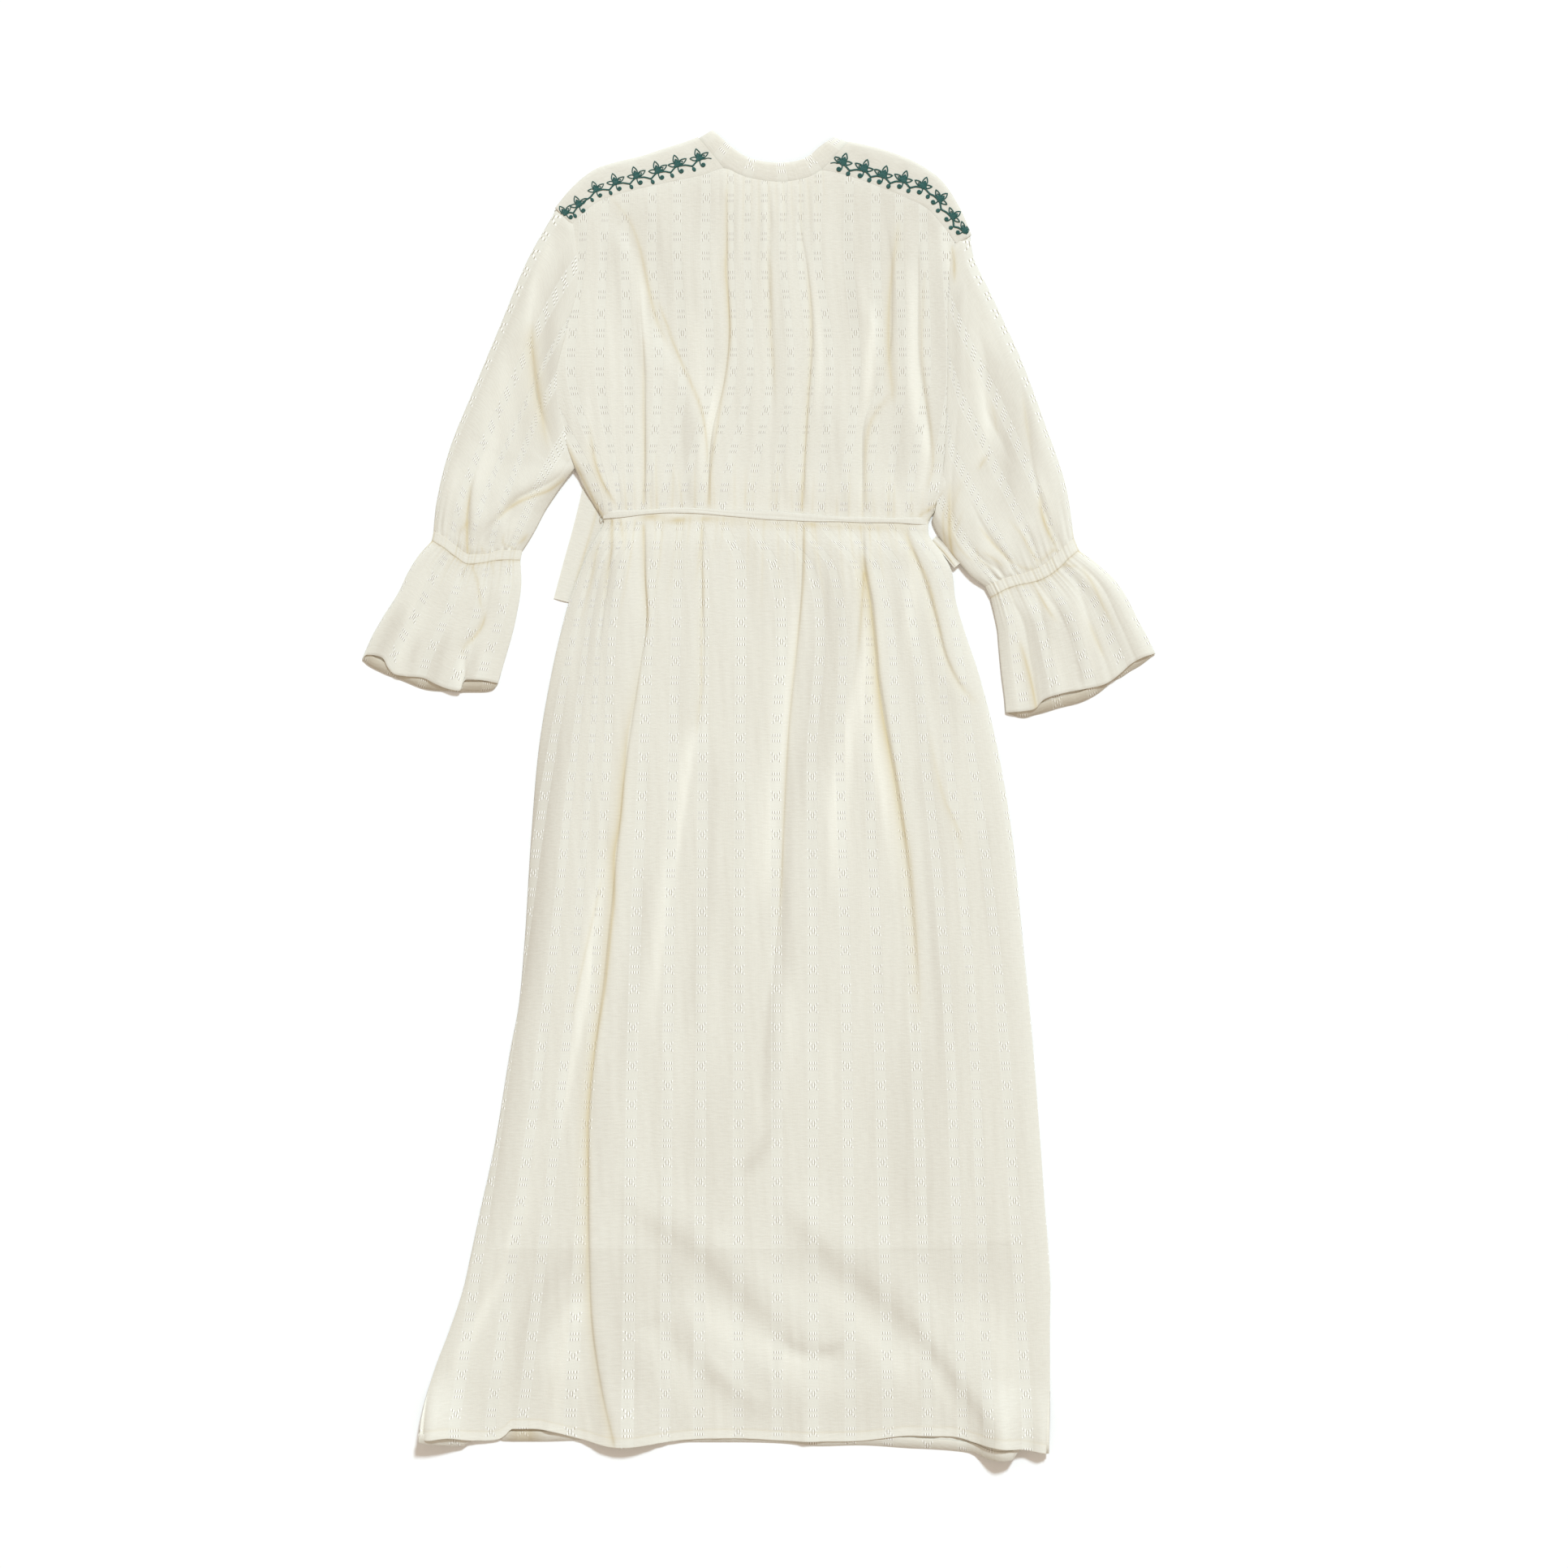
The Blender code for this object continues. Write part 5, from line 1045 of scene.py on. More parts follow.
def makeFront():
    rows = np.concatenate([np.arange(0, front["fineFrom"], front["rowStep"]),
                           np.arange(front["fineFrom"], body["hemRow"] + 0.1, front["fineStep"])])
    x, down = bodyGrid(rows, 2)
    rows = rows[:, None]
    keep = np.append(np.arange(0, x.shape[1] - 1, front["each"]), x.shape[1] - 1)
    x, down = x[:, keep], down[:, keep]
    neck = np.exp(-((x - front["neckMiddle"]) / front["neckHalf"]) ** 4)
    neck = front["neck"] * neck * np.clip(1 - rows / body["topBend"], 0, 1)
    edge = np.minimum(x - x[:, :1], x[:, -1:] - x)
    z = np.exp(-edge / front["edgeReach"]) * (down > front["edgeBelow"])
    z = front["low"] + front["edge"] * z
    nearHem = ease(1 - (body["hemRow"] - down) / body["hemReach"])
    z = z + hemLift(x, "frontLifts") * nearHem
    grid = np.stack([x, down + neck + front["seamGap"] * (rows == 0), z], -1)
    uv = np.stack([stripeCoordinate(x, down), body["hemRow"] - down], -1)
    grid, uv = turnUnder(grid, uv, front["hemTurn"])
    shaded = np.exp(-((x - front["shadeAt"]) / front["shadeHalf"]) ** 4)
    shaded = shaded * (rows > body["hemRow"] - front["shadeDeep"])
    tone = shaded[..., None] * front["shade"]
    tone = np.concatenate([tone] + [tone[-1:]] * len(front["hemTurn"]))
    piece = makeCloth("frontPanel", grid, uv, faceUp=10, tone=tone)
    piece.data.flip_normals()   # its outer side faces the floor
    finishCloth(piece, stripedGauze, ["front"])


lining = {"top": 110.0, "hem": 1099.0, "inset": 17.0, "low": 1.5, "high": 3.4,
          "rows": 90, "columns": 30, "edge": 4.0, "half": 400.0}


# a tube of voile, pressed flat: the upper layer's columns, then the lower one's back again
def makeLining():
    rows = np.linspace(lining["top"], lining["hem"], lining["rows"])
    steps = np.linspace(0, 1, lining["columns"])
    left = sideLine("left", rows)[:, None] + lining["inset"]
    right = sideLine("right", rows)[:, None] - lining["inset"]
    above = left + (right - left) * steps
    x = np.concatenate([above, above[:, -2:0:-1]], axis=1)
    edge = np.minimum(x - left, right - x)
    half = (lining["high"] - lining["low"]) / 2
    turn = half * np.sqrt(1 - (1 - np.clip(edge / lining["edge"], 0, 1)) ** 2)
    sign = np.where(np.arange(x.shape[1]) < len(steps), 1, -1)
    down = np.repeat(rows[:, None], x.shape[1], axis=1)
    grid = np.stack([x, down, lining["low"] + half + turn * sign], -1)
    around = np.append(steps, 1 + steps[1:-1]) * lining["half"]
    uv = np.stack([np.repeat(around[None], len(rows), 0), down], -1)
    piece = makeCloth("slipLining", grid, uv, closed=True, faceUp=10)
    finishCloth(piece, liningVoile, ["lining"])


makeFront()
makeLining()
print("front panel and lining made")

# sleeves, casings and flounces

leftSleeve = {
    # outer x, outer down, inner x, inner down
    "edges": [(-202, 75, -183.6, 327), (-227.5, 124, -194, 347), (-253.5, 186, -203, 360),
              (-280, 250, -210, 371), (-305, 312, -220, 390), (-317.5, 363, -227, 402),
              (-320.5, 392, -233, 411)],
    "armhole": (-186.0, 91),
    "tucked": ((-199, 73.5), (-182.0, 88.5)),
    "casing": [(-320.5, 392, -322.5, 401.5), (-309, 398.5, -311, 408.5),
               (-297, 407.5, -299, 417.5), (-285, 415, -286, 425), (-272, 415, -273, 424),
               (-252, 411, -253, 421), (-233, 411, -235, 421)],
    "flounce": [(-322.5, 401.5, -235, 421), (-335, 415.5, -234, 442), (-345.5, 432, -235, 454),
                (-355, 452, -237, 466), (-369.5, 475, -242, 490), (-382, 497, -250, 518),
                (-391, 518, -257, 542)],
    # x, hem of the upper layer, hem of the lower one
    "mouth": [(-391, 518, 518), (-386, 514, 523), (-371, 517, 531), (-365.5, 526.5, 533.5),
              (-360, 532.5, 535.5), (-349, 535, 539.5), (-330, 537, 547), (-321, 541.5, 548.5),
              (-308, 547, 549.5), (-295, 549.5, 550.5), (-291, 541, 550), (-288, 538.5, 550),
              (-273, 539, 550), (-262, 541, 548), (-257, 542, 542)],
    "folds": [
        ("crease", [(-212, 110, 0), (-219, 150, 0.6), (-224, 189, 1), (-220, 253, 1),
                    (-208, 293, 0.6), (-198, 320, 0)], 2.6, 10, 2.4, 12),
        ("crease", [(-262, 300, 0), (-278, 330, 0.5), (-284, 352, 1), (-286, 381, 1.2),
                    (-286, 424, 1.2)], 3.4, 10, 4.4, 6),
        ("crease", [(-188, 325, 0.6), (-196, 338, 1), (-225, 354, 1.1), (-238, 361, 1.1),
                    (-251, 374, 0.9), (-268, 392, 0.5), (-278, 406, 0)], 3.4, 8, 2.0, 9),
        ("crease", [(-240, 372, 0), (-246, 384, 0.8), (-248, 400, 1),
                    (-246, 412, 1)], 1.4, 5, 1.4, 5),
        ("ridge", [(-200, 100, 0), (-212, 124, 0.7), (-226, 160, 1), (-234, 189, 0.6),
                   (-240, 230, 0)], 1.8, 12, 1.8, 9),
        ("ridge", [(-240, 130, 0), (-262, 190, 0.8), (-282, 250, 0.8),
                   (-298, 320, 0)], 1.2, 10, 1.2, 12)],
    "flounceFolds": [
        ("crease", [(-262, 426, 0.6), (-266, 455, 1), (-274, 486, 1), (-290, 512, 1.2),
                    (-290, 545, 1.4)], 2.8, 11, 3, 8),
        ("ridge", [(-316, 424, 0.5), (-338, 460, 1), (-352, 500, 1),
                   (-360, 545, 1)], 2.6, 11, 2.6, 11),
        ("ridge", [(-298, 430, 0.6), (-304, 470, 1), (-318, 510, 1),
                   (-324, 555, 1)], 2.4, 9, 2.4, 9),
        ("ridge", [(-248, 430, 0.6), (-252, 480, 1), (-268, 555, 1)], 2.4, 8, 2.4, 8)],
    "lifts": [("ridge", [(-176, 332, 1), (-190, 334, 1), (-206, 352, 0.6),
                         (-222, 372, 0)], 2.0, 9, 2.0, 9)],
    # creases and tones, and those of the flounce: lines of painted shade, and painted light and
    # shade
    "creases": [
        (1, 4.6, 3.4, (-223, 185, 0), (-223, 205, 0.6), (-220, 233, 0.75), (-216, 261, 0.8),
         (-212, 285, 0.6), (-207, 314, 0)),
        (1, 1.5, 1.2, (-283, 341, 0), (-285, 362, 0.7), (-287, 381, 0.9), (-287, 401, 1),
         (-286, 423, 1)),
        (1, 2.4, 1.1, (-192, 342, 0.6), (-207, 353, 0.9), (-224, 359, 0.8), (-239, 366, 1),
         (-250, 374, 0.6), (-263, 390, 0)),
        (1, 1.3, 1.3, (-295, 394, 0.3), (-288, 386, 0.6), (-284, 381, 0)),
        (1, 1.6, 1.6, (-226, 393, 0), (-232, 401, 0.7), (-239, 406, 0)),
        (1, 1, 1, (-276, 403, 0), (-271, 413, 0.4), (-268, 421, 0)),
        (1, 1, 1, (-250, 393, 0), (-252, 403, 0.4), (-240, 410, 0.3))],
    "tones": [
        (0.6, 5, 6, (-199, 93, 0), (-210, 118, 0.9), (-219, 145, 0.9), (-226, 177, 0.8),
         (-232, 209, 0)),
        (0.45, 14, 12, (-242, 205, 0), (-250, 245, 0.8), (-258, 293, 0.9), (-271, 333, 0.8),
         (-277, 357, 0)),
        (0.4, 6, 6, (-295, 317, 0), (-303, 349, 0.9), (-309, 389, 0)),
        (0.4, 6, 8, (-236, 373, 0), (-242, 387, 0.9), (-250, 406, 0)),
        (-0.6, 8, 10, (-184, 109, 0), (-196, 145, 0.8), (-207, 181, 0.9), (-208, 213, 1),
         (-204, 253, 0.9), (-200, 293, 0.5), (-196, 317, 0)),
        (-0.4, 5, 9, (-197, 85, 0.4), (-228, 145, 0.8), (-258, 209, 0.8), (-284, 269, 0.9),
         (-303, 325, 0.6), (-316, 381, 0.5)),
        (-0.35, 6, 6, (-288, 285, 0), (-276, 301, 0.6), (-252, 317, 0.5), (-228, 321, 0.4),
         (-204, 325, 0)),
        (-0.4, 6, 6, (-258, 377, 0), (-264, 393, 0.9), (-271, 406, 0))],
    "flouncecreases": [
        (1, 1.4, 1.2, (-282, 427, 0.5), (-277, 441, 0.5), (-274, 462, 0.4), (-272, 473, 0)),
        (1, 2, 1.3, (-268, 470, 0), (-272, 485, 0.7), (-280, 497, 0.7), (-290, 507, 0.4),
         (-293, 521, 0)),
        (1, 1, 1, (-290, 429, 0.4), (-292, 442, 0)),
        (1, 1, 1, (-263, 424, 0.4), (-260, 438, 0)),
        (1, 1, 1, (-305, 421, 0.3), (-312, 438, 0))],
    "flouncetones": [
        (0.55, 4, 5, (-336, 457, 0), (-344, 481, 0.9), (-352, 505, 0.9), (-357, 526, 0.4)),
        (0.8, 4, 5, (-285, 505, 0), (-292, 521, 0.9), (-296, 541, 1)),
        (0.35, 8, 8, (-324, 429, 0), (-332, 461, 0.8), (-338, 501, 0)),
        (0.35, 5, 6, (-263, 477, 0), (-268, 509, 0.9), (-272, 537, 0.6)),
        (-0.55, 8, 8, (-348, 461, 0), (-359, 485, 0.9), (-372, 507, 0.9), (-378, 518, 0.7)),
        (-0.5, 8, 6, (-300, 485, 0), (-312, 509, 0.9), (-319, 537, 1)),
        (-0.4, 5, 5, (-276, 501, 0), (-280, 521, 0.9), (-284, 538, 0.8)),
        (-0.4, 4, 4, (-332, 489, 0), (-340, 513, 0.9), (-343, 533, 0.6))],
}
rightSleeve = {
    "edges": [(211.4, 101, 182.9, 357), (212.5, 122, 176.8, 370), (228.5, 156, 171.5, 381),
              (243.5, 188, 176.5, 394), (258.5, 221, 186.5, 409.5), (282.3, 285, 196, 421),
              (303.2, 347, 209, 436), (311.5, 399, 223.5, 447)],
    "armhole": (197.2, 112),
    "tucked": ((208.4, 98.4), (193.2, 109.0)),
    "casing": [(311.5, 399, 316.5, 411), (301, 408, 307.3, 418.5), (290.5, 418, 297, 428.5),
               (280, 426, 286.7, 436.5), (267, 432, 274, 442), (245, 438, 248.5, 448),
               (223.5, 447, 229, 458)],
    "flounce": [(316.5, 411, 229, 458), (335.5, 425, 233, 475), (351.5, 440, 236, 490),
                (364.5, 459, 237, 502), (374, 478.5, 240, 534), (383.5, 495.5, 243, 558),
                (391.5, 512.5, 244, 571)],
    "mouth": [(391.5, 512.5, 512.5), (378, 517, 523), (366, 524, 530), (359, 530.5, 535),
              (347, 540, 541), (340, 543.5, 548), (320, 548, 559.5), (297, 552.7, 565.5),
              (281, 558.5, 570.5), (273, 567, 572.5), (262, 569.5, 575.5), (244, 571, 571)],
    "folds": [
        ("crease", [(214, 190, 0), (222, 214, 0.8), (225, 275, 1), (241, 307, 0.7),
                    (250, 330, 0)], 2.2, 12, 2, 12),
        ("crease", [(256, 240, 0), (264, 269, 0.6), (269, 320, 0.8), (278, 361, 1.1),
                    (296, 406, 1.1)], 1.8, 8, 3, 7),
        ("crease", [(258, 380, 0), (267, 397, 1), (277, 422, 1)], 1.4, 6, 2, 5),
        ("crease", [(205, 350, 0), (219, 384, 0.8), (232, 404, 1), (251, 426, 1)], 1.8, 7, 2.2, 6),
        ("crease", [(200, 395, 0), (213, 413, 0.8), (229, 426, 1),
                    (238, 432, 0.8)], 1.4, 5, 1.6, 5),
        ("crease", [(199, 250, 0), (194, 300, 0.7), (190, 350, 1), (192, 385, 0.8),
                    (200, 410, 0)], 2, 6, 2.4, 9),
        ("crease", [(204, 130, 0), (206, 160, 0.8), (204, 210, 0.6),
                    (206, 260, 0)], 1.6, 6, 1.8, 9)],
    "flounceFolds": [
        ("crease", [(248, 462, 0.5), (256, 470, 0.8), (268, 520, 1),
                    (276, 565, 1.2)], 2.6, 10, 2.6, 9),
        ("crease", [(262, 440, 0.5), (269, 445, 1), (280, 480, 1), (285, 510, 0.9),
                    (290, 560, 0.8)], 1.8, 7, 2, 7),
        ("crease", [(280, 440, 0.6), (285, 453, 1), (300, 480, 1), (309, 502, 0.8),
                    (318, 545, 0.8)], 1.8, 8, 2.2, 8),
        ("crease", [(310, 430, 0.6), (325, 477, 1), (338, 510, 1),
                    (350, 545, 1.1)], 2.6, 10, 2.4, 9),
        ("crease", [(310, 425, 0.6), (321, 429, 1), (340, 450, 1), (353, 477, 0.9),
                    (372, 520, 0.8)], 2, 8, 2.2, 8)],
    "lifts": [("ridge", [(186, 409, 0), (197, 422, 1), (210, 437, 1), (226, 452, 0.4),
                         (234, 470, 0)], 2.2, 8, 2.2, 8)],
    # creases and tones, and those of the flounce: lines of painted shade, and painted light and
    # shade
    "creases": [
        (1, 1.8, 2.2, (277, 358, 0.3), (279, 374, 0.9), (284, 390, 1), (292, 406, 0.5)),
        (1, 1.4, 1.4, (216, 386, 0), (229, 402, 0.7), (243, 417, 0.7), (252, 426, 0)),
        (1, 1.4, 1.4, (222, 414, 0.2), (235, 422, 0.5), (244, 431, 0)),
        (1, 1.3, 1.3, (244, 378, 0), (260, 397, 0.5), (268, 412, 0.6), (277, 424, 0.3)),
        (1, 5, 3, (203, 337, 0), (195, 358, 0.25), (190, 381, 0.3), (190, 401, 0.3),
         (193, 421, 0.2)),
        (1, 1.5, 1.2, (184, 363, 0), (182, 381, 0.5), (183, 397, 0.6), (187, 413, 0.4),
         (192, 426, 0)),
        (1, 1.6, 1.6, (189, 341, 0), (188, 361, 0.5), (188, 389, 0.8), (191, 413, 0.7),
         (196, 426, 0.2)),
        (1, 1, 1, (202, 371, 0), (197, 385, 0.35), (193, 397, 0)),
        (1, 1.2, 1.2, (190, 389, 0), (196, 406, 0.45), (206, 418, 0.3), (216, 425, 0)),
        (1, 1, 1, (215, 403, 0), (217, 419, 0.4), (228, 428, 0.3), (231, 430, 0)),
        (1, 1.4, 1.6, (192, 115, 0.4), (193, 133, 0.9), (193, 150, 0)),
        (1, 1.5, 1.5, (227, 315, 0), (221, 325, 0.6), (215, 334, 0)),
        (1, 1.4, 1.4, (228, 261, 0), (233, 281, 0.35), (236, 301, 0)),
        (1, 1.5, 1.5, (260, 253, 0), (264, 285, 0.4), (269, 318, 0)),
        (1, 1.3, 1.3, (279, 421, 0.3), (292, 411, 0.6), (302, 419, 0)),
        (1, 1.3, 1.3, (247, 421, 0), (262, 429, 0.4), (281, 430, 0))],
    "tones": [
        (0.6, 7, 6, (211, 205, 0), (217, 241, 0.8), (224, 277, 1), (222, 309, 1), (214, 333, 0)),
        (0.4, 6, 6, (268, 325, 0), (280, 353, 0.9), (289, 381, 0.5), (296, 397, 0)),
        (0.35, 6, 6, (216, 381, 0), (227, 409, 0.7), (244, 433, 0)),
        (0.35, 10, 6, (212, 149, 0), (225, 189, 0.8), (236, 229, 0)),
        (-0.5, 10, 12, (224, 205, 0), (236, 245, 0.7), (249, 293, 0.9), (248, 341, 0.9),
         (238, 381, 0)),
        (-0.45, 6, 5, (203, 133, 0), (196, 173, 0.8), (195, 221, 0.8), (200, 269, 0)),
        (-0.4, 6, 6, (252, 221, 0), (265, 261, 0.9), (273, 309, 0.8), (280, 349, 0)),
        (-0.35, 6, 3, (212, 125, 0), (230, 165, 0.7), (262, 229, 0.8), (292, 309, 0.7),
         (304, 373, 0.5))],
    "flouncecreases": [
        (1, 2.4, 1.8, (256, 497, 0), (262, 515, 0.7), (269, 542, 0.9), (274, 566, 0.9)),
        (1, 1.6, 1.4, (272, 446, 0.2), (282, 465, 0.7), (296, 485, 0)),
        (1, 1.6, 1.6, (320, 430, 0.3), (330, 446, 0.6), (340, 467, 0.5), (353, 490, 0)),
        (1, 1.6, 1.4, (324, 477, 0), (333, 499, 0.6), (343, 521, 0)),
        (1, 1.2, 1.2, (296, 422, 0.6), (307, 427, 0.6), (316, 426, 0))],
    "flouncetones": [
        (0.5, 5, 6, (249, 469, 0), (254, 509, 0.9), (257, 557, 0.7)),
        (0.45, 5, 6, (310, 445, 0), (320, 485, 0.9), (328, 525, 0.6)),
        (0.4, 6, 6, (278, 485, 0), (291, 517, 0.8), (302, 549, 0.6)),
        (-0.5, 6, 8, (268, 465, 0), (276, 509, 0.9), (284, 557, 0.8)),
        (-0.5, 7, 7, (292, 453, 0), (307, 493, 0.9), (320, 533, 0.9)),
        (-0.5, 7, 7, (332, 441, 0), (350, 485, 0.9), (366, 521, 0.8))],
}
sleeves = {
    "left": leftSleeve, "right": rightSleeve,
    "top": 5.6, "mouthRise": -3.2,
    # a flattened tube's folded edges: their height, how far above and below they roll, and the
    # height of the lower layer
    "foldMiddle": 1.3, "foldRoll": 12.0, "foldUnder": 4.0, "low": 0.15,
    "dense": 0.115,                    # how much closer columns lie beside them
    "clothWidth": 165.0, "long": {"sleeve": 330.0, "casing": 14.0, "flounce": 118.0},
    "folds": {"sleeve": 0.65, "flounce": 0.6},   # how much of the folds' heights shows
    "foldsFromEdge": {"sleeve": 12.0, "flounce": 9.0}, "fromSeam": 6.0,
    # unevenness: seed, size, stretch, height
    "soft": {"sleeve": (21, 34, 3.0, 0.35), "gather": (5, 9, 5.0, 0.5),
             "flounce": (12, 22, 5.0, 0.4)},
    # small gathers at a cuff's seams: seed, how many waves, from and to how many times around; then
    # their height, how far from the edge they rise, how strong the painted shade in their valleys
    # is, and above what depth it starts
    "gathers": (31, 8, 13, 34), "ruche": 0.3, "rucheEdge": 6.0, "pinch": 0.5, "pinchLeast": 0.25,
    # the upper layer's edge goes down and under the back's side, where the lower one meets it
    "tuck": 1.3, "tuckLong": 4.0, "tuckIn": 3.5, "seamGap": 0.2, "armholeLow": 12.0,
    # the mouth: how far the lower layer lies below the upper one, and over what length it joins
    "layerGap": 2.3, "join": 26.0, "joinEdge": 5.0,
    # the hem turned inwards: from which row, out, inwards, cloth used
    "hemTurn": [(-1, 0.4, 0.3, 0.6), (-1, 0.3, 0.7, 1.2), (-4, 0.0, 0.85, 10.0)],
    # a rolled end's last rows: out and down, at the start and at the end
    "roll": {"start": [(2.6, 0.9), (0.8, 0.35)], "end": [(0.4, 0.5), (0.3, 1.2)]},
    "insideTone": (0.25, -0.6), "insideRows": 4,
    # a casing's seams show as thin lines: how strong at its top and its foot, how sharp, and how
    # much its gathers break them up; then how much painted shade lies in its gathers' valleys, and
    # how much paler it is
    "seams": (0.2, 0.5, 10.0, 0.4), "casingPinch": 0.7, "casingPale": 0.15,
    "pinchLong": 8.0,
    # at a flounce's top: how strong the painted shade in its gathers' valleys is, how far down it
    # reaches (near, far), and a seam line
    "flouncePinch": 1.2, "pinchFade": ((0.6, 6.0), (0.4, 24.0)), "seamLine": 0.35,
}


# a surface between four lines: its two sides and its two ends
def patch(outer, inner, start, end, share, across):
    a, b = spline(outer, share), spline(inner, share)
    c, d = spline(start, across), spline(end, across)
    share, across = share[:, None, None], across[None, :, None]
    corners = ((1 - share) * (1 - across) * np.array(start[0])
               + (1 - share) * across * np.array(start[-1])
               + share * (1 - across) * np.array(end[0]) + share * across * np.array(end[-1]))
    return ((1 - across) * a[:, None, :] + across * b[:, None, :]
            + (1 - share) * c[None, :, :] + share * d[None, :, :] - corners)


# steps across a flattened tube, closer together at its folded edges
def acrossSteps(count):
    t = np.linspace(0, 1, count)
    return t - sleeves["dense"] * np.sin(2 * math.pi * t)


def upperProfile(distance, top):
    reach = np.clip(distance / sleeves["foldRoll"], 0, 1)
    full = 0.5 * np.sqrt(1 - (1 - reach) ** 2) + 0.5 * np.sin(math.pi / 2 * reach)
    return sleeves["foldMiddle"] + (top - sleeves["foldMiddle"]) * full


def lowerProfile(distance):
    reach = np.clip(distance / sleeves["foldUnder"], 0, 1)
    rise = (sleeves["foldMiddle"] - sleeves["low"]) * (1 - np.sqrt(1 - (1 - reach) ** 2))
    return sleeves["low"] + rise


# a flattened tube, its upper layer's columns and then the lower one's back again. counts are its
# rows and the columns of both layers, and "turned" is for an open mouth, "rolled" for two seams.
def makeTube(name, edges, start, end, counts, height, tone, startBelow=None, endBelow=None,
             length=100.0, turned=False, rolled=False, lifts=()):
    outer, inner = pairs(edges), pairs(edges, 2)
    rows, columnsAbove, columnsBelow = counts
    share = np.linspace(0, 1, rows)
    above = acrossSteps(columnsAbove)
    below = acrossSteps(columnsBelow)[1:-1][::-1]
    upper = patch(outer, inner, start, end, share, above)
    lower = patch(outer, inner, startBelow or start, endBelow or end, share, below)
    width = np.linalg.norm(upper[:, -1] - upper[:, 0], axis=1)[:, None]
    edgeAbove = np.minimum(above, 1 - above)[None, :] * width
    edgeBelow = np.minimum(below, 1 - below)[None, :] * width
    zAbove = height(upper[..., 0], upper[..., 1], share[:, None], above[None, :], edgeAbove)
    zAbove = zAbove + foldHeight(upper[..., 0], upper[..., 1], lifts)
    zBelow = lowerProfile(edgeBelow) + foldHeight(lower[..., 0], lower[..., 1], lifts)
    if turned:   # the lower layer carries the upper one's hem, and falls to the floor beyond it
        order = np.argsort(upper[-1, :, 0])
        hem = np.interp(lower[..., 0], upper[-1, order, 0], upper[-1, order, 1])
        carried = np.interp(lower[..., 0], upper[-1, order, 0], zAbove[-1, order])
        carried = carried - sleeves["layerGap"]
        beyond = lower[..., 1] - hem
        room = np.maximum(lower[-1:, :, 1] - hem, 1.5)
        near = np.where(beyond > 0, 1 - ease(beyond / room), ease(beyond / sleeves["join"] + 1))
        near = near * ease(edgeBelow / sleeves["joinEdge"])
        zBelow = zBelow + np.maximum(carried - zBelow, 0) * near
    grid = np.concatenate([np.concatenate([upper, zAbove[..., None]], -1),
                           np.concatenate([lower, zBelow[..., None]], -1)], axis=1)
    around = np.concatenate([above, 1 + (1 - below)]) * sleeves["clothWidth"]
    uv = np.stack([np.repeat(around[None], rows, 0),
                   np.repeat(share[:, None] * length, len(around), 1)], -1)
    if rolled:   # both ends roll down to the cloth beside them
        sink = np.zeros((len(around), 3))
        sink[:len(above), 2] = 1
        lips = []
        for row, nextRow, key in ((0, 1, "start"), (-1, -2, "end")):
            way = grid[row] - grid[nextRow]
            way[:, 2] = 0
            way /= np.linalg.norm(way, axis=1)[:, None]
            lips.append([grid[row] + way * out - sink * drop
                         for out, drop in sleeves["roll"][key]])
        grid = np.concatenate([lips[0], grid, lips[1]])
        uv = np.concatenate([[uv[0]] * 2, uv, [uv[-1]] * 2])
    if turned:   # a narrow hem turned to the inside
        way = grid[-1] - grid[-2]
        way /= np.linalg.norm(way, axis=1)[:, None]
        inward = np.zeros((len(around), 3))
        inward[:, 2] = np.where(np.arange(len(around)) < len(above), -1, 1)
        rim = [grid[row] + way * out + inward * deep
               for row, out, deep, _ in sleeves["hemTurn"]]
        uv = np.concatenate([uv, [uv[-1] + (0, used) for *_, used in sleeves["hemTurn"]]])
        grid = np.concatenate([grid, rim])
    shade = tone(upper[..., 0], upper[..., 1], share[:, None], above[None, :])
    if rolled:
        shade = np.concatenate([shade[:1], shade[:1], shade])
    if turned:   # the inside of the mouth lies in a warm shade
        whole = np.zeros((len(grid), grid.shape[1], 2))
        whole[:rows, :columnsAbove] = shade
        whole[rows:, :columnsAbove] = shade[-1]
        whole[rows - sleeves["insideRows"]:, columnsAbove:] = sleeves["insideTone"]
        shade = whole
    return makeCloth(name, grid, uv, closed=True, faceUp=columnsAbove // 2, tone=shade)


# small uneven gathers around a cuff, as the seams on both sides of the casing hold them
def ruched(across):
    seed, count, fewest, most = sleeves["gathers"]
    dice = np.random.default_rng(seed)
    total = 0.0
    for _ in range(count):
        total = total + np.cos(2 * math.pi * (dice.uniform(fewest, most) * across + dice.uniform()))
    return total / math.sqrt(count)


# the gathers' valleys, which get painted shade
def pinched(across):
    return np.clip(-ruched(across) - sleeves["pinchLeast"], 0, 1)


def soft(key, x, down):
    seed, size, stretch, high = sleeves["soft"][key]
    return high * unevenness(x, down, seed, size, stretch)


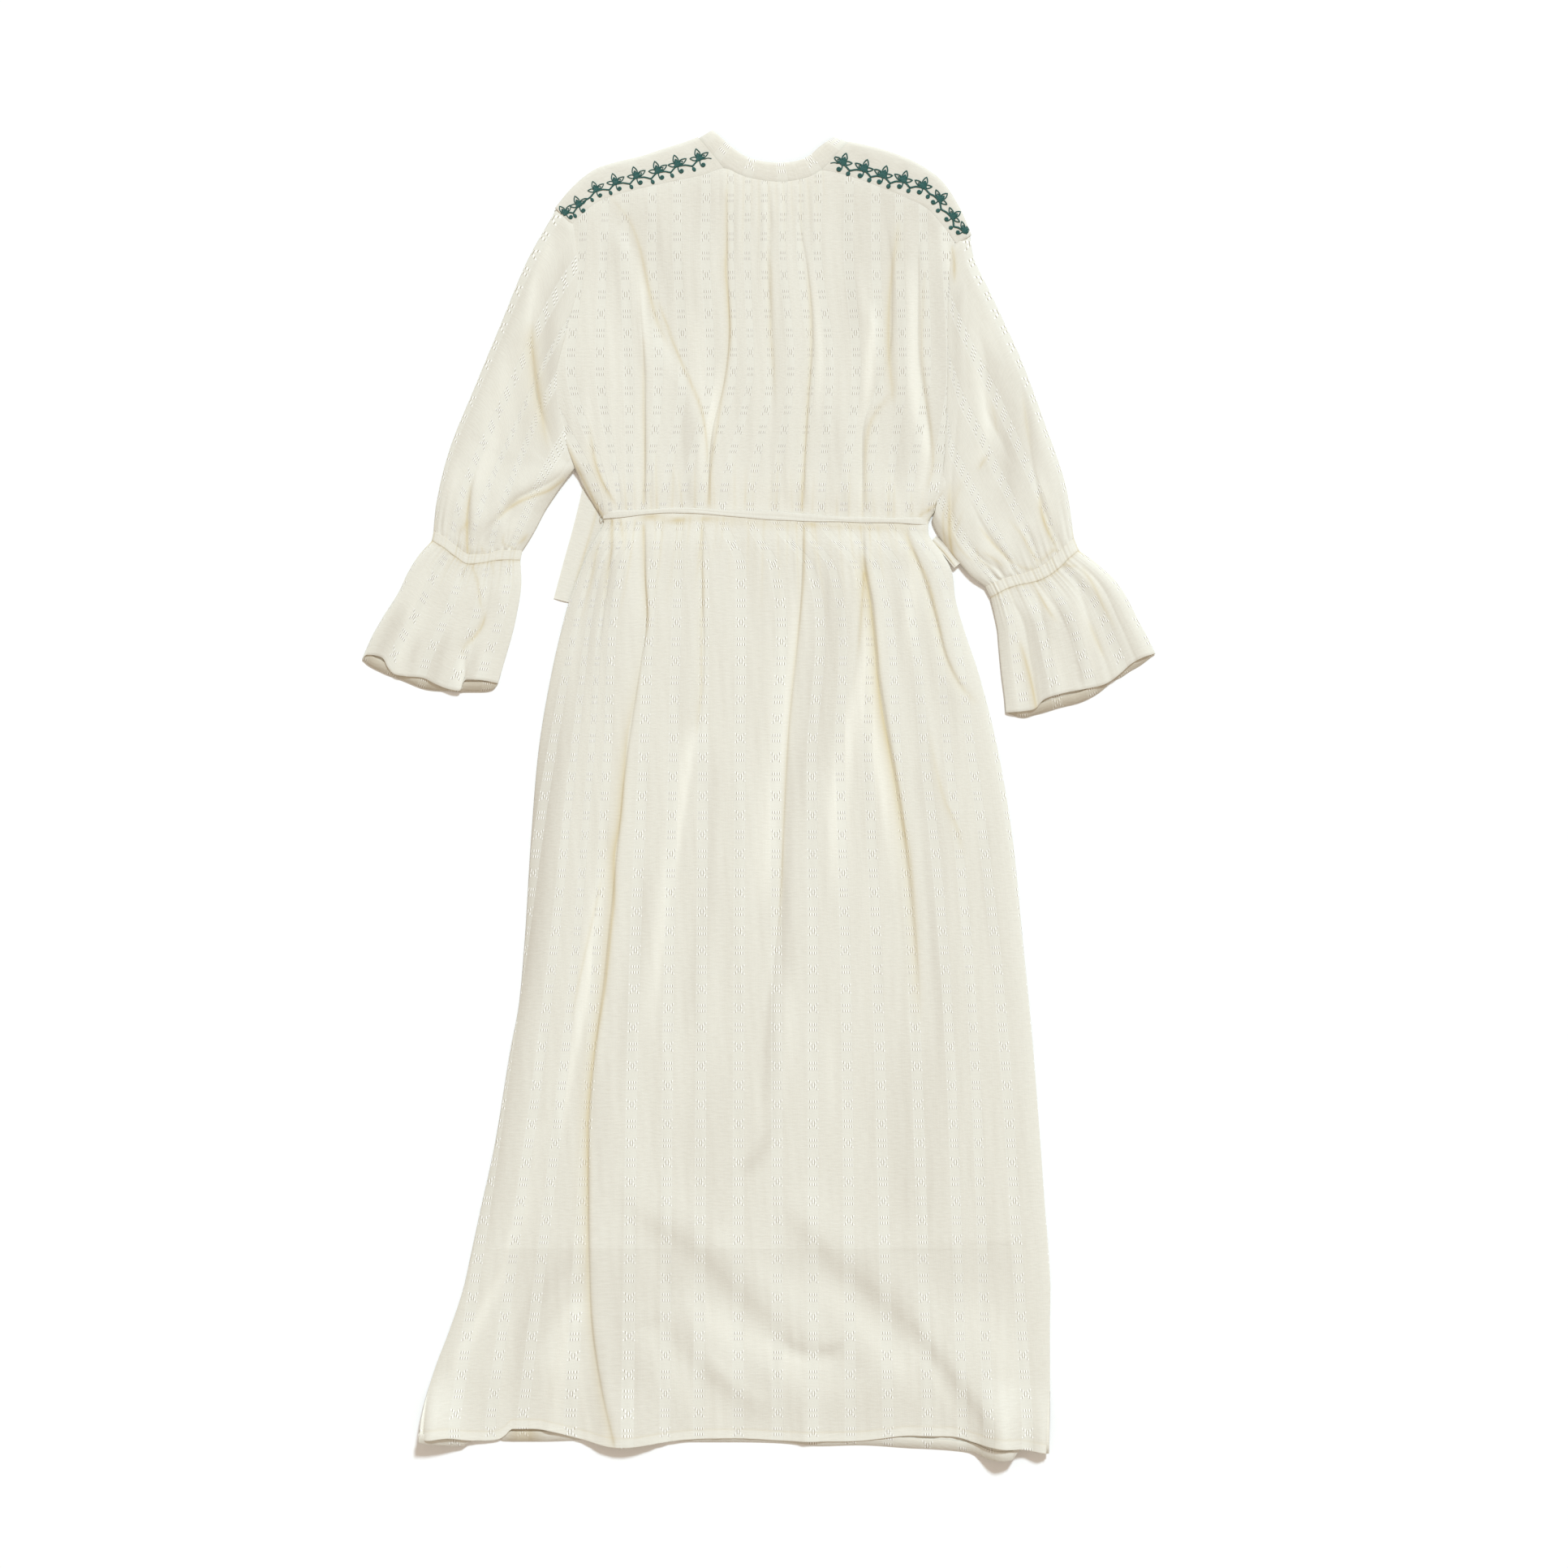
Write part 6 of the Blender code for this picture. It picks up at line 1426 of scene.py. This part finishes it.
def makeSleeve(side):
    s = sleeves[side]
    long = sleeves["long"]["sleeve"]
    outward = -1 if side == "left" else 1
    downs = np.linspace(s["armhole"][1] + sleeves["armholeLow"], s["edges"][0][3], 40)
    seam = [(float(sideLine(side, down)) + outward * sleeves["seamGap"], down) for down in downs]
    line = [*s["tucked"]] + [(x - outward * sleeves["tuckIn"], down) for x, down in seam]
    below = [line[0], s["armhole"]] + seam[:-1] + [line[-1]]
    edges = [line[0] + line[-1]] + s["edges"][1:]

    def height(x, down, share, across, edge):
        fromCasing = ease((1 - share) * long / sleeves["fromSeam"])
        lift = sleeves["folds"]["sleeve"] * foldHeight(x, down, s["folds"])
        lift = lift * (1 - np.exp(-edge / sleeves["foldsFromEdge"]["sleeve"]))
        lift = lift + soft("sleeve", x, down) * ease(edge / 20)
        lift = lift * ease(share * 12) * (0.3 + 0.7 * ease((1 - share) * 6)) * fromCasing
        nearCasing = np.exp(-((1 - share) * 9) ** 2) * ease(edge / 8) * fromCasing
        fromEdge = ease(edge / sleeves["rucheEdge"])
        gather = soft("gather", across * 100, share * 30) * nearCasing
        gather = gather + sleeves["ruche"] * ruched(across) * ease(share * 25 - 24) * fromEdge
        tuck = sleeves["tuck"] * np.exp(-(share * long / sleeves["tuckLong"]) ** 2) * fromEdge
        return upperProfile(edge, sleeves["top"]) + lift + gather - tuck

    def tone(x, down, share, across):
        # painted crease shade and painted light and shade, with painted shade in the gathers'
        # valleys near the casing
        shade = clothTone(x, down, s)
        fade = np.exp((share - 1) * long / sleeves["pinchLong"])
        shade[..., 0] += sleeves["pinch"] * pinched(across) * fade
        return np.clip(shade, -1, 1)

    piece = makeTube(side + "Sleeve", edges, line, pairs(s["casing"]), (100, 130, 26), height,
                     tone, startBelow=below, length=long, lifts=s["lifts"])
    finishCloth(piece, stripedGauze, ["sleeve_" + side])


def makeCasing(side):
    s = sleeves[side]

    def height(x, down, share, across, edge):
        crown = sleeves["ruche"] * ruched(across) * ease(edge / sleeves["rucheEdge"])
        return upperProfile(edge, sleeves["top"]) + crown

    def tone(x, down, share, across):
        # the seam lines, and painted shade in the gathers' valleys
        top, foot, sharp, broken = sleeves["seams"]
        seams = top * np.exp(-share * sharp) + foot * np.exp((share - 1) * sharp)
        fold = (seams * (1 + broken * ruched(across))
                + sleeves["casingPinch"] * sleeves["pinch"] * pinched(across))
        return np.stack([np.clip(fold, 0, 1), sleeves["casingPale"] + 0 * fold], -1)

    start, end = pairs(s["casing"]), pairs(s["casing"], 2)
    edges = [start[0] + start[-1], end[0] + end[-1]]
    piece = makeTube(side + "Casing", edges, start, end, (9, 150, 24), height, tone,
                     length=sleeves["long"]["casing"], rolled=True, lifts=s["lifts"])
    finishCloth(piece, plainGauze, ["casing_" + side])


def makeFlounce(side):
    s = sleeves[side]
    long = sleeves["long"]["flounce"]

    def height(x, down, share, across, edge):
        lift = sleeves["folds"]["flounce"] * foldHeight(x, down, s["flounceFolds"])
        lift = lift * ease(share * 3) + sleeves["mouthRise"] * share
        lift = lift + soft("flounce", across * 120, share * 60)
        lift = lift * (1 - np.exp(-edge / sleeves["foldsFromEdge"]["flounce"]))
        small = sleeves["ruche"] * ruched(across) * (1 - ease(share * 2.2))
        small = small * ease(edge / sleeves["rucheEdge"])
        return upperProfile(edge, sleeves["top"]) + lift + small

    def tone(x, down, share, across):
        # painted crease shade and painted light and shade, painted shade in the gathers' valleys
        # near the top, and a seam line
        shade = clothTone(x, down, s, "flounce")
        fade = sum(strong * np.exp(-share * long / far) for strong, far in sleeves["pinchFade"])
        shade[..., 0] += sleeves["flouncePinch"] * sleeves["pinch"] * pinched(across) * fade
        shade[..., 0] += sleeves["seamLine"] * np.exp(-share * long)
        return np.clip(shade, -1, 1)

    mouth = s["mouth"]
    piece = makeTube(side + "Flounce", s["flounce"], pairs(s["casing"], 2), pairs(mouth),
                     (44, 130, 50), height, tone, endBelow=[(m[0], m[2]) for m in mouth],
                     length=long, turned=True, lifts=s["lifts"])
    finishCloth(piece, stripedGauze, ["flounce_" + side])


for side in ("left", "right"):
    makeSleeve(side)
    makeCasing(side)
    makeFlounce(side)
print("sleeves made")

# yokes and collar

yokes = {
    "top": 6.0, "columns": 60, "front": {"left": 39.0, "right": 40.0}, "pastBand": 3.0,
    "tone": {"left": (0.0, -0.1), "right": (0.0, -0.25)},
    # rows from the seam towards the fold: share of the way there, and how far it sinks by then
    "flat": (0.72, 14), "sink": 0.4, "atSeam": 0.25, "outerLow": 0.2, "outerFrom": 0.84,
    "soft": (6, 30, 1.5, 0.3),         # unevenness: seed, size, stretch, height
    # the fold over the shoulder: inset from it and height, on the back and then on the front
    "overBack": [(5.0, 5.35), (3.2, 5.0), (1.7, 4.35), (0.6, 3.5), (0, 2.6)],
    "overFront": [(0.5, 1.5), (1.8, 0.6), (4.5, 0.2)],
    "frontShares": (0.4, 0.7, 1.0), "frontLow": 0.2, "frontLong": 40.0,
    "clothWidth": 170.0,
    "end": [(0.3, 0.4, 0.5), (0.4, 1.0, 1.2)], "endDeep": 0.9,   # out, down, cloth used
}
collar = {
    # free x, free down, seam x, seam down
    "back": [(-46, -3.5, -58.5, 4), (-36, 5.5, -49.5, 15), (-24, 16, -37, 29),
             (-12, 23.5, -20, 39.5), (3, 28, 2, 45.8), (20, 29.5, 20, 47.5), (39, 27.5, 40, 45.5),
             (51, 22, 55, 40), (60, 14, 67, 30), (75, 3.2, 87.5, 7.8)],
    "front": [(-46, -3.5, -58.5, 4), (-45, 24, -57, 28), (-27, 60, -38, 71), (14, 80, 14, 94),
              (50, 64, 61, 75), (72, 28, 84, 32), (75, 3.2, 87.5, 7.8)],
    "top": 5.6, "tone": (0.0, -0.15), "columns": (70, 46), "rows": 7,
    # the free edge is folded, and the sewn one lies under the back and the yokes
    "pastFree": -0.03, "pastSeam": 1.22, "crown": 0.35, "freeDip": 0.8, "seamDip": 0.9,
    "long": (180.0, 300.0), "reach": (135.0, 230.0), "wide": 15.0, "firstStripe": 8.9,
}


# a yoke's front edge, from the collar outwards
def yokeFront(side):
    seam = pairs(shoulders[side], 2)
    first = next(i for i, point in enumerate(seam) if point[1] > yokes["front"][side])
    band, way = (collar["front"][1], -1) if side == "left" else (collar["front"][-2], 1)
    return [(band[2] + way * yokes["pastBand"], yokes["front"][side])] + seam[first + 1:]


def makeYoke(side):
    steps = np.linspace(0, 1, yokes["columns"])
    shoulder = shoulders[side]
    seamX = np.linspace(shoulder[0][2], shoulder[-1][2], 80)
    back = spline(np.stack([seamX, backTop(seamX)], -1), steps)
    fold = spline(pairs(shoulder), steps)
    front = spline(yokeFront(side), steps)
    wide = np.linalg.norm(back - fold, axis=1)
    toBack = (back - fold) / wide[:, None]
    toFront = (front - fold) / np.linalg.norm(front - fold, axis=1)[:, None]
    outer = ease((steps - yokes["outerFrom"]) / (1 - yokes["outerFrom"]))
    low = 1 - yokes["outerLow"] * outer
    flat = np.zeros(len(steps))
    rows = []   # points, heights, cloth used
    seed, size, stretch, high = yokes["soft"]
    for share in np.linspace(0, *yokes["flat"]):
        point = back + (fold - back) * share
        uneven = high * unevenness(point[:, 0], point[:, 1], seed, size, stretch)
        z = yokes["top"] - yokes["sink"] * share + uneven * ease(share * 6)
        z = z - yokes["atSeam"] * np.exp(-share * 30)
        rows.append((point, z * low, wide * share))
    for inset, z in yokes["overBack"]:
        rows.append((fold + toBack * inset, z * low, wide - inset * 0.9))
    for inset, z in yokes["overFront"]:
        rows.append((fold + toFront * inset, flat + z, wide + 3 + inset))
    for share in yokes["frontShares"]:
        rows.append((fold + (front - fold) * share, flat + yokes["frontLow"],
                     wide + 6 + yokes["frontLong"] * share))
    points, heights, used = (np.array(part) for part in zip(*rows))
    grid = np.concatenate([points, heights[..., None]], -1)
    uv = np.stack([np.repeat(steps[None] * yokes["clothWidth"], len(rows), 0), used], -1)
    # the outer end rolls down to the sleeve
    way = grid[:, -1] - grid[:, -2]
    way[:, 2] = 0
    way /= np.linalg.norm(way, axis=1)[:, None]
    sink = np.array([0, 0, 1]) * np.minimum(yokes["endDeep"], grid[:, -1:, 2] * 0.3)
    end = [grid[:, -1] + way * out - sink * drop for out, drop, _ in yokes["end"]]
    endUv = [uv[:, -1] + (length, 0) for *_, length in yokes["end"]]
    grid = np.concatenate([grid, np.stack(end, 1)], axis=1)
    uv = np.concatenate([uv, np.stack(endUv, 1)], axis=1)
    piece = makeCloth(side + "Yoke", grid, uv, faceUp=20,
                      tone=np.tile(yokes["tone"][side], (*grid.shape[:2], 1)))
    finishCloth(piece, plainGauze, ["yoke_" + side])
    return piece


def makeCollar():
    steps = [acrossSteps(collar["columns"][0]), acrossSteps(collar["columns"][1])[1:-1][::-1]]
    edges = [np.minimum(t, 1 - t) * far for t, far in zip(steps, collar["reach"])]
    around = np.concatenate([steps[0] * collar["long"][0],
                             collar["long"][0] + (1 - steps[1]) * collar["long"][1]])
    rows, uv = [], []
    shares = [collar["pastFree"], *np.linspace(0, 1, collar["rows"]), collar["pastSeam"]]
    for share in shares:
        points = []
        for table, t in zip((collar["back"], collar["front"]), steps):
            points.append((1 - share) * spline(pairs(table), t)
                          + share * spline(pairs(table, 2), t))
        crown = (collar["crown"] * math.sin(math.pi * share) - collar["seamDip"] * (share > 1)
                 - collar["freeDip"] * (share < 0))
        z = np.concatenate([upperProfile(edges[0], collar["top"]) + crown,
                            lowerProfile(edges[1])])
        rows.append(np.concatenate([np.concatenate(points), z[:, None]], 1))
        along = np.full(len(around), share * collar["wide"] + 5)
        uv.append(np.stack([collar["firstStripe"] + around, along], -1))
    tone = np.tile(collar["tone"], (len(rows), len(around), 1))
    piece = makeCloth("collarBand", np.array(rows), np.array(uv), closed=True, faceUp=30,
                      tone=tone)
    finishCloth(piece, stripedGauze, ["collar"])


leftYoke, rightYoke = makeYoke("left"), makeYoke("right")
makeCollar()
print("yokes and collar made")

# the tie

tie = {
    "ends": (-153.0, 166.0), "clearance": 0.1, "thick": 0.3, "taper": 9.0,
    "steps": 260, "around": 22, "clothWide": 16.0,
    "soft": (7, 60, 1.0, 4, 0.12),     # unevenness of its width: seed, size, stretch, count, share
    # where the strip is folded over itself: from, to, fade; its edge shows as a groove that
    # crosses from one side to the other
    "doubled": (-90.0, 110.0, 40.0), "groove": (0.3, 0.55), "crossing": (0.6, -2.4, 200.0),
    # x, down, width
    "line": [(-156, 377, 7.5), (-128, 375, 6), (-107, 373.5, 5), (-84, 372, 4.5), (-62, 372.5, 5),
             (-28, 375, 6.5), (12, 377, 8), (52, 379.5, 7.5), (92, 381, 5), (132, 382, 5),
             (160, 382.5, 6), (172, 383, 6)],
    "left": {"path": [(-155.5, 326), (-159.5, 350), (-167.5, 385), (-178.5, 425), (-188.5, 462)],
             "width": 28.0, "crease": 0.25, "up": (0.5, 0.5)},
    "right": {"path": [(172.5, 400), (179, 406), (184.5, 411.5), (190, 418), (196.5, 425.8)],
              "width": 8.5, "crease": -0.5, "up": (0.5, 4.0)},
}


def makeBelt():
    left, right = tie["ends"]
    x = np.linspace(left, right, tie["steps"])
    down, width = readTable(tie["line"], x), readTable(tie["line"], x, 2)
    base = backHeight(x, down)
    angles = np.linspace(0, 2 * math.pi, tie["around"] + 1)[:-1]
    seed, size, stretch, count, share = tie["soft"]
    wide = 1 + share * unevenness(x, 0 * x, seed, size, stretch, count)
    start, end, fade = tie["doubled"]
    doubled = ease((x - start) / fade) * ease((end - x) / fade)
    middle, drift, long = tie["crossing"]
    crossing = middle + drift * (x - start) / long
    thick = 0.15 + 0.85 * ease((x - left) / tie["taper"]) * ease((right - x) / tie["taper"])
    deep, half = tie["groove"]
    rows = []
    for a in angles:
        y = width / 2 * wide * np.cos(a)
        groove = deep * np.exp(-((-y - crossing) / half) ** 2) * doubled * (math.sin(a) > 0)
        z = (tie["thick"] * np.sin(a) * (1 + 0.5 * doubled * np.cos(a)) - groove) * thick
        z = base + tie["clearance"] + tie["thick"] + z - 0.5 * (1 - thick)
        rows.append(np.stack([x, down + y, z], -1))
    grid = np.stack(rows, 1)
    around = np.repeat((angles / (2 * math.pi) * tie["clothWide"])[None], len(x), 0)
    uv = np.stack([around, np.repeat(x[:, None], len(angles), 1)], -1)
    piece = makeCloth("waistTie", grid, uv, closed=True, faceUp=3)
    finishCloth(piece, plainGauze, ["belt"])


def makeTieEnd(side):
    s = tie[side]
    steps, across = np.linspace(0, 1, 60), np.linspace(-1, 1, 25)
    path = spline(s["path"], steps)
    run = np.gradient(path, axis=0)
    run /= np.linalg.norm(run, axis=1)[:, None]
    sideways = np.stack([run[:, 1], -run[:, 0]], 1)
    rows, tone = [], []
    for point, way, t in zip(path, sideways, steps):
        line = s["crease"] + 0.06 * math.sin(5 * t)
        crease = 0.5 * math.exp(-((t - 0.5) / 0.5) ** 2)
        z = (1 - t) * s["up"][0] + t * s["up"][1] + 0.25 * np.cos(across * 5 + 2 * t)
        z = z + crease * np.exp(-((across - line) / 0.12) ** 2)
        # painted shade along the crease, and painted shade on one side of it
        paintedShade = 0.6 * np.exp(-np.abs(across - line) * s["width"] / 2) * ease(4 - 4 * t)
        tone.append(np.stack([paintedShade, -0.25 * ease((across - line) * 8)], -1))
        line = point[None, :] + way[None, :] * (across * s["width"] / 2)[:, None]
        rows.append(np.concatenate([line, z[:, None]], 1))
    grid = np.array(rows)
    long = np.linalg.norm(np.diff(path, axis=0), axis=1).sum()
    uv = np.stack([np.repeat(across[None] * s["width"] / 2, len(steps), 0),
                   np.repeat(steps[:, None] * long, len(across), 1)], -1)
    piece = makeCloth(side + "TieEnd", grid, uv, faceUp=5, tone=np.array(tone))
    # on the real tie the narrow strip's edges are turned in; this sheet has plain edges
    finishCloth(piece, plainGauze,
                ["tie_end_" + side])


# the thread loop that holds the tie at the left side
loop = {"x": -155.0, "down": 379.5, "up": 2.2, "radius": 3.1, "thick": 0.45, "narrow": 0.45}


def makeLoop():
    bpy.ops.mesh.primitive_torus_add(
        major_segments=32, minor_segments=10, major_radius=loop["radius"] * mm,
        minor_radius=loop["thick"] * mm)
    piece = bpy.context.view_layer.objects.active
    piece.name = "threadLoop"
    piece.scale = (loop["narrow"], 1, 1)
    piece.location = (loop["x"] * mm, (dressLength / 2 - loop["down"]) * mm, loop["up"] * mm)
    selectOnly(piece)
    bpy.ops.object.transform_apply(location=True, rotation=True, scale=True)
    bpy.ops.object.shade_smooth()
    piece.data.materials.append(creamThread)
    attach(piece, "root")


makeBelt()
makeTieEnd("left")
makeTieEnd("right")
makeLoop()
print("tie made")

# the embroidered vine on the yokes

vine = {
    # x, down, size, turn to the left in degrees; from the collar outwards
    "left": [(-58.5, 24.8, 1.0, 0), (-80.0, 31.0, 1.0, 0), (-99.2, 37.2, 1.0, 0),
             (-120.3, 42.4, 0.98, 0), (-140.9, 48.6, 0.95, 0), (-160.1, 55.8, 0.9, 4),
             (-177.2, 70.6, 0.95, 6), (-190.6, 78.6, 0.9, 22)],
    "right": [(83.4, 29.2, 1.0, 0), (104.3, 35.4, 1.0, 0), (123.2, 41.6, 1.0, 0),
              (143.0, 46.2, 0.98, 0), (162.6, 52.2, 0.95, -2), (179.0, 65.2, 0.95, -34),
              (192.0, 82.4, 0.92, -36), (203.2, 95.8, 0.88, -40)],
    # base, tip, width
    "petals": [((-0.4, 0.4), (-2.9, 8.6), 4.6), ((1.0, 0.2), (8.4, 5.2), 3.9),
               ((-1.2, -0.8), (-8.4, -0.6), 3.2)],
    "joint": (-6.4, -7.4), "bud": (-4.6, -10.4), "berry": (4.0, -6.2),
    # filled ovals at the heart: x, y, wide, long, turn
    "heart": [(-0.2, -0.5, 5.0, 4.6, 0.3), (1.6, 0.2, 4.4, 2.8, 0.5), (-0.9, 1.9, 2.6, 4.2, 0.3)],
    "curl": [(0.6, -2.4), (0.9, -4.4), (1.6, -6.4), (2.8, -7.8), (4.4, -8.0)],
    "tail": [(1.5, -0.5), (5, -0.8), (8, 0), (11.5, -0.6)], "raised": 0.25, "flat": 0.75,
    "cutOff": {"left": (2,), "right": (0, 2)},
    "line": 0.5, "inner": 0.38, "stem": 0.74, "size": 1.07, "bold": {"left": 1.08, "right": 1.28},
}


# a laid thread as a thin tube, flattened on the cloth
def threadLine(points, half, closed=False):
    curve = bpy.data.curves.new("thread", "CURVE")
    curve.dimensions = "3D"
    curve.bevel_depth = half * mm
    curve.bevel_resolution = 1
    line = curve.splines.new("POLY")
    line.points.add(len(points) - 1)
    for point, (x, y) in zip(line.points, points):
        point.co = (x * mm, y * mm, 0, 1)
    line.use_cyclic_u = closed
    thing = bpy.data.objects.new("thread", curve)
    bpy.context.scene.collection.objects.link(thing)
    selectOnly(thing)
    bpy.ops.object.convert(target="MESH")
    return bpy.context.view_layer.objects.active


def petalLine(base, tip, width, count=9):
    base, tip = np.array(base), np.array(tip)
    way = tip - base
    sideways = np.array([-way[1], way[0]]) / np.linalg.norm(way)
    t = np.linspace(0, 1, count)
    bulge = width / 2 * np.sin(math.pi * t) ** 0.75 * (1 + 0.25 * np.cos(math.pi * t))
    there = base + way * t[:, None] + sideways * bulge[:, None]
    back = base + way * t[::-1, None] - sideways * bulge[::-1, None]
    return [tuple(p) for p in np.concatenate([there, back[1:-1]])]


def filledOval(place, wide, long, turn, high=0.8):
    bpy.ops.mesh.primitive_uv_sphere_add(segments=12, ring_count=6, radius=1, location=(
        place[0] * mm, place[1] * mm, 0), rotation=(0, 0, turn))
    oval = bpy.context.view_layer.objects.active
    oval.scale = (wide / 2 * mm, long / 2 * mm, high * mm)
    return oval


# a petal that is cut off is only begun, with a few stitches
def makeSprig(cutOff=(), bold=1.0):
    parts = []
    for number, (base, tip, width) in enumerate(vine["petals"]):
        if number in cutOff:
            far = math.dist(base, tip) * 0.62
            toward = math.atan2(tip[1] - base[1], tip[0] - base[0])
            for turn in (-0.5, -0.2, 0.15, 0.45):
                end = (far * math.cos(toward + turn), far * math.sin(toward + turn))
                parts.append(threadLine([base, end], vine["line"] * bold))
            continue
        parts.append(threadLine(petalLine(base, tip, width), vine["line"] * bold, True))
        if number < 2:   # the two larger petals have a second line inside
            base, way = np.array(base), np.subtract(tip, base)
            inner = petalLine(base + way * 0.16, base + way * 0.55, width * 0.5, 6)
            parts.append(threadLine(inner, vine["inner"] * bold, True))
    for x, y, wide, long, turn in vine["heart"]:
        parts.append(filledOval((x, y), wide * bold, long * bold, turn))
    for angle in range(0, 360, 30):   # single stitches crossing the heart
        far = 3.3 if angle % 60 else 2.6
        a = math.radians(angle + 11)
        end = (far * math.cos(a), far * math.sin(a) - 0.3)
        parts.append(threadLine([(0.2, -0.3), end], vine["inner"] * bold))
    berry, bud, joint = (np.array(vine[key]) for key in ("berry", "bud", "joint"))
    parts.append(threadLine(vine["curl"], vine["line"] * bold))
    bpy.ops.mesh.primitive_torus_add(major_segments=14, minor_segments=6, major_radius=1.15 * mm,
                                     minor_radius=0.85 * bold * mm, location=(*(berry * mm), 0))
    parts.append(bpy.context.view_layer.objects.active)
    if not cutOff:
        halfway = joint * 0.5 + bud * 0.5 + (-0.3, 0.2)
        parts.append(threadLine([joint, halfway, bud], vine["line"] * bold))
        parts.append(filledOval(bud, 3.2 * bold, 4.6, 0.5))
    selectOnly(*parts)
    bpy.ops.object.transform_apply(location=True, rotation=True, scale=True)
    return joinAs("sprig", parts)


def onVine(flower, point, mirrored):
    x, down, size, turn = flower
    size *= vine["size"]
    px, py = point[0] * (-1 if mirrored else 1) * size, point[1] * size
    a = math.radians(turn)
    return (x + px * math.cos(a) - py * math.sin(a),
            dressLength / 2 - down + px * math.sin(a) + py * math.cos(a))


# lays a piece modelled in the plane on the cloths below it
def layOn(piece, cloths):
    trees = [BVHTree.FromObject(c, bpy.context.evaluated_depsgraph_get()) for c in cloths]
    for vertex in piece.data.vertices:
        above = Vector((vertex.co.x, vertex.co.y, 0.1))
        hits = [tree.ray_cast(above, Vector((0, 0, -1)))[0] for tree in trees]
        top = max([hit.z for hit in hits if hit], default=0.002)
        vertex.co.z = top + vine["raised"] * mm + vertex.co.z * vine["flat"]


def makeVine(side, cloths):
    flowers, mirrored = vine[side], side == "right"
    parts = []
    for number, flower in enumerate(flowers):
        last = number == len(flowers) - 1
        sprig = makeSprig(vine["cutOff"][side] if last else (), vine["bold"][side])
        x, y = onVine(flower, (0, 0), mirrored)
        sprig.location = (x * mm, y * mm, 0)
        sprig.rotation_euler = (0, 0, math.radians(flower[3]))
        size = flower[2] * vine["size"]
        sprig.scale = (-size if mirrored else size, size, size)
        selectOnly(sprig)
        bpy.ops.object.transform_apply(location=True, rotation=True, scale=True)
        if mirrored:
            sprig.data.flip_normals()
        parts.append(sprig)
        if not last:
            path = [onVine(flower, p, mirrored) for p in ((-1, -2), (-3.6, -4.6))]
            path.append(onVine(flower, vine["joint"], mirrored))
            after = flowers[number + 1]
            end = onVine(after, (1.0, -1.6), mirrored)
            middle = [(a + b) / 2 for a, b in zip(path[-1], end)]
            path += [(middle[0], middle[1] + 0.9), end]
            path = spline(path, np.linspace(0, 1, 15))
            parts.append(threadLine(path, vine["stem"] * vine["bold"][side]))
    tail = [onVine(flowers[0], point, mirrored) for point in vine["tail"]]
    parts.append(threadLine(spline(tail, np.linspace(0, 1, 8)), vine["line"]))
    piece = joinAs(side + "Vine", parts)
    layOn(piece, cloths)
    piece.data.materials.clear()
    piece.data.materials.append(tealThread)
    bpy.ops.object.shade_smooth()
    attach(piece, "root")


makeVine("left", [leftYoke, backPanel])
makeVine("right", [rightYoke, backPanel])
print("embroidery made")

# floor and light

floor = {"size": 20.0, "low": -0.0006, "color": "#F7F7F6", "roughness": 0.9}
bpy.ops.mesh.primitive_plane_add(size=floor["size"], location=(0, 0, floor["low"]))
ground = bpy.context.view_layer.objects.active
ground.name = "floor"
# Seamless photographic paper: matt white.
paper, paperShader = newMaterial("whitePaper")
paperShader.inputs["Base Color"].default_value = linear(floor["color"])
paperShader.inputs["Roughness"].default_value = floor["roughness"]
ground.data.materials.append(paper)

# one softened lamp high above the top edge, and warm light from all around
light = {"key": 3.1, "from": (0.33, 0.95, 0.95), "softness": 9.0, "keyColor": "#E2F3FF",
         "fill": 0.6, "fillColor": "#FFEEDC"}
lamp = bpy.data.objects.new("key", bpy.data.lights.new("key", "SUN"))
bpy.context.scene.collection.objects.link(lamp)
lamp.location = light["from"]
lamp.rotation_euler = lamp.location.to_track_quat("Z", "Y").to_euler()
lamp.data.energy = light["key"]
lamp.data.angle = math.radians(light["softness"])
lamp.data.color = linear(light["keyColor"])[:3]
world = bpy.data.worlds.new("studio")
bpy.context.scene.world = world
world.use_nodes = True
world.node_tree.nodes["Background"].inputs[0].default_value = linear(light["fillColor"])
world.node_tree.nodes["Background"].inputs[1].default_value = light["fill"]
bpy.context.scene.view_settings.view_transform = "Standard"

print("scene done")
